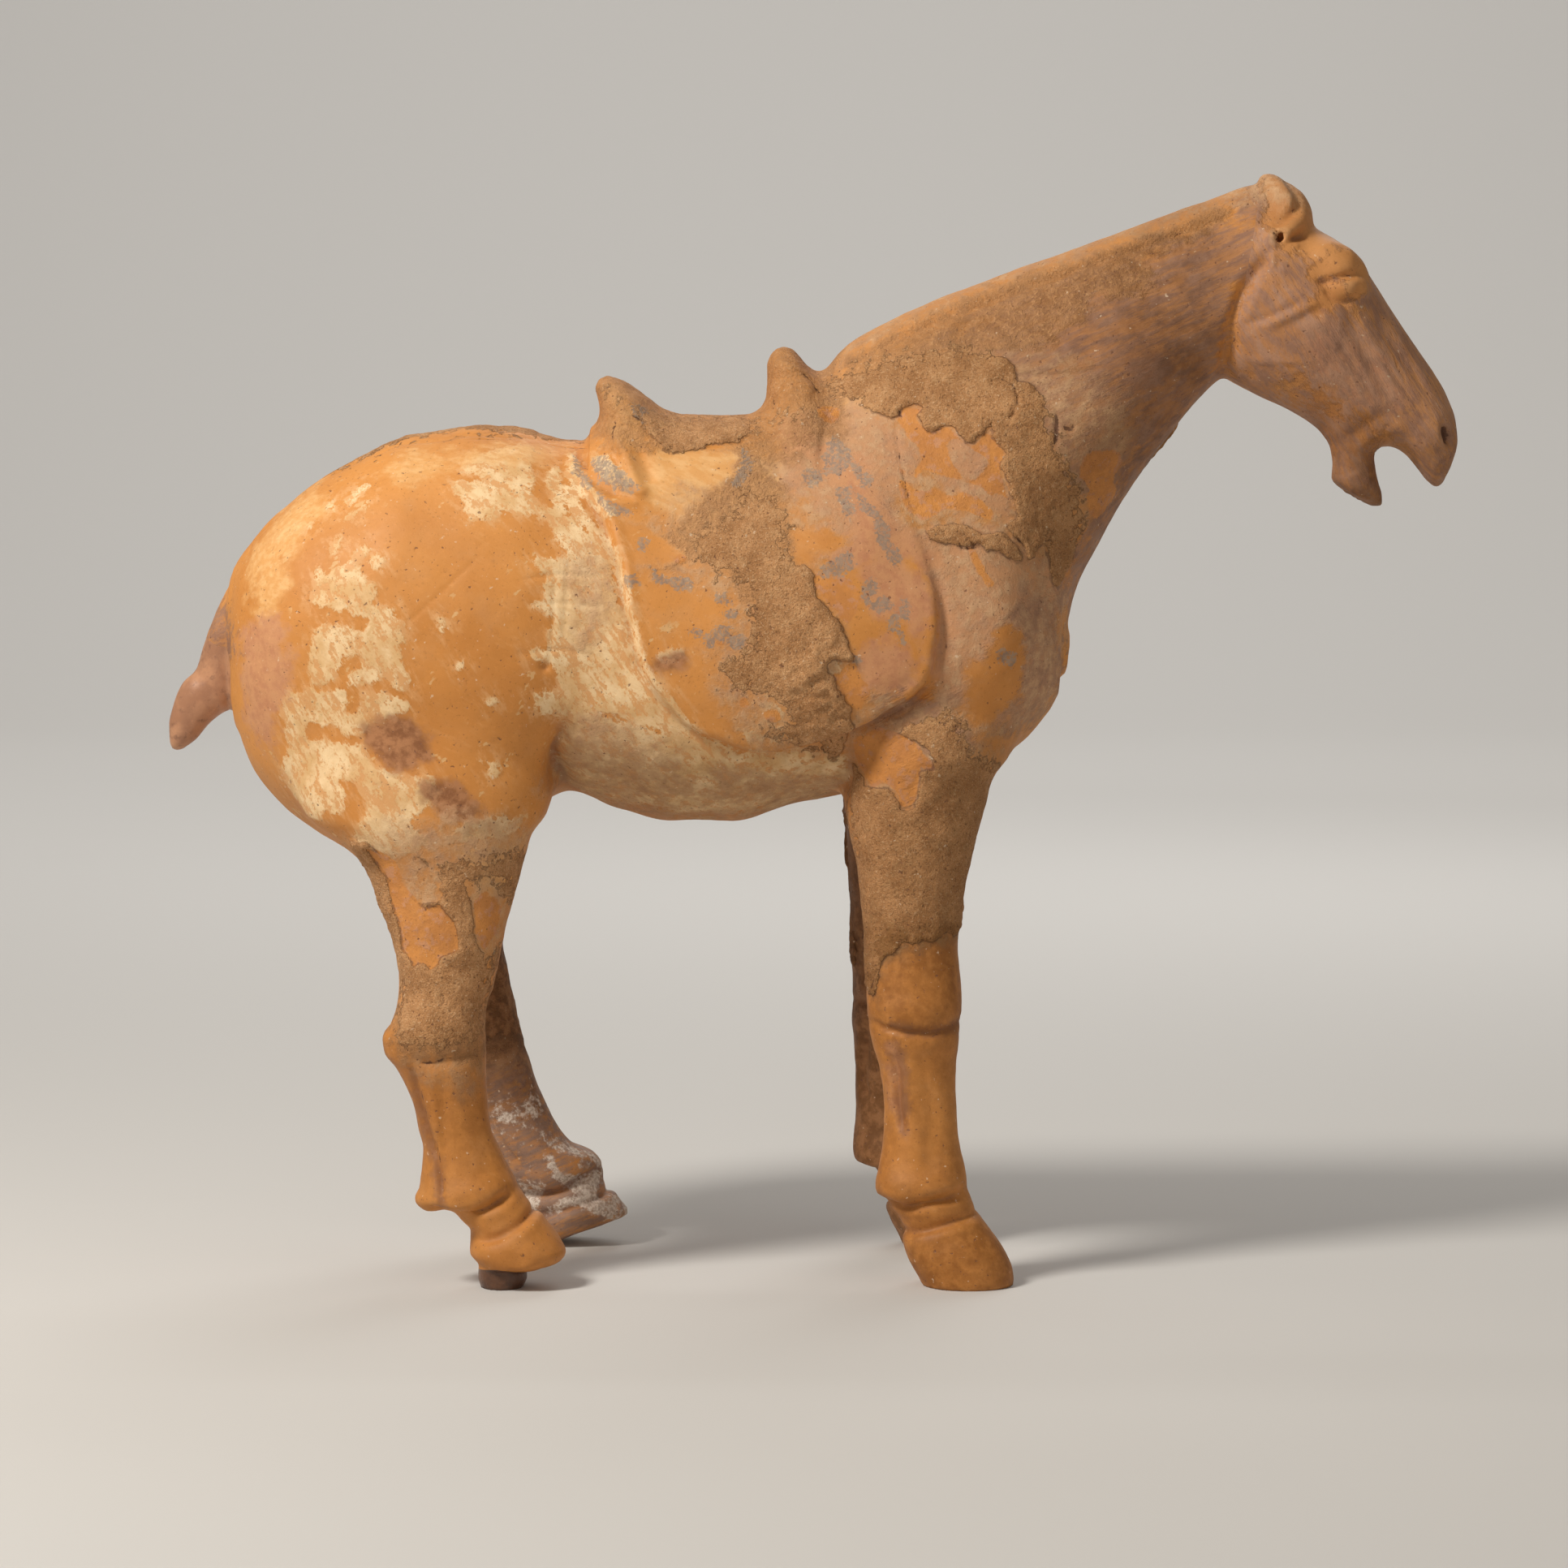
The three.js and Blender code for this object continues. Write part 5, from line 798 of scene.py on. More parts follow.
    ('grey', 0.5, [(-22.6, 173.8), (-19.4, 175.3), (-17.9, 172.9), (-20.2, 171.0), (-22.6, 172.3)]),
    ('grey', 0.4, [(-32.9, 176.3), (-30.1, 176.3), (-29.0, 174.6), (-31.6, 174.0)]),
    ('grey', 0.5, [(3.6, 225.4), (7.1, 226.3), (7.9, 223.9), (5.8, 222.2), (4.9, 217.9), (3.4, 216.0), (2.8, 220.1), (3.6, 223.1)]),
    ('grey', 0.5, [(-2.6, 216.9), (0.6, 217.7), (2.3, 215.4), (-0.5, 213.4), (-2.4, 214.7)]),
    ('grey', 0.6, [(6.4, 213.9), (9.4, 213.0), (9.9, 209.3), (10.5, 205.9), (8.2, 204.8), (7.3, 208.3), (6.2, 211.1)]),
    ('grey', 0.6, [(10.3, 219.2), (13.6, 218.1), (15.3, 214.7), (13.6, 213.4), (11.2, 215.6)]),
    ('grey', 0.6, [(11.2, 211.7), (13.5, 210.6), (15.9, 208.3), (18.7, 205.0), (19.6, 201.6), (17.8, 201.6), (15.5, 204.8), (12.7, 207.4)]),
    ('grey', 0.6, [(16.5, 202.9), (18.9, 202.1), (20.2, 198.6), (22.3, 197.6), (23.4, 195.4), (21.9, 192.4), (20.0, 194.1), (18.2, 196.7), (17.0, 199.7)]),
    ('grey', 0.6, [(1.9, 192.2), (4.9, 194.3), (8.1, 196.1), (10.5, 195.6), (10.9, 192.0), (8.1, 190.9), (4.3, 190.2), (2.3, 190.2)]),
    ('grey', 0.6, [(13.3, 187.9), (15.6, 189.2), (16.9, 186.9), (15.2, 184.5), (13.9, 182.4), (12.9, 184.5)]),
    ('grey', 0.5, [(15.6, 183.6), (18.9, 184.9), (20.6, 182.6), (19.3, 180.9), (16.7, 180.9), (14.8, 181.9)]),
    ('grey', 0.4, [(20.2, 178.9), (22.1, 180.0), (22.7, 177.2), (21.0, 175.3), (19.5, 177.2)]),
    ('grey', 0.4, [(23.4, 183.9), (25.3, 182.8), (25.1, 178.1), (23.4, 179.1)]),
    ('grey', 0.3, [(22.5, 176.1), (23.8, 175.7), (23.8, 172.7), (22.5, 173.1)]),
    ('grey', 0.3, [(47.3, 170.3), (50.1, 170.3), (52.4, 168.2), (51.4, 166.2), (49.0, 167.3)]),
    ('grey', 0.2, [(9.4, 168.2), (11.4, 169.2), (12.7, 168.2), (10.7, 166.9)]),
    ('grey', 0.4, [(-49.1, 235.9), (-45.0, 234.4), (-41.3, 231.1), (-38.9, 228.7), (-41.8, 227.8), (-45.0, 230.2), (-48.3, 232.8)]),
    ('grey', 0.4, [(-18.9, 223.5), (-17.0, 221.2), (-16.3, 218.0), (-19.4, 213.5), (-21.5, 214.1), (-20.2, 218.0), (-18.9, 220.5)]),
    ('bare', 0.4, [(22.3, 231.9), (23.8, 234.5), (26.6, 234.9), (29.4, 234.1), (27.7, 231.9), (29.9, 229.1), (32.0, 228.2), (34.6, 229.5), (36.8, 229.3), (38.9, 226.5), (41.8, 224.8), (43.9, 225.4), (45.4, 227.6), (47.6, 227.2), (49.8, 224.4), (51.1, 222.2), (49.8, 219.0), (50.4, 215.7), (51.5, 211.4), (52.6, 208.2), (50.7, 208.8), (48.3, 210.3), (46.1, 211.8), (45.0, 213.6), (42.9, 214.0), (40.7, 214.9), (41.8, 216.8), (43.9, 217.9), (43.3, 219.6), (40.7, 219.0), (38.5, 218.3), (39.6, 215.7), (37.5, 215.3), (35.3, 215.7), (32.0, 217.2), (29.9, 217.9), (27.3, 215.7), (25.1, 215.7), (23.0, 217.9), (23.8, 220.0), (27.3, 219.0), (28.8, 221.1), (27.7, 224.8), (25.5, 226.5), (24.4, 228.7)]),
    ('bare', 0.4, [(22.9, 215.3), (26.5, 213.6), (29.3, 211.9), (31.9, 213.6), (34.1, 212.5), (36.7, 211.0), (39.5, 212.5), (42.7, 211.4), (45.3, 209.7), (47.5, 208.2), (47.5, 205.0), (44.9, 205.0), (41.7, 206.7), (38.4, 207.1), (35.2, 207.6), (31.9, 206.1), (29.4, 205.0), (27.2, 206.1), (25.0, 207.6), (23.3, 211.0)]),
    ('bare', 0.4, [(10.7, 145.3), (13.5, 147.5), (17.8, 149.7), (21.1, 148.8), (23.6, 148.1), (26.4, 146.6), (29.7, 142.8), (31.8, 139.5), (31.4, 138.4), (28.6, 139.5), (28.0, 136.3), (27.1, 130.9), (25.4, 129.2), (23.2, 129.2), (22.2, 133.0), (18.9, 135.2), (15.7, 134.1), (12.9, 138.4), (10.7, 141.7)]),
    ('bare', 0.4, [(-118.5, 118.6), (-114.8, 117.8), (-111.2, 115.2), (-109.4, 113.0), (-108.4, 108.7), (-106.2, 105.9), (-102.6, 102.6), (-99.1, 103.7), (-96.1, 100.0), (-94.0, 96.5), (-93.8, 91.3), (-96.2, 89.6), (-98.3, 88.7), (-99.4, 86.3), (-102.0, 85.2), (-103.5, 87.0), (-106.3, 85.9), (-107.8, 88.5), (-109.6, 90.0), (-110.2, 94.4), (-110.8, 98.7), (-111.7, 101.5), (-112.7, 105.9), (-113.4, 108.7), (-115.5, 113.0), (-118.1, 116.7)]),
    ('bare', 0.8, [(-89.9, 103.9), (-86.7, 107.1), (-83.5, 101.7), (-84.6, 95.2), (-87.8, 91.3), (-90.0, 97.4)]),
    ('bare', 0.6, [(70.9, 218.9), (73.0, 222.2), (76.7, 223.3), (81.1, 223.3), (83.3, 220.0), (81.1, 215.7), (81.8, 211.3), (79.6, 208.1), (76.8, 204.8), (74.6, 205.9), (73.5, 210.3), (74.0, 212.4), (71.8, 215.7)]),
    ('bare', 0.9, [(-0.5, 189.0), (2.8, 191.2), (8.1, 189.7), (11.3, 186.9), (12.4, 182.6), (9.2, 178.3), (6.0, 180.4), (3.4, 183.6), (1.3, 185.8)]),
    ('bare', 0.7, [(4.9, 164.3), (7.1, 164.7), (9.2, 167.5), (12.4, 165.4), (14.6, 160.0), (12.5, 155.7), (9.2, 156.5), (7.1, 160.0)]),
    ('bare', 0.4, [(40.7, 197.7), (42.6, 196.7), (44.3, 193.4), (46.1, 190.2), (47.6, 187.4), (45.7, 187.2), (43.5, 190.4), (42.0, 193.2)]),
    ('bare', 0.3, [(-37.0, 194.4), (-34.8, 195.5), (-33.3, 193.9), (-35.7, 192.9)]),
    ('bare', 0.3, [(-26.0, 173.3), (-24.1, 174.2), (-23.5, 172.5), (-25.2, 171.6)]),
    ('bare', 0.4, [(-13.8, 154.6), (-10.1, 155.5), (-8.4, 153.5), (-11.2, 152.2)]),
    ('bare', 0.3, [(-19.6, 157.8), (-17.7, 158.5), (-17.0, 156.5), (-19.0, 155.9)]),
    ('bare', 0.5, [(0.9, 233.9), (3.9, 235.2), (7.0, 233.9), (6.5, 231.3), (3.1, 230.4)]),
    ('clean', 1.0, [(-49.4, 187.5), (-43.4, 188.4), (-37.0, 186.9), (-30.5, 185.8), (-26.2, 186.2), (-20.9, 183.6), (-20.9, 178.3), (-26.2, 177.6), (-32.7, 177.2), (-33.1, 174.0), (-28.4, 170.7), (-26.3, 164.3), (-26.3, 157.8), (-22.0, 153.5), (-20.9, 149.2), (-15.5, 146.6), (-9.1, 146.0), (-9.1, 143.2), (-17.7, 144.5), (-26.3, 147.3), (-32.7, 150.5), (-37.0, 154.4), (-40.9, 159.1), (-44.3, 164.7), (-46.5, 170.7), (-49.0, 177.2), (-49.9, 183.6)]),
    ('clean', 1.0, [(47.8, 177.3), (51.0, 177.3), (53.6, 174.1), (55.8, 170.8), (56.4, 166.5), (55.8, 162.2), (53.2, 163.3), (52.1, 166.5), (48.9, 165.5), (47.2, 162.2), (48.9, 159.0), (51.1, 153.6), (47.9, 149.3), (42.5, 149.3), (40.3, 153.6), (39.5, 160.1), (39.2, 164.4), (40.3, 168.3), (42.5, 169.8), (43.5, 168.7), (46.7, 169.8), (50.0, 170.8), (48.9, 173.0), (47.2, 175.1)]),
    ('clean', 1.0, [(-51.1, 225.4), (-46.7, 224.8), (-43.5, 224.4), (-39.2, 223.9), (-32.7, 224.4), (-24.1, 224.8), (-19.4, 223.3), (-18.8, 220.1), (-20.9, 215.8), (-23.1, 213.6), (-26.3, 212.1), (-30.6, 212.1), (-32.8, 212.8), (-37.1, 212.8), (-40.3, 214.7), (-43.5, 212.8), (-46.1, 213.6), (-47.8, 216.8), (-50.0, 221.1)]),
    ('clean', 0.8, [(-65.0, 222.2), (-59.6, 221.8), (-57.5, 216.9), (-54.7, 213.6), (-49.9, 211.1), (-45.6, 209.8), (-43.5, 206.8), (-45.6, 204.6), (-52.1, 204.6), (-57.5, 209.8), (-61.8, 215.8), (-63.9, 219.0)]),
    ('clean', 1.2, [(-57.3, 205.1), (-52.0, 204.0), (-43.4, 203.0), (-37.0, 198.7), (-32.7, 194.4), (-37.0, 191.8), (-43.4, 191.4), (-49.4, 191.8), (-53.1, 194.4), (-55.2, 199.7)]),
    ('clean', 1.0, [(-4.8, 203.0), (1.7, 203.0), (10.3, 200.8), (8.1, 196.5), (1.7, 194.4), (-1.5, 192.2), (-5.8, 194.4), (-6.9, 198.7)]),
    ('clean', 1.0, [(21.0, 194.4), (27.4, 194.4), (31.7, 187.9), (33.5, 179.3), (32.4, 170.7), (29.6, 166.0), (27.1, 170.7), (27.9, 179.3), (24.9, 187.9)]),
    ('crust', 1.2, [(-57.2, 225.4), (-55.6, 235.2), (-52.4, 236.2), (-39.8, 224.1), (-32.9, 223.5), (-22.1, 225.4), (-11.2, 228.7), (1.8, 230.8), (1.8, 235.2), (-9.1, 235.2), (-13.4, 234.1), (-30.7, 234.1), (-43.7, 235.2), (-56.7, 241.6), (-58.2, 239.5), (-58.2, 230.8)]),
    ('soil', 3.0, [(-56.0, 240.0), (-36.9, 224.0), (-13.0, 229.0), (-12.0, 252.0), (8.0, 238.0), (4.5, 226.0), (-12.0, 220.0), (-32.0, 219.5), (-50.0, 224.0)]),
    ('pale', 3.0, [(-50.2, 215.7), (-43.7, 222.2), (-30.7, 224.8), (-15.6, 223.9), (-8.6, 220.0), (-7.8, 211.4), (-17.7, 202.8), (-28.6, 196.3), (-39.4, 204.9), (-45.9, 210.3)]),
    ('pale', 3.5, [(-115.1, 217.9), (-104.2, 223.1), (-78.3, 225.4), (-65.3, 224.4), (-67.5, 221.1), (-95.6, 219.0), (-108.6, 213.6)]),
    ('pale', 3.0, [(-0.5, 235.1), (10.3, 241.5), (21.1, 241.5), (18.9, 230.8), (10.3, 222.2), (1.7, 222.2)]),
    ('pale', 4.0, [(-150.6, 192.3), (-144.0, 205.1), (-133.3, 213.7), (-131.2, 205.1), (-139.8, 192.3), (-144.2, 179.4), (-149.6, 179.4)]),
    ('pale', 2.5, [(-95.8, 118.4), (-78.4, 120.6), (-78.5, 114.0), (-82.8, 101.0), (-87.2, 87.9), (-89.3, 101.0), (-91.5, 111.9)]),
    ('mauve', 6.0, [(12.6, 244.9), (49.4, 260.0), (77.5, 270.8), (107.7, 283.7), (120.7, 292.3), (120.7, 278.3), (113.9, 267.6), (109.7, 246.0), (99.3, 233.0), (86.4, 222.2), (82.0, 228.7), (73.4, 224.4), (62.5, 226.5), (38.6, 250.3)]),
    ('mauve', 4.0, [(116.7, 272.3), (121.9, 278.8), (130.6, 272.3), (135.1, 263.6), (122.0, 257.1), (115.4, 261.4)]),
    ('soil', 3.0, [(8.4, 244.5), (14.8, 251.9), (28.1, 258.4), (43.8, 264.5), (63.1, 271.7), (82.7, 278.4), (95.8, 282.8), (108.9, 287.1), (111.1, 284.1), (95.8, 278.4), (82.7, 273.2), (63.1, 265.8), (43.9, 257.5), (28.1, 248.4), (17.2, 239.7)]),
    ('soil', 6.0, [(8.2, 245.9), (42.7, 263.1), (70.8, 273.9), (85.9, 278.2), (90.2, 271.7), (73.0, 261.0), (51.4, 250.2), (25.5, 243.8)]),
    ('dust', 5.0, [(-67.1, 149.3), (-52.0, 151.5), (-30.6, 138.6), (-9.1, 136.4), (7.3, 138.6), (6.0, 131.0), (-15.5, 126.7), (-39.2, 127.4), (-60.7, 132.1)]),
    ('dust', 5.0, [(-123.1, 119.2), (-95.1, 127.8), (-77.9, 125.6), (-81.2, 101.9), (-85.8, 80.2), (-86.7, 60.7), (-95.4, 56.4), (-108.3, 60.7), (-113.6, 88.9)]),
    ('dust', 5.0, [(8.1, 153.5), (21.1, 155.7), (40.4, 153.5), (49.1, 136.3), (42.7, 106.0), (40.6, 84.4), (12.5, 77.9), (9.5, 114.7)]),
    ('dust', 5.0, [(42.8, 174.8), (66.5, 187.7), (67.0, 170.4), (62.3, 157.4), (49.4, 148.8), (38.5, 148.8)]),
    ('soil', 5.0, [(-110.4, 75.9), (-86.7, 78.1), (-86.7, 62.9), (-95.4, 60.7), (-108.3, 62.9), (-113.1, 65.1)]),
    ('pink', 5.0, [(-9.1, 222.2), (8.1, 235.1), (23.2, 228.6), (25.3, 205.0), (42.4, 202.8), (53.2, 200.7), (61.7, 183.5), (63.8, 164.2), (55.2, 153.5), (42.3, 155.6), (33.8, 157.8), (27.4, 192.1), (12.4, 194.3), (-2.7, 205.0)]),
    ('pink', 4.0, [(-8.0, 230.8), (8.1, 231.9), (15.9, 222.2), (14.6, 209.3), (-0.5, 208.9), (-6.9, 217.9)]),
    ('pink', 4.0, [(29.6, 205.1), (38.2, 200.8), (41.3, 183.6), (40.5, 162.1), (34.0, 155.6), (35.3, 175.0), (31.8, 192.2)]),
    ('pink', 3.0, [(12.4, 193.5), (25.5, 193.5), (26.6, 181.5), (16.7, 179.3)]),
    ('pink', 2.0, [(38.3, 213.6), (50.3, 212.3), (52.5, 205.0), (46.9, 205.0), (40.4, 206.8)]),
    ('pink', 2.0, [(32.3, 226.5), (40.5, 223.1), (41.8, 215.8), (34.4, 219.2)]),
    ('pink', 3.0, [(58.1, 194.1), (66.7, 196.3), (68.1, 183.3), (62.5, 178.9), (56.4, 185.4)]),
    ('pink', 3.0, [(130.7, 261.4), (152.6, 250.5), (161.5, 235.3), (152.8, 230.9), (137.4, 241.8)]),
    ('pink', 2.0, [(19.0, 65.1), (23.3, 62.9), (24.6, 45.5), (22.0, 43.3)]),
    ('stain_and_recess_shade', 2.4, [(84.5, 248.2), (93.2, 250.0), (96.7, 243.9), (91.1, 239.6), (85.4, 241.7)]),
    ('mauve', 7.0, [(49.6, 256.9), (77.8, 268.8), (108.1, 282.8), (117.8, 286.7), (120.2, 278.5), (114.2, 267.7), (110.0, 246.0), (99.7, 233.0), (86.7, 217.8), (75.8, 211.3), (67.1, 222.2), (56.6, 239.5)]),
    ('mauve', 5.0, [(121.1, 269.0), (135.1, 260.3), (150.4, 261.4), (163.6, 244.0), (172.5, 228.7), (168.7, 214.3), (152.8, 230.9), (141.9, 230.9), (130.8, 241.8), (113.3, 248.3), (114.1, 259.2)]),
    ('mauve', 6.0, [(48.2, 181.2), (65.5, 183.0), (66.6, 163.9), (58.5, 148.8), (50.6, 157.4)]),
    ('mauve', 5.0, [(18.9, 153.6), (31.7, 157.9), (40.4, 149.3), (38.2, 136.4), (31.8, 127.8), (25.3, 136.4)]),
]
CRISP = [
    [(-40.4, 226.3), (-36.1, 224.4), (-32.9, 223.3), (-29.6, 223.7), (-27.5, 224.6), (-22.0, 225.2)],
    [(0.2, 187.9), (0.6, 184.7), (2.8, 182.6), (4.9, 180.4), (7.1, 177.2), (8.6, 174.6), (9.9, 170.7), (10.3, 168.2), (7.1, 167.5), (4.3, 168.2), (3.4, 166.4), (4.9, 163.9), (6.0, 161.1), (7.1, 159.6), (9.2, 157.8), (9.9, 154.6), (10.3, 151.4), (9.9, 148.1)],
    [(21.2, 231.9), (23.4, 234.1), (25.6, 235.2), (29.5, 234.5), (27.7, 232.6), (29.3, 229.8), (31.0, 228.0), (33.2, 228.7), (35.3, 229.8), (37.5, 229.1), (39.0, 227.0), (40.7, 225.0), (42.9, 224.8), (44.0, 226.5), (46.2, 228.7), (47.7, 230.8), (47.7, 227.4), (49.8, 224.8), (51.2, 222.2), (50.1, 219.6), (51.0, 216.8), (52.3, 212.5), (53.8, 208.1), (53.8, 204.9)],
    [(50.5, 243.4), (54.2, 239.5), (54.4, 236.3), (52.1, 231.9)],
    [(51.3, 203.9), (55.6, 198.6), (58.9, 195.3), (62.5, 192.1), (63.9, 186.7), (67.5, 191.0)],
    [(15.2, 78.5), (16.9, 80.7), (19.1, 88.7), (22.3, 89.4), (23.8, 92.6), (26.6, 91.6), (29.9, 93.7), (32.0, 92.6), (35.3, 94.8), (39.6, 94.8), (42.9, 95.7)],
    [(10.7, 141.7), (12.9, 138.4), (15.7, 134.1), (18.9, 135.2), (22.2, 133.0), (23.2, 129.2), (25.4, 129.2), (27.1, 130.9), (28.0, 136.3), (28.6, 139.5), (31.4, 138.4), (29.7, 142.8), (26.4, 146.6), (23.6, 148.1)],
    [(-118.1, 116.7), (-115.5, 113.0), (-112.7, 105.9), (-110.8, 98.7), (-110.2, 94.4), (-107.8, 88.5), (-103.5, 87.0), (-102.0, 85.2), (-99.4, 86.3), (-96.2, 89.6), (-93.8, 91.3), (-94.0, 96.5), (-99.1, 103.7), (-102.6, 102.6), (-106.2, 105.9), (-109.4, 113.0)],
    [(33.0, 199.0), (40.5, 197.5), (43.8, 198.1), (49.2, 196.4)],
]
CRACKS = [
    # these three are painted shade in the hind tendon groove and the hock crease; the lines after them are cracks
    [(-106.4, 57.6), (-104.7, 52.4), (-103.2, 45.2)],
    [(-100.6, 41.0), (-99.6, 33.8), (-98.7, 24.4)],
    [(-105.3, 61.1), (-102.3, 60.7), (-98.4, 61.7), (-93.6, 62.8)],
    [(30.8, 203.8), (33.4, 202.6), (35.1, 200.0), (38.1, 199.1), (39.4, 197.0), (43.2, 197.4), (46.7, 196.1)],
    [(22.8, 233.1), (22.4, 226.5), (23.5, 218.6), (24.8, 212.8), (26.5, 206.4)],
    [(-133.6, 215.6), (-129.7, 217.1), (-125.3, 219.1), (-120.9, 220.9), (-116.5, 223.0), (-114.3, 223.9)],
    [(-153.9, 193.7), (-151.7, 197.6), (-149.0, 201.4), (-146.2, 204.2)],
    [(-138.0, 213.0), (-135.1, 214.1), (-133.6, 215.6)],
    [(-96.9, 226.3), (-83.7, 226.5), (-73.6, 225.9), (-68.3, 224.4), (-57.8, 224.1)],
    [(-53.7, 232.7), (-52.8, 229.8), (-53.5, 225.4)],
    [(-51.1, 235.3), (-48.9, 233.1), (-46.3, 231.6), (-44.6, 230.5)],
    [(-11.3, 241.8), (-11.1, 237.5), (-10.4, 235.3)],
    [(-3.0, 244.0), (-0.3, 241.8), (0.8, 239.7), (3.0, 237.9)],
    [(3.6, 241.4), (5.6, 244.7), (5.1, 246.9)],
    [(48.9, 242.5), (51.5, 241.6), (54.1, 239.5), (54.1, 235.2), (52.6, 231.9)],
    [(22.9, 234.1), (23.8, 230.8), (22.9, 228.7)],
    [(51.9, 203.9), (53.5, 200.7), (56.7, 196.8)],
    [(63.3, 194.2), (64.4, 191.0), (66.1, 187.3)],
    [(64.6, 235.2), (65.1, 230.9), (64.7, 225.4), (63.8, 224.4)],
    [(66.8, 229.8), (68.6, 228.7), (69.9, 230.4)],
    [(39.0, 202.9), (39.9, 200.7), (42.7, 197.5), (47.0, 196.4)],
    [(60.4, 195.3), (59.5, 192.1), (61.0, 189.5)],
    [(-0.5, 148.1), (2.1, 144.9), (3.4, 141.9)],
    [(17.6, 86.1), (16.5, 82.9), (15.8, 79.2)],
    [(-99.9, 75.5), (-98.2, 77.2), (-98.8, 79.8)],
    [(40.3, 152.8), (38.1, 149.5), (36.0, 148.4)],
]
WRAP = ("tendon", "knee", "fetlock", "hock", "coronet", "mane", "croup", "forelock", "lip rim")


def leg_row(table, z):
    t = np.array(table, float)
    a, b = pchip(t[:, 0], t[:, 1], z), pchip(t[:, 0], t[:, 2], z)
    return (a + b) / 2, (b - a) / 2


far = BASE[:, 1] > 0
SIDE = np.where(far, 1.0, -1.0)
leg = 1 - step(104, 140, BASE[:, 2])
U = BASE[:, [0, 2]].copy()
for tl, tr, dz, m in ((FORE_L, FORE_R, 0.0, far & (BASE[:, 0] > -20)), (HIND_L, HIND_R, 5.0, far & (BASE[:, 0] <= -20))):
    z, k = BASE[m, 2], leg[m]
    cl, hl = leg_row(tl, z)
    cr, hr = leg_row(tr, z + dz)
    U[m, 0] += k * (cr + (BASE[m, 0] - cl) / hl * hr - BASE[m, 0])
    U[m, 1] += k * dz
U[far, 0] += 1.4 * noise(BASE[far], 34, 5)
U[far, 1] += 1.4 * noise(BASE[far], 34, 6)
UP = U.copy()
UP[far, 0] += 13 * noise(BASE[far], 46, 7, 2)
UP[far, 1] += 13 * noise(BASE[far], 46, 8, 2)
outward = NRM[:, 1] * SIDE
face = step(0.05, 0.45, outward + leg * (np.abs(NRM[:, 1]) - outward))


def near_box(P, L, r):
    L = np.asarray(L, float)
    return np.nonzero((P[:, 0] > L[:, 0].min() - r) & (P[:, 0] < L[:, 0].max() + r) & (P[:, 1] > L[:, 1].min() - r) & (P[:, 1] < L[:, 1].max() + r))[0]


wob = noise(BASE, 9, 11, 2)
disp = np.zeros(len(BASE))
for name, pts, wd, dep in LINES:
    L = smooth_line(pts, 3)
    m = near_box(U, L, 3 * wd + 2)
    d, s = seg_dist(U[m], L)
    d = np.abs(d + 0.25 * wd * wob[m])
    end = np.sqrt(np.clip(np.minimum(s, 1 - s) / 0.16, 0, 1))
    disp[m] += dep * np.exp(-((d / wd) ** 2)) * (0.2 + 0.8 * end) * (1.0 if any(k in name for k in WRAP) else face[m])
for name, bx, bz, rx, rz, turn, h in BUMPS:
    m = near_box(U, [(bx, bz)], 2.6 * max(rx, rz))
    a = math.radians(turn)
    dx, dz = U[m, 0] - bx, U[m, 1] - bz
    disp[m] += h * np.exp(-(((dx * math.cos(a) + dz * math.sin(a)) / rx) ** 2) - ((-dx * math.sin(a) + dz * math.cos(a)) / rz) ** 2) * (step(0.0, 0.2, outward[m]) if name == "nostril" else face[m])

# the saddle cloth stands up from the flank and thins towards the saddle
m = near_box(U, FLAP, 8)
sd = poly_in(U[m], smooth_line(FLAP, 3, True)) + 0.45 * wob[m]
low = (1 - step(203, 222, BASE[m, 2])) * face[m] * (1 - 0.8 * step(176, 198, BASE[m, 2]) * step(12, 24, BASE[m, 0]))
rise = step(-0.7, 1.1, sd)
disp[m] += low * (rise * (2.0 - 1.1 * step(3, 17, sd)) * (1 - 0.35 * step(14, 26, BASE[m, 0])) + 0.45 * np.exp(-(((sd - 1.9) / 1.5) ** 2)) - 0.6 * np.exp(-(((sd + 1.6) / 1.1) ** 2)))

# paint layers and crust as signed distances, positive inside
PAINT = {k: np.full(len(BASE), -8.0) for k in ("crust", "soil", "cream", "bare", "pink", "grey", "stain_and_recess_shade", "mauve", "pale", "dust", "clean", "rose", "chalk")}
rag = {}
for i, (kind, e, pts) in enumerate(PATCHES):
    size = round(max(3.0, 2.4 * e), 1)
    if size not in rag:
        rag[size] = noise(BASE, size, 21 + int(size), 4, 0.62)
    m = near_box(UP, pts, 9)
    sd = np.clip(poly_in(UP[m], smooth_line(pts, 2, True)), -8, 8) + e * rag[size][m]
    PAINT[kind][m] = np.maximum(PAINT[kind][m], sd)
big = noise(BASE, 30, 61, 4, 0.6)
mid = noise(BASE, 11, 62, 4, 0.6)
body = BASE[:, 2] > 100
# what the far side and the top carry where no outline reaches
PAINT["crust"] = np.maximum(PAINT["crust"], np.where(far & body, (big - 0.52) * 14, -8))
PAINT["cream"] = np.maximum(PAINT["cream"], np.where(far & body & (BASE[:, 0] < -20), (noise(BASE, 26, 63, 4, 0.6) - 0.5) * 12, -8))
saddle = np.minimum(np.minimum(BASE[:, 0] + 60, 8 - BASE[:, 0]), BASE[:, 2] - 225.5)
PAINT["soil"] = np.maximum(PAINT["soil"], np.clip(saddle, -8, 8) + 2.5 * mid)
clean, rose = PAINT.pop("clean"), PAINT.pop("rose")
for k in ("dust", "soil", "pink", "mauve"):
    PAINT[k] = np.minimum(PAINT[k], 1.5 - 2 * clean)
PAINT["pink"] = np.maximum(PAINT["pink"], rose + 1.0)
PAINT["seam"] = np.full(len(BASE), -8.0)
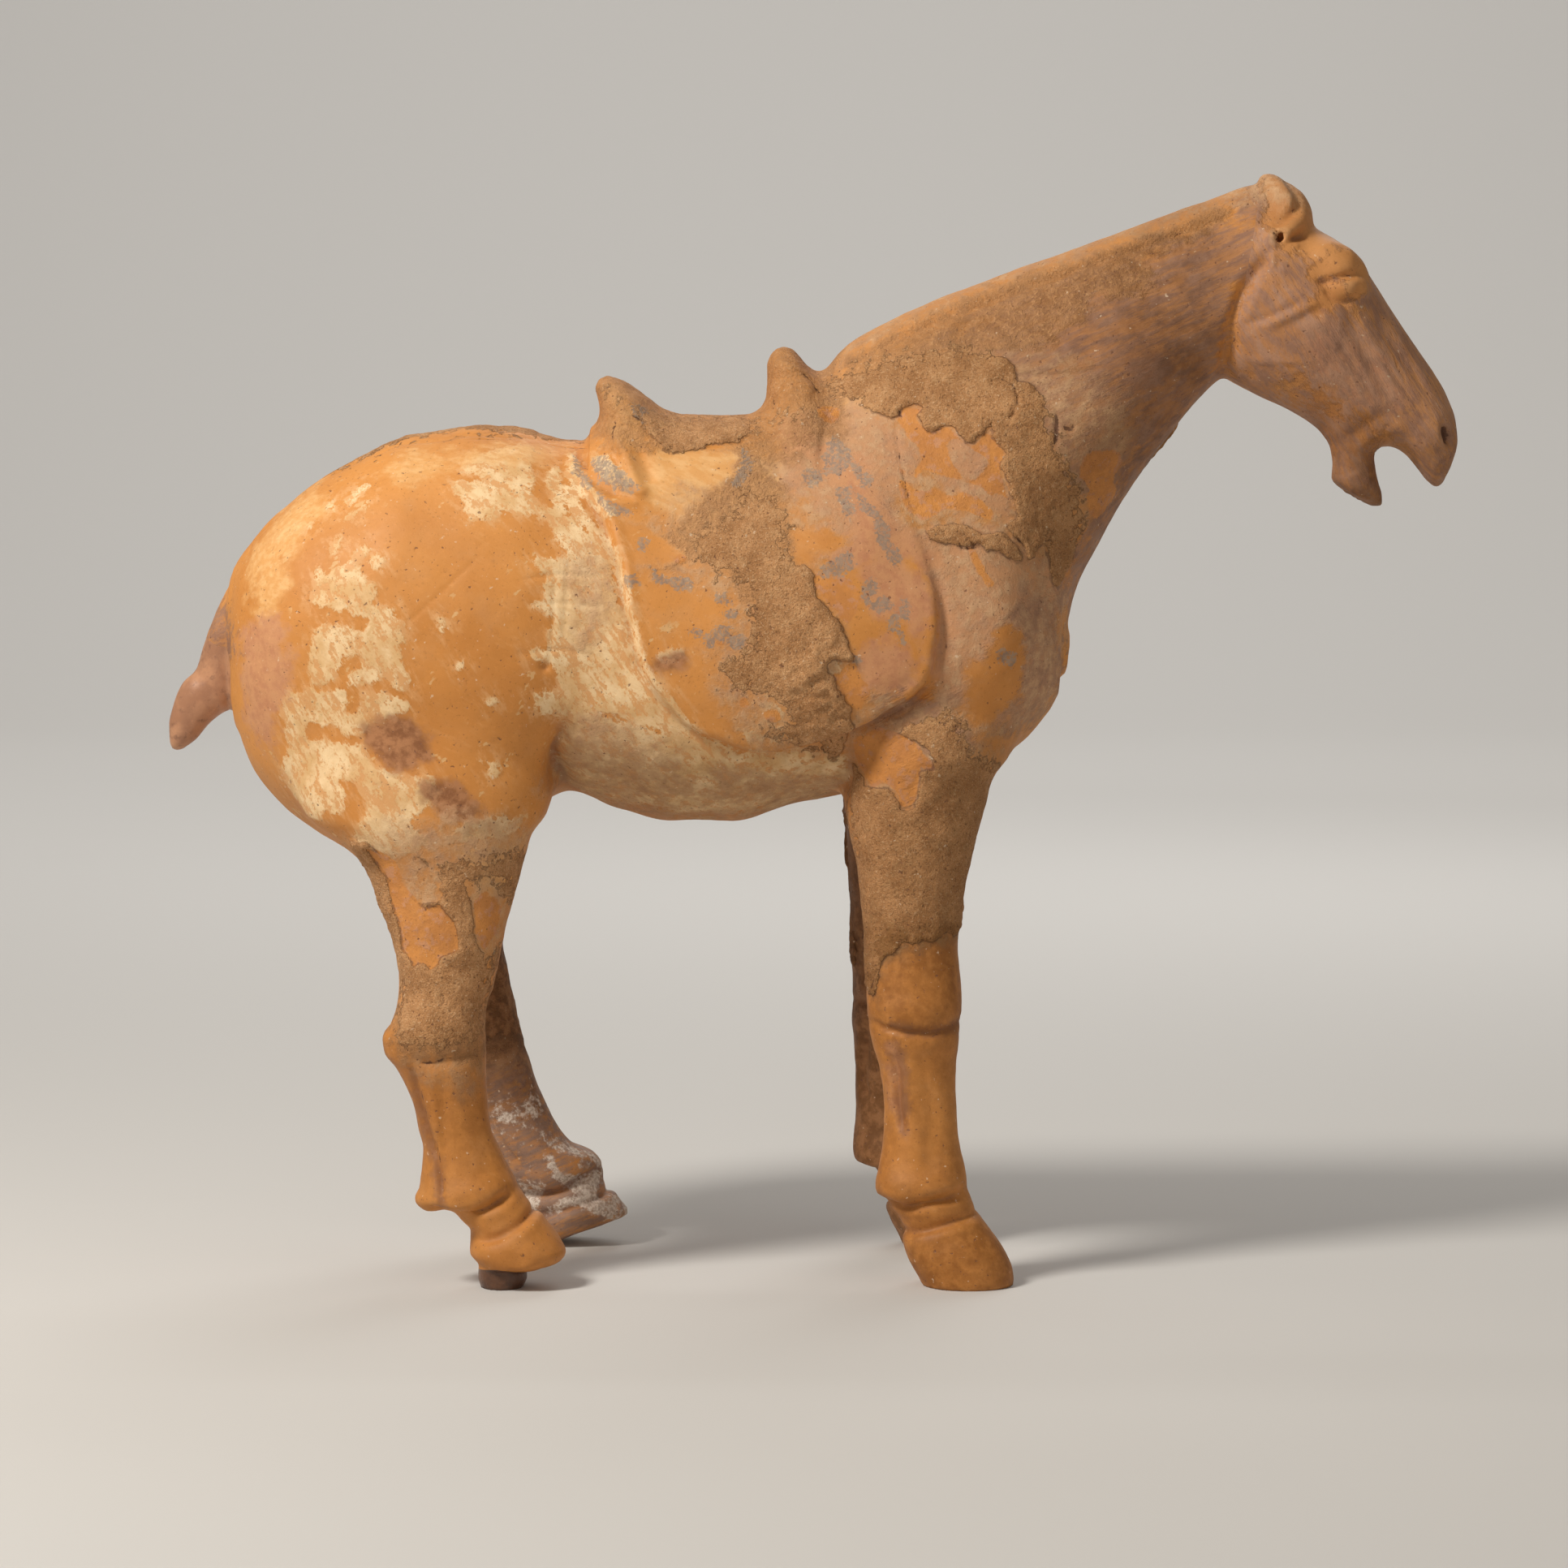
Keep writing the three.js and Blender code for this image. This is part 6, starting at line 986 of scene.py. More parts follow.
for pts in CRACKS:
    m = near_box(U, pts, 3)
    d, s = seg_dist(U[m], smooth_line(pts, 2))
    PAINT["seam"][m] = np.maximum(PAINT["seam"][m], 0.42 - d / np.maximum(outward[m], 0.12) + 0.35 * wob[m] - 0.5 * step(0.35, 0.5, np.abs(s - 0.5)) - 3 * (1 - step(0.02, 0.16, outward[m])))
# painted shade: a dark line down the nostril recess
d, s = seg_dist(U, [(171.7, 229.0), (172.6, 227.4), (172.0, 225.7)])
PAINT["seam"] = np.maximum(PAINT["seam"], np.clip(1.15 - d, -8, 8))
# the crust has flaked edges in places and thins out softly elsewhere
near_edge = np.full(len(BASE), 99.0)
for pts in CRISP:
    m = near_box(U, pts, 12)
    d, _ = seg_dist(U[m], pts)
    near_edge[m] = np.minimum(near_edge[m], d)
crisp = 1 - step(2.5, 8.0, near_edge + 2.0 * mid)
crisp = np.maximum(crisp, step(0.35, 0.6, noise(BASE, 22, 64, 2)) * 0.8 * far)
# along the spine behind the saddle the outlines lie flat, so the crust gets its own band there
spine = np.minimum(np.minimum(BASE[:, 0] + 134, -58 - BASE[:, 0]) * 0.5, 10.5 - np.abs(BASE[:, 1])) + 3.0 * mid + 1.2 * wob
w = np.where((BASE[:, 2] > 190) & (BASE[:, 0] < -55), step(0.12, 0.32, outward), 1.0)
PAINT["crust"] = PAINT["crust"] * w + np.clip(spine, -8, 8) * (1 - w)
PAINT["bare"] = PAINT["bare"] * w - 8 * (1 - w)
PAINT["crust"] = np.minimum(PAINT["crust"], 0.5 - PAINT["bare"])
PAINT["bare"] = np.minimum(PAINT["bare"], 0.2 - rose)
PAINT["crust"] -= 1.3 * ((BASE[:, 0] < -36) & (BASE[:, 2] < 125)) * (1 - crisp)
PAINT["crust"] = np.where(PAINT["crust"] < 0, PAINT["crust"] * (0.3 + 0.7 * crisp), PAINT["crust"] * (0.22 + 0.78 * crisp)) - 0.5 * (1 - crisp)
fore_leg = BASE[:, 0] > -20
crest = np.interp(BASE[:, 0], [p[0] for p in NECK], [p[1] for p in NECK])
hx, hz = BASE[:, 0], BASE[:, 2]
# painted shade: darkens the neck, a band under the crest, the lower neck and lower head, the forearms, the belly
# underside and the jaw
painted_shade = 0.42 * step(60, 90, hx) * step(200, 235, hz) * (1 - step(104, 114, hx)) + 0.26 * step(14, 40, hx) * step(236, 244, hz) * step(3, 9, crest - hz) * (1 - step(104, 114, hx))
painted_shade += 0.42 * step(46, 60, hx) * step(184, 196, hz) * (1 - step(222, 240, hz)) + 0.45 * step(4, 14, hx) * (1 - step(138, 160, hz)) * step(88, 100, hz)
painted_shade += 0.40 * step(-74, -66, hx) * (1 - step(2, 12, hx)) * (1 - step(138, 152, hz)) * step(110, 122, hz)
painted_shade += 0.45 * step(132, 140, hx) * step(236, 226, hz) * (1 - step(154, 160, hx))
# brown film on the near lower legs, partly painted shade: darkens the near lower legs
leg_film_and_shade = np.where(fore_leg, 0.9 * step(102, 92, hz) * (1 - 0.35 * step(70, 60, hz) + 0.4 * step(22, 12, hz)), 0.55 * step(76, 60, hz) * (1 - 0.3 * step(30, 16, hz)))
# the painted shade and the leg film are multiplied into the colour together
PAINT["film"] = (np.where(far, 0.0, leg_film_and_shade) + painted_shade) * (1 + 0.35 * mid)
hind_low = np.minimum(66 - BASE[:, 2], -36 - BASE[:, 0])
# the far side below the belly line and the far legs are darkened, partly brown grime and partly painted shade; the far
# hind leg low down gets mauve film as well, also partly painted shade
PAINT["dark"] = np.where(far, np.minimum(np.minimum(np.minimum((126 - hz) * 0.5, (BASE[:, 1] - 4) * 0.6), 8.0), np.where(hx < -36, (hz - 44) * 0.4, 8.0)), -8.0) * 0.5 + 1.5 * mid
PAINT["mauve"] = np.where(far & (hx < -36), np.maximum(PAINT["mauve"], np.minimum((70 - hz) * 0.2, 3.0) + 2 * mid), PAINT["mauve"])
PAINT["chalk"] = np.where(far, np.maximum(PAINT["chalk"], np.minimum(hind_low * 0.12, 2.2) - 3.1 + 2.0 * mid), -8.0)
PAINT["dust"] = np.maximum(PAINT["dust"], np.where((BASE[:, 0] > 2) & (BASE[:, 2] > 236), np.clip(5.5 - (crest - BASE[:, 2]), -8, 5) + 2 * mid, -8))
for k in PAINT:
    PAINT[k] = np.clip(PAINT[k], -8, 8)

cs = PAINT["crust"]
T = crisp * step(-0.25, 0.75, cs) + (1 - crisp) * 0.75 * step(-0.8, 1.6, cs)
thick = (0.5 + 0.35 * crisp + 0.15 * noise(BASE, 8, 71, 3)) * (0.6 + 0.4 * body)
edge = crisp * np.exp(-(((cs - 0.75) / 0.55) ** 2)) * np.clip(0.5 + 0.8 * noise(BASE, 5, 72, 2), 0, 1)
grit = noise(BASE, 3.4, 73, 3, 0.65)
pits = step(0.5, 0.9, noise(BASE, 3.0, 74, 2))
lumpy = np.exp(-(((U[:, 0] - 3) / 11) ** 2) - ((U[:, 1] - 163) / 18) ** 2) * step(-1.5, 2.5, cs)
soft = step(-2, 3, PAINT["soil"])
free = step(0.4, 2.6, BASE[:, 2])
sand = noise(BASE, 1.7, 81, 2)
disp += free * (T * (np.maximum(thick, 0.25) + 0.14 * grit + 0.13 * sand - 0.22 * pits) + 0.18 * edge + 1.6 * lumpy * (0.2 + 0.75 * (0.5 - np.abs(noise(BASE, 6, 75, 3, 0.6))) + 0.4 * noise(BASE, 2.6, 80, 2)))
disp += free * soft * (1 - T) * (0.13 * grit + 0.12 * noise(BASE, 6, 76, 2))
disp += 0.28 * noise(BASE, 24, 77, 2) * step(0, 20, BASE[:, 2]) + free * (0.09 * noise(BASE, 8, 78, 2) + 0.03 * noise(BASE, 2.2, 79, 2))
cream_in = step(-0.6, 0.8, PAINT["cream"])
disp += 0.1 * cream_in * (1 - T)
disp -= 0.4 * step(-0.3, 0.5, PAINT["seam"]) * free
V = BASE + NRM * disp[:, None]
V[:, 2] = np.maximum(V[:, 2], 0.0)
V = np.clip(V, np.array(CAD_BOX[0]) * 1000 + 0.05, np.array(CAD_BOX[1]) * 1000 - 0.05)

# hollows and ridges, to darken the colour in the hollows and lighten it on the ridges
lap = ((ring_mean(V, A, B, deg) - V) * vert_normals(V, Q)).sum(1)
cav = lap.copy()
for it in range(6):
    cav = 0.5 * cav + 0.5 * ring_mean(cav, A, B, deg)
PAINT["cav"] = np.clip(cav / 0.05, -4, 4)
PAINT["crisp"] = crisp
PAINT["own"] = np.ones(len(V))

# ------------------------------------------------------------------ mesh tools
def new_mesh(name, V, F):
    me = bpy.data.meshes.new(name)
    V = np.asarray(V, np.float32) * 0.001
    F = np.asarray(F, np.int32)
    me.vertices.add(len(V))
    me.vertices.foreach_set("co", V.ravel())
    me.loops.add(F.size)
    me.loops.foreach_set("vertex_index", F.ravel())
    me.polygons.add(len(F))
    me.polygons.foreach_set("loop_start", np.arange(len(F), dtype=np.int32) * F.shape[1])
    me.update(calc_edges=True)
    me.validate()
    return me


def new_object(name, me):
    o = bpy.data.objects.new(name, me)
    bpy.context.scene.collection.objects.link(o)
    return o


SIDES = [bpy.data.materials.new("skin side"), bpy.data.materials.new("cut side")]


def solid(name, V, faces):
    """A cutter from points in mm and faces of any size, with its faces turned out."""
    me = bpy.data.meshes.new(name)
    me.from_pydata([tuple(float(c) * 0.001 for c in v) for v in V], [], [tuple(f) for f in faces])
    bm = bmesh.new()
    bm.from_mesh(me)
    bmesh.ops.triangulate(bm, faces=[f for f in bm.faces if len(f.verts) > 4])
    bmesh.ops.recalc_face_normals(bm, faces=bm.faces)
    if bm.calc_volume(signed=True) < 0:
        bmesh.ops.reverse_faces(bm, faces=bm.faces)
    bm.to_mesh(me)
    bm.free()
    for m in SIDES:
        me.materials.append(m)
    me.polygons.foreach_set("material_index", np.ones(len(me.polygons), np.int32))
    return new_object(name, me)


def prism(name, outline, y0, y1):
    n = len(outline)
    V = [(x, y0, z) for x, z in outline] + [(x, y1, z) for x, z in outline]
    F = [tuple(range(n)), tuple(range(n, 2 * n))] + [(i, (i + 1) % n, (i + 1) % n + n, i + n) for i in range(n)]
    return solid(name, V, F)


def block(name, x0, x1, y0, y1, z0, z1):
    return prism(name, [(x0, z0), (x1, z0), (x1, z1), (x0, z1)], y0, y1)


def rings_solid(name, rings):
    n = len(rings[0])
    V = [p for r in rings for p in r]
    F = [(s * n + i, s * n + (i + 1) % n, (s + 1) * n + (i + 1) % n, (s + 1) * n + i) for s in range(len(rings) - 1) for i in range(n)]
    F += [tuple(range(n)), tuple(range((len(rings) - 1) * n, len(rings) * n))]
    return solid(name, V, F)


def power(v, e):
    return math.copysign(abs(v) ** e, v)


def barrel_rings(table, grow, n=40, e=0.94):
    out = []
    for x, zt, zb, w_, zc in table:
        r = []
        for i in range(n):
            t = 2 * math.pi * i / n
            c, s = power(math.cos(t), e), power(math.sin(t), e)
            h = (zt - zc if c > 0 else zc - zb) + grow
            r.append((x, max(w_ + grow, 0.5) * s, zc + max(h, 0.5) * c))
        out.append(r)
    return out


def span_rings(table, grow, n=28, k=0.16):
    out = []
    for ax, az, bx, bz, w_ in table:
        a, b = Vector((ax, 0, az)), Vector((bx, 0, bz))
        c, u = (a + b) / 2, a - b
        h = u.length / 2 + grow
        u.normalize()
        r = []
        for i in range(n):
            t = 2 * math.pi * i / n
            p = c + u * (h * math.cos(t))
            r.append((p.x, max(w_ + grow, 0.5) * math.sin(t) * (1 - k * math.cos(t)), p.z))
        out.append(r)
    return out


def boolean(target, cutter, op, name=None):
    """target (op) cutter, as a new object when a name is given, else in place."""
    m = target.modifiers.new("b", "BOOLEAN")
    m.operation = op
    m.object = cutter
    m.solver = "MANIFOLD"
    me = bpy.data.meshes.new_from_object(target.evaluated_get(bpy.context.evaluated_depsgraph_get()))
    target.modifiers.remove(m)
    if name:
        return new_object(name, me)
    old = target.data
    target.data = me
    bpy.data.meshes.remove(old)
    return target


def drop(*objs):
    for o in objs:
        me = o.data
        bpy.data.objects.remove(o)
        bpy.data.meshes.remove(me)


me = new_mesh("skin", V, Q)
for k, v in PAINT.items():
    me.attributes.new("p_" + k, "FLOAT", "POINT").data.foreach_set("value", v.astype(np.float32))
for m in SIDES:
    me.materials.append(m)
master = new_object("skin", me)


def take(source, cutter, name):
    """Splits source by cutter: returns the part inside it and leaves the rest."""
    part = boolean(source, cutter, "INTERSECT", name)
    boolean(source, cutter, "DIFFERENCE")
    drop(cutter)
    return part


PARTS = {}
d = Vector((JOIN_TOP[0] - JOIN_LOW[0], JOIN_TOP[1] - JOIN_LOW[1])).normalized()
nrm = Vector((d.y, -d.x))
jt, jl = Vector(JOIN_TOP) + d * 60, Vector(JOIN_LOW) - d * 200
fore = rings_solid("c", span_rings([(116.5, 300, 116.4, 299, 1), (117.6, 303, 118.6, 287.0, 10.0), (122, 304, 122.6, 281.4, 12.5), (136.2, 300, 128.4, 279.4, 12.5), (140, 296, 137.6, 281.8, 12.5), (141.2, 290, 140.8, 287, 1)], 0, 24, 0))
PARTS["forelock"] = take(master, fore, "forelock")
head_o = take(master, prism("c", [(jt.x, jt.y), (jl.x, jl.y), (jl.x + nrm.x * 300, jl.y + nrm.y * 300), (jt.x + nrm.x * 300, jt.y + nrm.y * 300)], -90, 90), "head")
for s, nm in ((-1, "right"), (1, "left")):
    PARTS["ear_socket_" + nm] = take(head_o, block("c", 119, 130.4, s * 8.4 if s > 0 else -24, 24 if s > 0 else s * 8.4, 275.4, 287.6), "ear_socket_" + nm)
core = rings_solid("core", barrel_rings(BARREL, -1.4))
core_neck = rings_solid("core_neck", span_rings(NECK, -1.4))


def shaped(outline, y0, y1, *cores):
    c = prism("c", outline, y0, y1)
    for k in cores:
        boolean(c, k, "DIFFERENCE")
    return c


PARTS["tail"] = take(master, rings_solid("c", span_rings([(-156.4, 176, -148, 158, 10), (-164, 173.4, -156, 154, 10), (-176, 166, -160, 146, 10), (-182, 156, -168, 136, 10), (-184, 142, -176, 132, 8)], 0, 20, 0)), "tail")
PARTS["saddle_pommel"] = take(master, shaped([(-13.9, SEAT_Z), (-13.9, 260), (1.0, 260), (4.4, 244.4), (8.4, 238), (8.4, SEAT_Z)], -60, 60, core, core_neck), "saddle_pommel")
PARTS["saddle_cantle"] = take(master, shaped([(-62, SEAT_Z), (-62, 260), (-50, 260), (-40.0, 238), (-40.0, SEAT_Z)], -60, 60, core, core_neck), "saddle_cantle")
PARTS["saddle_seat"] = take(master, shaped([(-40.0, SEAT_Z), (-40.0, 260), (-13.9, 260), (-13.9, SEAT_Z)], -60, 60, core, core_neck), "saddle_seat")
crest = [(x, z) for x, z, _, _, _ in NECK[1:10]]
PARTS["mane_ridge"] = take(master, prism("c", [(0.5, 247), (4.4, 238.0), (10.6, 246.6), (22.4, 253.2), (38.0, 259.6), (54.7, 266.2), (73.4, 272.7), (91.0, 279.2), (106.8, 284.6), (121, 289.4), (121, 306), (40, 290), (2, 262)], -30, 30), "mane_ridge")
for s, nm in ((-1, "right"), (1, "left")):
    y0, y1 = (-75, -6) if s < 0 else (6, 75)
    PARTS["saddle_cloth_" + nm] = take(master, shaped([p if p[1] < 215 else (p[0], SEAT_Z) for p in CLOTH_EDGE], y0, y1, core), "saddle_cloth_" + nm)
    y0, y1 = (-75, -3) if s < 0 else (3, 75)
    PARTS["foreleg_" + nm] = take(master, shaped([(6.0, -5), (5.5, 60), (5.4, 140.6), (9.4, 148.6), (17.4, 154.0), (29.0, 156.6), (41.0, 155.2), (50.4, 150.6), (55.6, 144), (57, 136), (60, 60), (60, -5)], y0, y1, core), "foreleg_" + nm)
    PARTS["hind_leg_" + nm] = take(master, shaped([(-126, -5), (-126, 80), (-141, 120), (-146, 134), (-143.6, 143), (-133, 148.8), (-117, 152.0), (-101, 152.4), (-86, 149.4), (-75.5, 143.0), (-68.5, 134), (-66, 124), (-66, 90), (-48, 20), (-48, -5)], y0, y1, core), "hind_leg_" + nm)
PARTS["hind_hoof_fill_right"] = take(PARTS["hind_leg_right"], prism("c", [(-92, -4), (-92, 4.6), (-88.6, 5.2), (-84.0, 6.0), (-79.8, 5.2), (-74, 4.4), (-70, -4)], -60, -20), "hind_hoof_fill_right")
# hollow inside, firing hole and the seam between the half shells
hollow_rows = [(x + (3.5 if x < -100 else -3.5 if x > 45 else 0), a, b, w_, c) for x, a, b, w_, c in BARREL[3:21]]
inner = rings_solid("inner", barrel_rings(hollow_rows, -WALL, 36))
inner_neck = rings_solid("inner_neck", span_rings(NECK[1:9], -WALL, 26))
boolean(inner, inner_neck, "UNION")
vent = rings_solid("vent", [[(VENT_X + VENT_R * math.cos(t), VENT_R * math.sin(t), z) for t in np.linspace(0, 2 * math.pi, 48, endpoint=False)] for z in (100, 150)])
boolean(inner, vent, "UNION")
boolean(master, inner, "DIFFERENCE")
inner_head = rings_solid("inner_head", span_rings(HEAD[2:10], -HEAD_WALL, 26, 0))
boolean(head_o, inner_head, "DIFFERENCE")
right = block("c", -300, 300, -150, 0, -20, 400)
PARTS["body_shell_right"] = take(master, right, "body_shell_right")
master.name = "body_shell_left"
PARTS["body_shell_left"] = master
PARTS["head_shell_right"] = take(head_o, block("c", -300, 300, -150, 0, -20, 400), "head_shell_right")
head_o.name = "head_shell_left"
PARTS["head_shell_left"] = head_o


def coil(name, x0, x1, top):
    """A roll of clay pressed along the seam inside, thumbed a little uneven."""
    rows = np.array(BARREL)
    rings = []
    for i, x in enumerate(np.linspace(x0, x1, max(int(abs(x1 - x0) / 2.2), 4))):
        z = pchip(rows[:, 0], rows[:, 1] if top else rows[:, 2], [x])[0] + (-7.5 if top else 7.5)
        k = 1 + 0.10 * math.sin(i * 1.9 + len(name)) + 0.07 * math.sin(i * 0.73)
        rings.append([(x, 7.5 * k * math.sin(t), z + 4.6 * k * math.cos(t)) for t in np.linspace(0, 2 * math.pi, 28, endpoint=False)])
    o = rings_solid(name, rings)
    boolean(o, inner, "INTERSECT")
    PARTS[name] = o


coil("seam_coil_back", -140.0, 12.0, True)
coil("seam_coil_groin", -135.0, VENT_X - VENT_R - 2.0, False)
coil("seam_coil_chest", VENT_X + VENT_R + 6.0, 58.0, False)
drop(core, core_neck, inner, inner_neck, vent, inner_head)


def tidy(o):
    """Drop the slivers that a cut along the skin leaves beside a piece."""
    bm = bmesh.new()
    bm.from_mesh(o.data)
    bmesh.ops.remove_doubles(bm, verts=bm.verts, dist=2e-8)
    bm.faces.index_update()
    seen, groups = bytearray(len(bm.faces)), []
    for f in bm.faces:
        if seen[f.index]:
            continue
        seen[f.index] = 1
        todo, group = [f], []
        while todo:
            g = todo.pop()
            group.append(g)
            for e in g.edges:
                near = e.link_faces
                if len(near) == 2:
                    for h in near:
                        if not seen[h.index]:
                            seen[h.index] = 1
                            todo.append(h)
        groups.append(group)
    gone = [f for g in groups if len(g) < 0.1 * max(map(len, groups)) for f in g]
    if gone:
        bmesh.ops.delete(bm, geom=gone, context="FACES")
    if all(len(e.link_faces) != 1 for e in bm.edges):
        bm.to_mesh(o.data)
    bm.free()


for o in PARTS.values():
    tidy(o)
for nm, o in PARTS.items():
    bb = np.array([c[:] for c in o.bound_box]) * 1000
    print(f"{nm:22s} {len(o.data.vertices):7d} {len(o.data.polygons):7d}", bb.min(0).round(1), bb.max(0).round(1))


# ------------------------------------------------------------------ looks
class Graph:
    """Shorthand for the nodes of one material. Lengths in its textures are in mm."""

    def __init__(self, name):
        self.m = bpy.data.materials.new(name)
        self.m.use_nodes = True
        self.nt = self.m.node_tree
        self.b = self.nt.nodes["Principled BSDF"]
        tc = self.node("ShaderNodeTexCoord")
        sc = self.node("ShaderNodeVectorMath", operation="SCALE")
        sc.inputs["Scale"].default_value = 1000.0
        self.nt.links.new(tc.outputs["Object"], sc.inputs[0])
        self.co = sc.outputs[0]

    def node(self, kind, **props):
        n = self.nt.nodes.new(kind)
        for k, v in props.items():
            setattr(n, k, v)
        return n

    def put(self, sock, v):
        if isinstance(v, bpy.types.NodeSocket):
            self.nt.links.new(v, sock)
        elif isinstance(v, tuple) and len(v) == 3 and sock.type == "RGBA":
            sock.default_value = (*v, 1.0)
        else:
            sock.default_value = v

    def attr(self, name):
        return self.node("ShaderNodeAttribute", attribute_name=name).outputs["Fac"]

    def noise(self, size, detail=3.0, rough=0.55, shift=0.0, stretch=None, turn=0.0, dist=0.0):
        """Noise from 0 to 1 with lumps of about size mm."""
        mp = self.node("ShaderNodeMapping")
        self.nt.links.new(self.co, mp.inputs["Vector"])
        mp.vector_type = "TEXTURE"
        mp.inputs["Location"].default_value = (shift * size, shift * 1.7 * size, -shift * 0.6 * size)
        mp.inputs["Rotation"].default_value = (0, turn, 0)
        st = stretch or (1, 1, 1)
        mp.inputs["Scale"].default_value = tuple(c * size for c in st)
        n = self.node("ShaderNodeTexNoise")
        self.nt.links.new(mp.outputs[0], n.inputs["Vector"])
        n.inputs["Scale"].default_value = 1.0
        n.inputs["Detail"].default_value = detail
        n.inputs["Roughness"].default_value = rough
        n.inputs["Distortion"].default_value = dist
        return n.outputs["Fac"]

    def calc(self, op, a, b=0.0, c=None, clamp=False):
        n = self.node("ShaderNodeMath", operation=op, use_clamp=clamp)
        self.put(n.inputs[0], a)
        self.put(n.inputs[1], b)
        if c is not None:
            self.put(n.inputs[2], c)
        return n.outputs[0]

    def ramp(self, v, lo, hi, out0=0.0, out1=1.0):
        n = self.node("ShaderNodeMapRange", interpolation_type="SMOOTHSTEP")
        self.put(n.inputs["Value"], v)
        n.inputs["From Min"].default_value = lo
        n.inputs["From Max"].default_value = hi
        n.inputs["To Min"].default_value = out0
        n.inputs["To Max"].default_value = out1
        return n.outputs["Result"]

    def mix(self, f, a, b, kind="MIX"):
        n = self.node("ShaderNodeMix", data_type="RGBA", blend_type=kind)
        self.put(n.inputs[0], f)
        self.put(n.inputs[6], a)
        self.put(n.inputs[7], b)
        return n.outputs[2]

    def fmix(self, f, a, b):
        n = self.node("ShaderNodeMix", data_type="FLOAT")
        self.put(n.inputs[0], f)
        self.put(n.inputs[2], a)
        self.put(n.inputs[3], b)
        return n.outputs[0]

    def ragged(self, name, *terms):
        """A paint layer's signed distance, made ragged by (noise, mm) terms."""
        v = self.attr("p_" + name)
        for n, mm in terms:
            v = self.calc("ADD", v, self.calc("MULTIPLY", self.calc("SUBTRACT", n, 0.5), 2.0 * mm))
        return v

    def surface(self, color, rough, height, spec=0.35):
        self.put(self.b.inputs["Base Color"], color)
        self.put(self.b.inputs["Roughness"], rough)
        self.b.inputs["Specular IOR Level"].default_value = spec
        bp = self.node("ShaderNodeBump")
        bp.inputs["Strength"].default_value = 1.0
        bp.inputs["Distance"].default_value = 0.001
        self.put(bp.inputs["Height"], height)
        self.nt.links.new(bp.outputs[0], self.b.inputs["Normal"])
        return self.m


SLIP_A, SLIP_B, SLIP_DARK = (0.66, 0.278, 0.066), (0.56, 0.222, 0.048), (0.36, 0.145, 0.04)
CREAM_A, CREAM_B = (0.86, 0.63, 0.36), (0.70, 0.43, 0.19)
CRUST_A, CRUST_B, CRUST_C = (0.54, 0.275, 0.115), (0.41, 0.195, 0.074), (0.64, 0.37, 0.175)
RAW = (0.60, 0.27, 0.11)
MAUVE = {"slip": ((0.37, 0.195, 0.118), (0.29, 0.145, 0.086)), "slip_head": ((0.46, 0.245, 0.146), (0.335, 0.171, 0.104)), "slip_far": ((0.32, 0.195, 0.135), (0.24, 0.14, 0.098))}


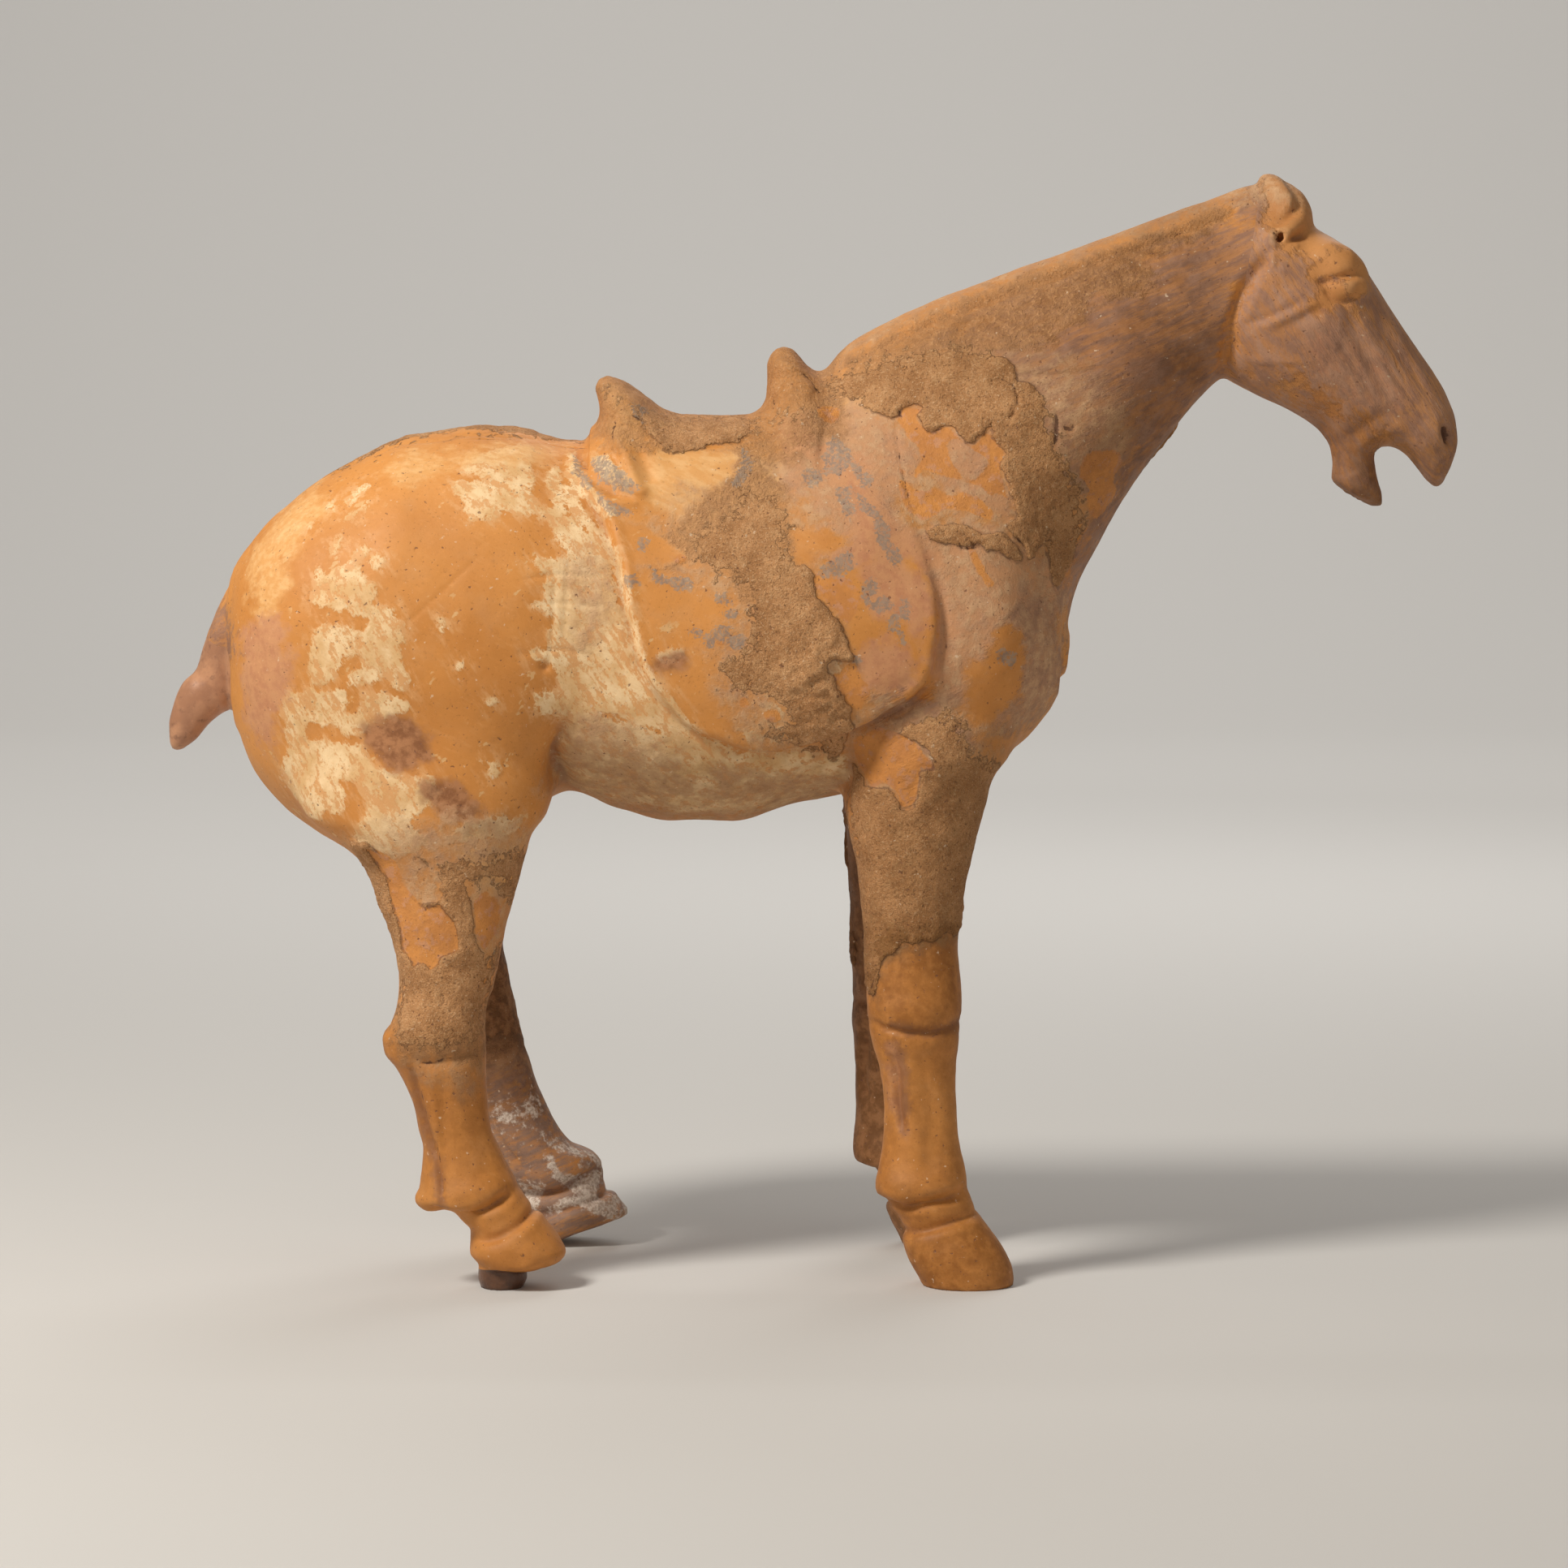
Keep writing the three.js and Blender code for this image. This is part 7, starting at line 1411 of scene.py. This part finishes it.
def clay(name, slip_a=SLIP_A, slip_b=SLIP_B, rough=0.58, grit=1.0):
    g = Graph(name)
    fine = g.noise(0.9, 4, 0.65)
    tiny = g.noise(0.38, 2, 0.6, 2.3)
    small = g.noise(3.0, 5, 0.64, 3.1)
    midn = g.noise(9.0, 5, 0.62, 7.7)
    large = g.noise(34.0, 4, 0.55, 11.9)
    brush = g.noise(2.2, 5, 0.66, 5.5, (1, 1, 3.6), -0.55)
    brush2 = g.noise(1.8, 4, 0.62, 9.5, (4.5, 1, 1), 0.5)
    lay = g.noise(1.7, 5, 0.68, 13.0, (1, 1, 4.5), -0.6) if name == "slip_head" else g.noise(1.9, 5, 0.68, 13.0, (5.0, 1.5, 1), -0.42)
    # slip over raw clay
    col = g.mix(g.ramp(large, 0.3, 0.7), slip_a, slip_b)
    col = g.mix(g.ramp(midn, 0.45, 0.75, 0, 0.35), col, (0.60, 0.29, 0.11))
    col = g.mix(g.ramp(brush2, 0.55, 0.8, 0, 0.22), col, (0.76, 0.40, 0.15))
    col = g.mix(g.ramp(small, 0.60, 0.78, 0, 0.4), col, SLIP_DARK)
    # pale wash
    c = g.ragged("cream", (brush, 3.2), (small, 1.9), (fine, 1.5))
    wash = g.calc("MULTIPLY", g.ramp(c, -5.0, 0.5), g.ramp(brush, 0.46, 0.62))
    cream = g.mix(g.ramp(midn, 0.35, 0.65), CREAM_A, CREAM_B)
    cream = g.mix(g.ramp(brush2, 0.5, 0.72, 0, 0.5), cream, CREAM_B)
    col = g.mix(g.calc("MULTIPLY", wash, 0.45), col, (0.74, 0.42, 0.19))
    m_cream = g.calc("MULTIPLY", g.ramp(c, -0.45, 0.6), g.ramp(g.calc("ADD", brush, g.calc("MULTIPLY", fine, 0.4)), 0.80, 0.69, 0.12, 1.0))
    col = g.mix(g.calc("MULTIPLY", m_cream, 0.94), col, cream)
    fleck = g.noise(3.4, 3, 0.55, 41.0, (1, 1, 1.8), 0.9)
    m_fleck = g.calc("MULTIPLY", g.ramp(fleck, 0.66, 0.70, 0, 0.75), g.ramp(g.attr("p_cream"), -7.9, -5.0))
    col = g.mix(m_fleck, col, CREAM_B)
    # pink bloom, brown stain with painted shade in some grooves and the nostril, and mauve film
    m_pale = g.ramp(g.ragged("pale", (small, 4.0), (midn, 3.0)), -2.5, 3.5, 0, 0.8)
    col = g.mix(m_pale, col, g.mix(g.ramp(brush2, 0.4, 0.65), (0.72, 0.37, 0.125), (0.79, 0.47, 0.20)))
    m = g.ramp(g.ragged("pink", (midn, 3.5), (small, 2.5), (lay, 2.0)), -2.2, 2.4, 0, 0.68)
    col = g.mix(m, col, g.mix(g.ramp(small, 0.4, 0.65), (0.60, 0.305, 0.165), (0.50, 0.225, 0.135)))
    m = g.ramp(g.ragged("stain_and_recess_shade", (small, 2.6), (fine, 0.7)), -1.6, 1.8, 0, 0.88)
    col = g.mix(m, col, g.mix(g.ramp(small, 0.38, 0.62), (0.22, 0.085, 0.036), (0.42, 0.19, 0.085)))
    mv = g.ragged("mauve", (midn, 4.0), (small, 2.0), (lay, 6.0))
    m = g.calc("MULTIPLY", g.ramp(mv, -2.5, 2.5), g.ramp(lay, 0.37, 0.60, 0.35 if name == "slip_head" else 0.5, 1.0))
    mauve_a, mauve_b = MAUVE.get(name, MAUVE["slip"])
    col = g.mix(m, col, g.mix(g.ramp(midn, 0.36, 0.62), mauve_a, mauve_b))
    # dusty tan film, patchy
    ds = g.ragged("dust", (midn, 3.5), (small, 3.0), (lay, 2.5), (fine, 1.2))
    m_dust = g.calc("MULTIPLY", g.ramp(ds, -4.5, 4.5), g.ramp(small, 0.34, 0.64, 0.34, 0.86))
    tan = g.mix(g.ramp(small, 0.36, 0.64), (0.47, 0.255, 0.125), (0.60, 0.36, 0.19))
    tan = g.mix(g.ramp(midn, 0.44, 0.66, 0, 0.6), tan, (0.40, 0.215, 0.125))
    tan = g.mix(g.ramp(fine, 0.58, 0.72, 0, 0.45), tan, (0.70, 0.46, 0.26))
    tan = g.mix(g.ramp(fine, 0.40, 0.28, 0, 0.45), tan, (0.24, 0.12, 0.055))
    col = g.mix(m_dust, col, tan)
    # thin earth film
    so = g.ragged("soil", (small, 3.2), (midn, 3.0), (fine, 0.8))
    m_soil = g.calc("MULTIPLY", g.ramp(so, -2.5, 2.5), g.ramp(fine, 0.3, 0.62, 0.45, 0.9))
    earth = g.mix(g.ramp(small, 0.35, 0.65), CRUST_A, CRUST_B)
    earth = g.mix(g.ramp(fine, 0.58, 0.74, 0, 0.6), earth, CRUST_C)
    col = g.mix(m_soil, col, earth)
    # vivid clean clay where a flake came away
    m_bare = g.ramp(g.ragged("bare", (small, 0.9), (fine, 0.6)), -0.25, 0.3)
    vivid = g.mix(g.ramp(small, 0.50, 0.62, 0, 0.75), g.mix(g.ramp(midn, 0.4, 0.6), (0.66, 0.27, 0.065), (0.56, 0.225, 0.06)), (0.58, 0.28, 0.15))
    col = g.mix(g.calc("MULTIPLY", m_bare, 0.93), col, vivid)
    # blue-grey pigment left in scraps
    gr = g.ragged("grey", (small, 2.0), (fine, 1.8))
    m_grey = g.calc("MULTIPLY", g.ramp(gr, -0.4, 0.4), g.ramp(fine, 0.38, 0.54, 0.2, 0.8))
    col = g.mix(m_grey, col, g.mix(g.ramp(small, 0.4, 0.6), (0.235, 0.185, 0.15), (0.36, 0.265, 0.19)))
    # crust
    soft = g.calc("SUBTRACT", 1.0, g.attr("p_crisp"))
    cr = g.ragged("crust", (fine, 0.35), (tiny, 0.12))
    cr = g.calc("ADD", cr, g.calc("MULTIPLY", soft, g.calc("MULTIPLY", g.calc("SUBTRACT", small, 0.5), 4.0)))
    m_crust = g.ramp(cr, -0.12, 0.2)
    dirt = g.mix(g.ramp(midn, 0.38, 0.62), CRUST_A, CRUST_B)
    grain = g.noise(1.7, 4, 0.7, 15.0)
    dirt = g.mix(g.ramp(small, 0.48, 0.68, 0, 0.4), dirt, CRUST_C)
    dirt = g.mix(g.ramp(grain, 0.46, 0.32, 0, 0.42), dirt, (0.25, 0.115, 0.043))
    dirt = g.mix(g.ramp(fine, 0.56, 0.74, 0, 0.55), dirt, (0.70, 0.46, 0.26))
    dirt = g.mix(g.ramp(fine, 0.44, 0.28, 0, 0.7), dirt, (0.17, 0.08, 0.034))
    dirt = g.mix(g.ramp(tiny, 0.55, 0.72, 0, 0.5), dirt, (0.74, 0.49, 0.28))
    dirt = g.mix(g.ramp(tiny, 0.45, 0.28, 0, 0.6), dirt, (0.20, 0.095, 0.04))
    # a dark line just outside the flaked crust edges: partly crack, partly the flakes' painted shadow
    crack_and_shadow = g.calc("MULTIPLY", g.calc("MULTIPLY", g.ramp(cr, -0.6, -0.1), g.attr("p_crisp")), g.calc("SUBTRACT", 1.0, m_crust))
    crack_and_shadow = g.calc("MULTIPLY", crack_and_shadow, g.ramp(small, 0.40, 0.58, 0.15, 0.9))
    col = g.mix(g.calc("MULTIPLY", crack_and_shadow, 0.75), col, (0.12, 0.05, 0.025))
    col = g.mix(m_crust, col, dirt)
    # chalky deposit, and the far legs darkened: partly dark grime, partly painted shade
    dk = g.ragged("dark", (midn, 2.5), (small, 1.2))
    col = g.mix(g.ramp(dk, -3.0, 3.0, 0, 0.86), col, g.mix(g.ramp(small, 0.38, 0.64), (0.12, 0.05, 0.018), (0.28, 0.13, 0.055)))
    ch = g.ragged("chalk", (small, 2.6), (midn, 3.0), (fine, 1.0))
    m_chalk = g.ramp(ch, -0.6, 0.8, 0, 0.9)
    col = g.mix(m_chalk, col, g.mix(g.ramp(fine, 0.4, 0.6), (0.50, 0.39, 0.31), (0.76, 0.66, 0.56)))
    # painted shade and brown film: the colour is multiplied darker
    film = g.calc("MULTIPLY", g.attr("p_film"), g.ramp(small, 0.3, 0.62, 0.55, 1.0), clamp=True)
    col = g.mix(film, col, g.mix(1.0, col, (0.50, 0.44, 0.33), "MULTIPLY"))
    # grain of the clay
    col = g.mix(g.ramp(fine, 0.42, 0.26, 0, 0.6), col, g.mix(1.0, col, (0.62, 0.56, 0.48), "MULTIPLY"))
    col = g.mix(g.ramp(fine, 0.58, 0.76, 0, 0.6), col, g.mix(1.0, col, (1.22, 1.26, 1.3), "MULTIPLY"))
    # cracks with painted shade in the grooves and the nostril, darker hollows, lighter ridges, specks
    col = g.mix(g.ramp(g.ragged("seam", (fine, 0.5), (small, 0.5)), 0.08, 0.4, 0, 0.8), col, (0.09, 0.036, 0.018))
    cav = g.attr("p_cav")
    col = g.mix(g.ramp(cav, 0.35, 2.6, 0, 0.62), col, (0.19, 0.085, 0.055))
    col = g.mix(g.ramp(cav, -0.5, -3.0, 0, 0.28), col, (0.72, 0.46, 0.24))
    speck = g.noise(1.15, 2, 0.5, 21.0)
    col = g.mix(g.ramp(speck, 0.68, 0.75, 0, 0.75), col, (0.16, 0.065, 0.035))
    pale = g.noise(1.5, 2, 0.5, 33.0)
    col = g.mix(g.ramp(pale, 0.70, 0.77, 0, 0.6), col, (0.74, 0.56, 0.38))
    col = g.mix(g.attr("p_raw"), col, g.mix(g.ramp(small, 0.35, 0.65), RAW, (0.48, 0.2, 0.08)))
    rough_all = g.calc("ADD", rough, g.ramp(midn, 0.35, 0.65, -0.04, 0.07))
    rough_all = g.fmix(m_cream, rough_all, 0.74)
    rough_all = g.fmix(m_dust, rough_all, 0.84)
    rough_all = g.fmix(m_soil, rough_all, 0.85)
    rough_all = g.fmix(m_chalk, rough_all, 0.9)
    rough_all = g.fmix(m_crust, rough_all, 0.95)
    coarse = g.calc("MAXIMUM", m_crust, g.calc("MAXIMUM", g.calc("MULTIPLY", m_soil, 0.6), g.calc("MULTIPLY", m_dust, 0.35)))
    h = g.calc("MULTIPLY", fine, 0.05 * grit)
    h = g.calc("ADD", h, g.calc("MULTIPLY", tiny, 0.022 * grit))
    h = g.calc("ADD", h, g.calc("MULTIPLY", coarse, g.calc("ADD", g.calc("MULTIPLY", fine, 0.48), g.calc("ADD", g.calc("MULTIPLY", grain, 0.36), g.calc("MULTIPLY", tiny, 0.24)))))
    h = g.calc("ADD", h, g.calc("MULTIPLY", m_cream, 0.05))
    h = g.calc("ADD", h, g.calc("MULTIPLY", g.ramp(mv, -3.0, 1.0), g.calc("MULTIPLY", lay, 0.55 if name == "slip_head" else 0.3)))
    h = g.calc("ADD", h, g.calc("MULTIPLY", g.ramp(speck, 0.66, 0.75), -0.07))
    return g.surface(col, rough_all, h, 0.32)


def plain(name, a, b, dark, rough, grit, spec=0.35):
    """A clay surface without paint: two tones, dark flecks, grain."""
    g = Graph(name)
    fine, tiny = g.noise(0.9, 4, 0.65), g.noise(0.4, 2, 0.6, 2.3)
    small, midn = g.noise(2.6, 5, 0.64, 3.1), g.noise(7.5, 4, 0.6, 7.7)
    col = g.mix(g.ramp(midn, 0.35, 0.65), a, b)
    col = g.mix(g.ramp(small, 0.54, 0.74, 0, 0.7), col, dark)
    col = g.mix(g.ramp(fine, 0.62, 0.78, 0, 0.35), col, tuple(min(1.0, c * 1.7) for c in a))
    col = g.mix(g.ramp(g.attr("p_cav"), 0.35, 2.6, 0, 0.5), col, tuple(c * 0.5 for c in dark))
    h = g.calc("ADD", g.calc("MULTIPLY", fine, 0.08 * grit), g.calc("MULTIPLY", tiny, 0.03 * grit))
    return g.surface(col, g.calc("ADD", rough, g.ramp(small, 0.35, 0.7, -0.05, 0.12)), h, spec)


LOOK = {
    "slip": clay("slip"),
    "slip_head": clay("slip_head", (0.60, 0.27, 0.085), (0.50, 0.205, 0.06), 0.62),
    # the far legs' slip, with darker mauve: partly painted shade
    "slip_far": clay("slip_far", SLIP_A, SLIP_B, 0.62),
    "crust": clay("crust", SLIP_A, SLIP_B, 0.6),
    "tail": plain("tail", (0.52, 0.26, 0.135), (0.36, 0.17, 0.09), (0.18, 0.078, 0.045), 0.40, 0.8, 0.5),
    # the hoof stub is a near-black brown, partly painted shade
    "fill": plain("fill", (0.15, 0.066, 0.032), (0.075, 0.033, 0.018), (0.03, 0.014, 0.009), 0.36, 1.8, 0.45),
    "bisque": plain("bisque", RAW, (0.5, 0.21, 0.085), (0.3, 0.12, 0.05), 0.8, 1.6),
}
SLOT = {
    "body_shell_right": "slip", "body_shell_left": "slip", "head_shell_right": "slip_head", "head_shell_left": "slip_head",
    "mane_ridge": "crust", "forelock": "slip_head", "ear_socket_right": "slip_head", "ear_socket_left": "slip_head",
    "foreleg_right": "slip", "foreleg_left": "slip_far", "hind_leg_right": "slip", "hind_leg_left": "slip_far",
    "hind_hoof_fill_right": "fill", "tail": "tail", "saddle_seat": "crust", "saddle_pommel": "crust",
    "saddle_cantle": "crust", "saddle_cloth_right": "slip", "saddle_cloth_left": "slip",
    "seam_coil_back": "bisque", "seam_coil_groin": "bisque", "seam_coil_chest": "bisque",
}
TREE = KDTree(len(V))
for i, p in enumerate((V * 0.001).tolist()):
    TREE.insert(p, i)
TREE.balance()
for nm, o in PARTS.items():
    me = o.data
    n = len(me.polygons)
    mi, tot = np.empty(n, np.int32), np.empty(n, np.int32)
    me.polygons.foreach_get("material_index", mi)
    me.polygons.foreach_get("loop_total", tot)
    ei = np.empty(len(me.loops), np.int32)
    me.loops.foreach_get("edge_index", ei)
    cut = (mi == 1) & (not nm.startswith("seam_coil"))
    lc = np.repeat(cut, tot)
    on_cut, on_skin = np.zeros(len(me.edges), bool), np.zeros(len(me.edges), bool)
    on_cut[ei[lc]] = True
    on_skin[ei[~lc]] = True
    me.polygons.foreach_set("use_smooth", ~cut)
    me.edges.foreach_set("use_edge_sharp", on_cut & on_skin)
    me.materials.clear()
    me.materials.append(LOOK[SLOT[nm]])
    me.polygons.foreach_set("material_index", np.zeros(n, np.int32))
    me.attributes.new("p_raw", "FLOAT", "FACE").data.foreach_set("value", cut.astype(np.float32))
    own = np.ones(len(me.vertices), np.float32)
    if "p_own" in me.attributes:
        me.attributes["p_own"].data.foreach_get("value", own)
    co = np.empty(len(me.vertices) * 3, np.float32)
    me.vertices.foreach_get("co", co)
    co = co.reshape(-1, 3)
    edge_v = np.empty(len(me.edges) * 2, np.int32)
    me.edges.foreach_get("vertices", edge_v)
    rim = np.unique(edge_v.reshape(-1, 2)[on_cut & on_skin])
    inside = np.setdiff1d(np.nonzero(own < 0.999)[0], rim)
    if len(rim) and not nm.startswith("seam_coil"):
        hit = np.array([TREE.find(co[i])[1] for i in rim])
        for k, v in PAINT.items():
            arr = np.empty(len(me.vertices), np.float32)
            me.attributes["p_" + k].data.foreach_get("value", arr)
            arr[rim] = v[hit]
            arr[inside] = 0.0 if k in ("cav", "crisp", "own") else -8.0
            me.attributes["p_" + k].data.foreach_set("value", arr)
    me.update()
    if nm == "body_shell_right":
        print("attributes", [(a.name, a.domain) for a in me.attributes][:14], "cut", int(cut.sum()), "of", n)
    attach(o, "root")
    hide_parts(nm)
for m in SIDES:
    bpy.data.materials.remove(m)

# a pale floor that sweeps up behind, light and camera
prof = [(-6.0, 0.0), (2.6, 0.0)] + [(2.6 + 2.2 * math.sin(t), 2.2 - 2.2 * math.cos(t)) for t in np.linspace(0.08, math.pi / 2, 20)] + [(4.8, 7.0)]
fv = [(x * 1000, y * 1000, z * 1000) for y, z in prof for x in (-7.0, 7.0)]
fl = new_object("floor", new_mesh("floor", fv, [(2 * i, 2 * i + 1, 2 * i + 3, 2 * i + 2) for i in range(len(prof) - 1)]))
fl.data.polygons.foreach_set("use_smooth", np.ones(len(fl.data.polygons), bool))
fm = bpy.data.materials.new("floor")
fm.use_nodes = True
fm.node_tree.nodes["Principled BSDF"].inputs["Base Color"].default_value = (0.62, 0.6, 0.57, 1)
fm.node_tree.nodes["Principled BSDF"].inputs["Roughness"].default_value = 0.85
fl.data.materials.append(fm)


def area(name, loc, aim, size, watts, color=(1, 1, 1)):
    l = bpy.data.lights.new(name, "AREA")
    l.shape = "DISK"
    l.size = size
    l.energy = watts
    l.color = color
    o = bpy.data.objects.new(name, l)
    bpy.context.scene.collection.objects.link(o)
    o.location = loc
    o.rotation_euler = (Vector(aim) - Vector(loc)).to_track_quat("-Z", "Y").to_euler()
    return o


area("key", (-0.60, -0.50, 0.86), (-0.02, 0, 0.16), 0.26, 10.2, (1.0, 0.96, 0.90))
area("fill", (1.3, -1.4, 0.5), (0, 0, 0.15), 1.2, 2.6, (1.0, 0.93, 0.85))
area("rim", (0.3, 1.2, 1.0), (0, 0, 0.2), 0.8, 4.0)
area("backdrop", (0.0, 1.6, 2.6), (0, 4.2, 0.6), 2.0, 60.0)
world = bpy.data.worlds.new("studio")
bpy.context.scene.world = world
world.use_nodes = True
world.node_tree.nodes["Background"].inputs["Color"].default_value = (0.84, 0.79, 0.73, 1)
world.node_tree.nodes["Background"].inputs["Strength"].default_value = 0.3

S_, D_, TH_ = 0.222, 1400.0, math.radians(3.8)
cam = bpy.data.cameras.new("cam")
cam.sensor_width = 36
cam.lens = 36 * (D_ / S_) / 1932
cam_o = bpy.data.objects.new("cam", cam)
bpy.context.scene.collection.objects.link(cam_o)
aim = Vector((-7.77, 0, 132.2)) * 0.001
cam_o.location = aim + Vector((0, -math.cos(TH_), math.sin(TH_))) * D_ * 0.001
cam_o.rotation_euler = (math.radians(90) - TH_, 0, 0)
cam.clip_start, cam.clip_end = 0.1, 50
bpy.context.scene.camera = cam_o
bpy.context.scene.view_settings.view_transform = "Standard"
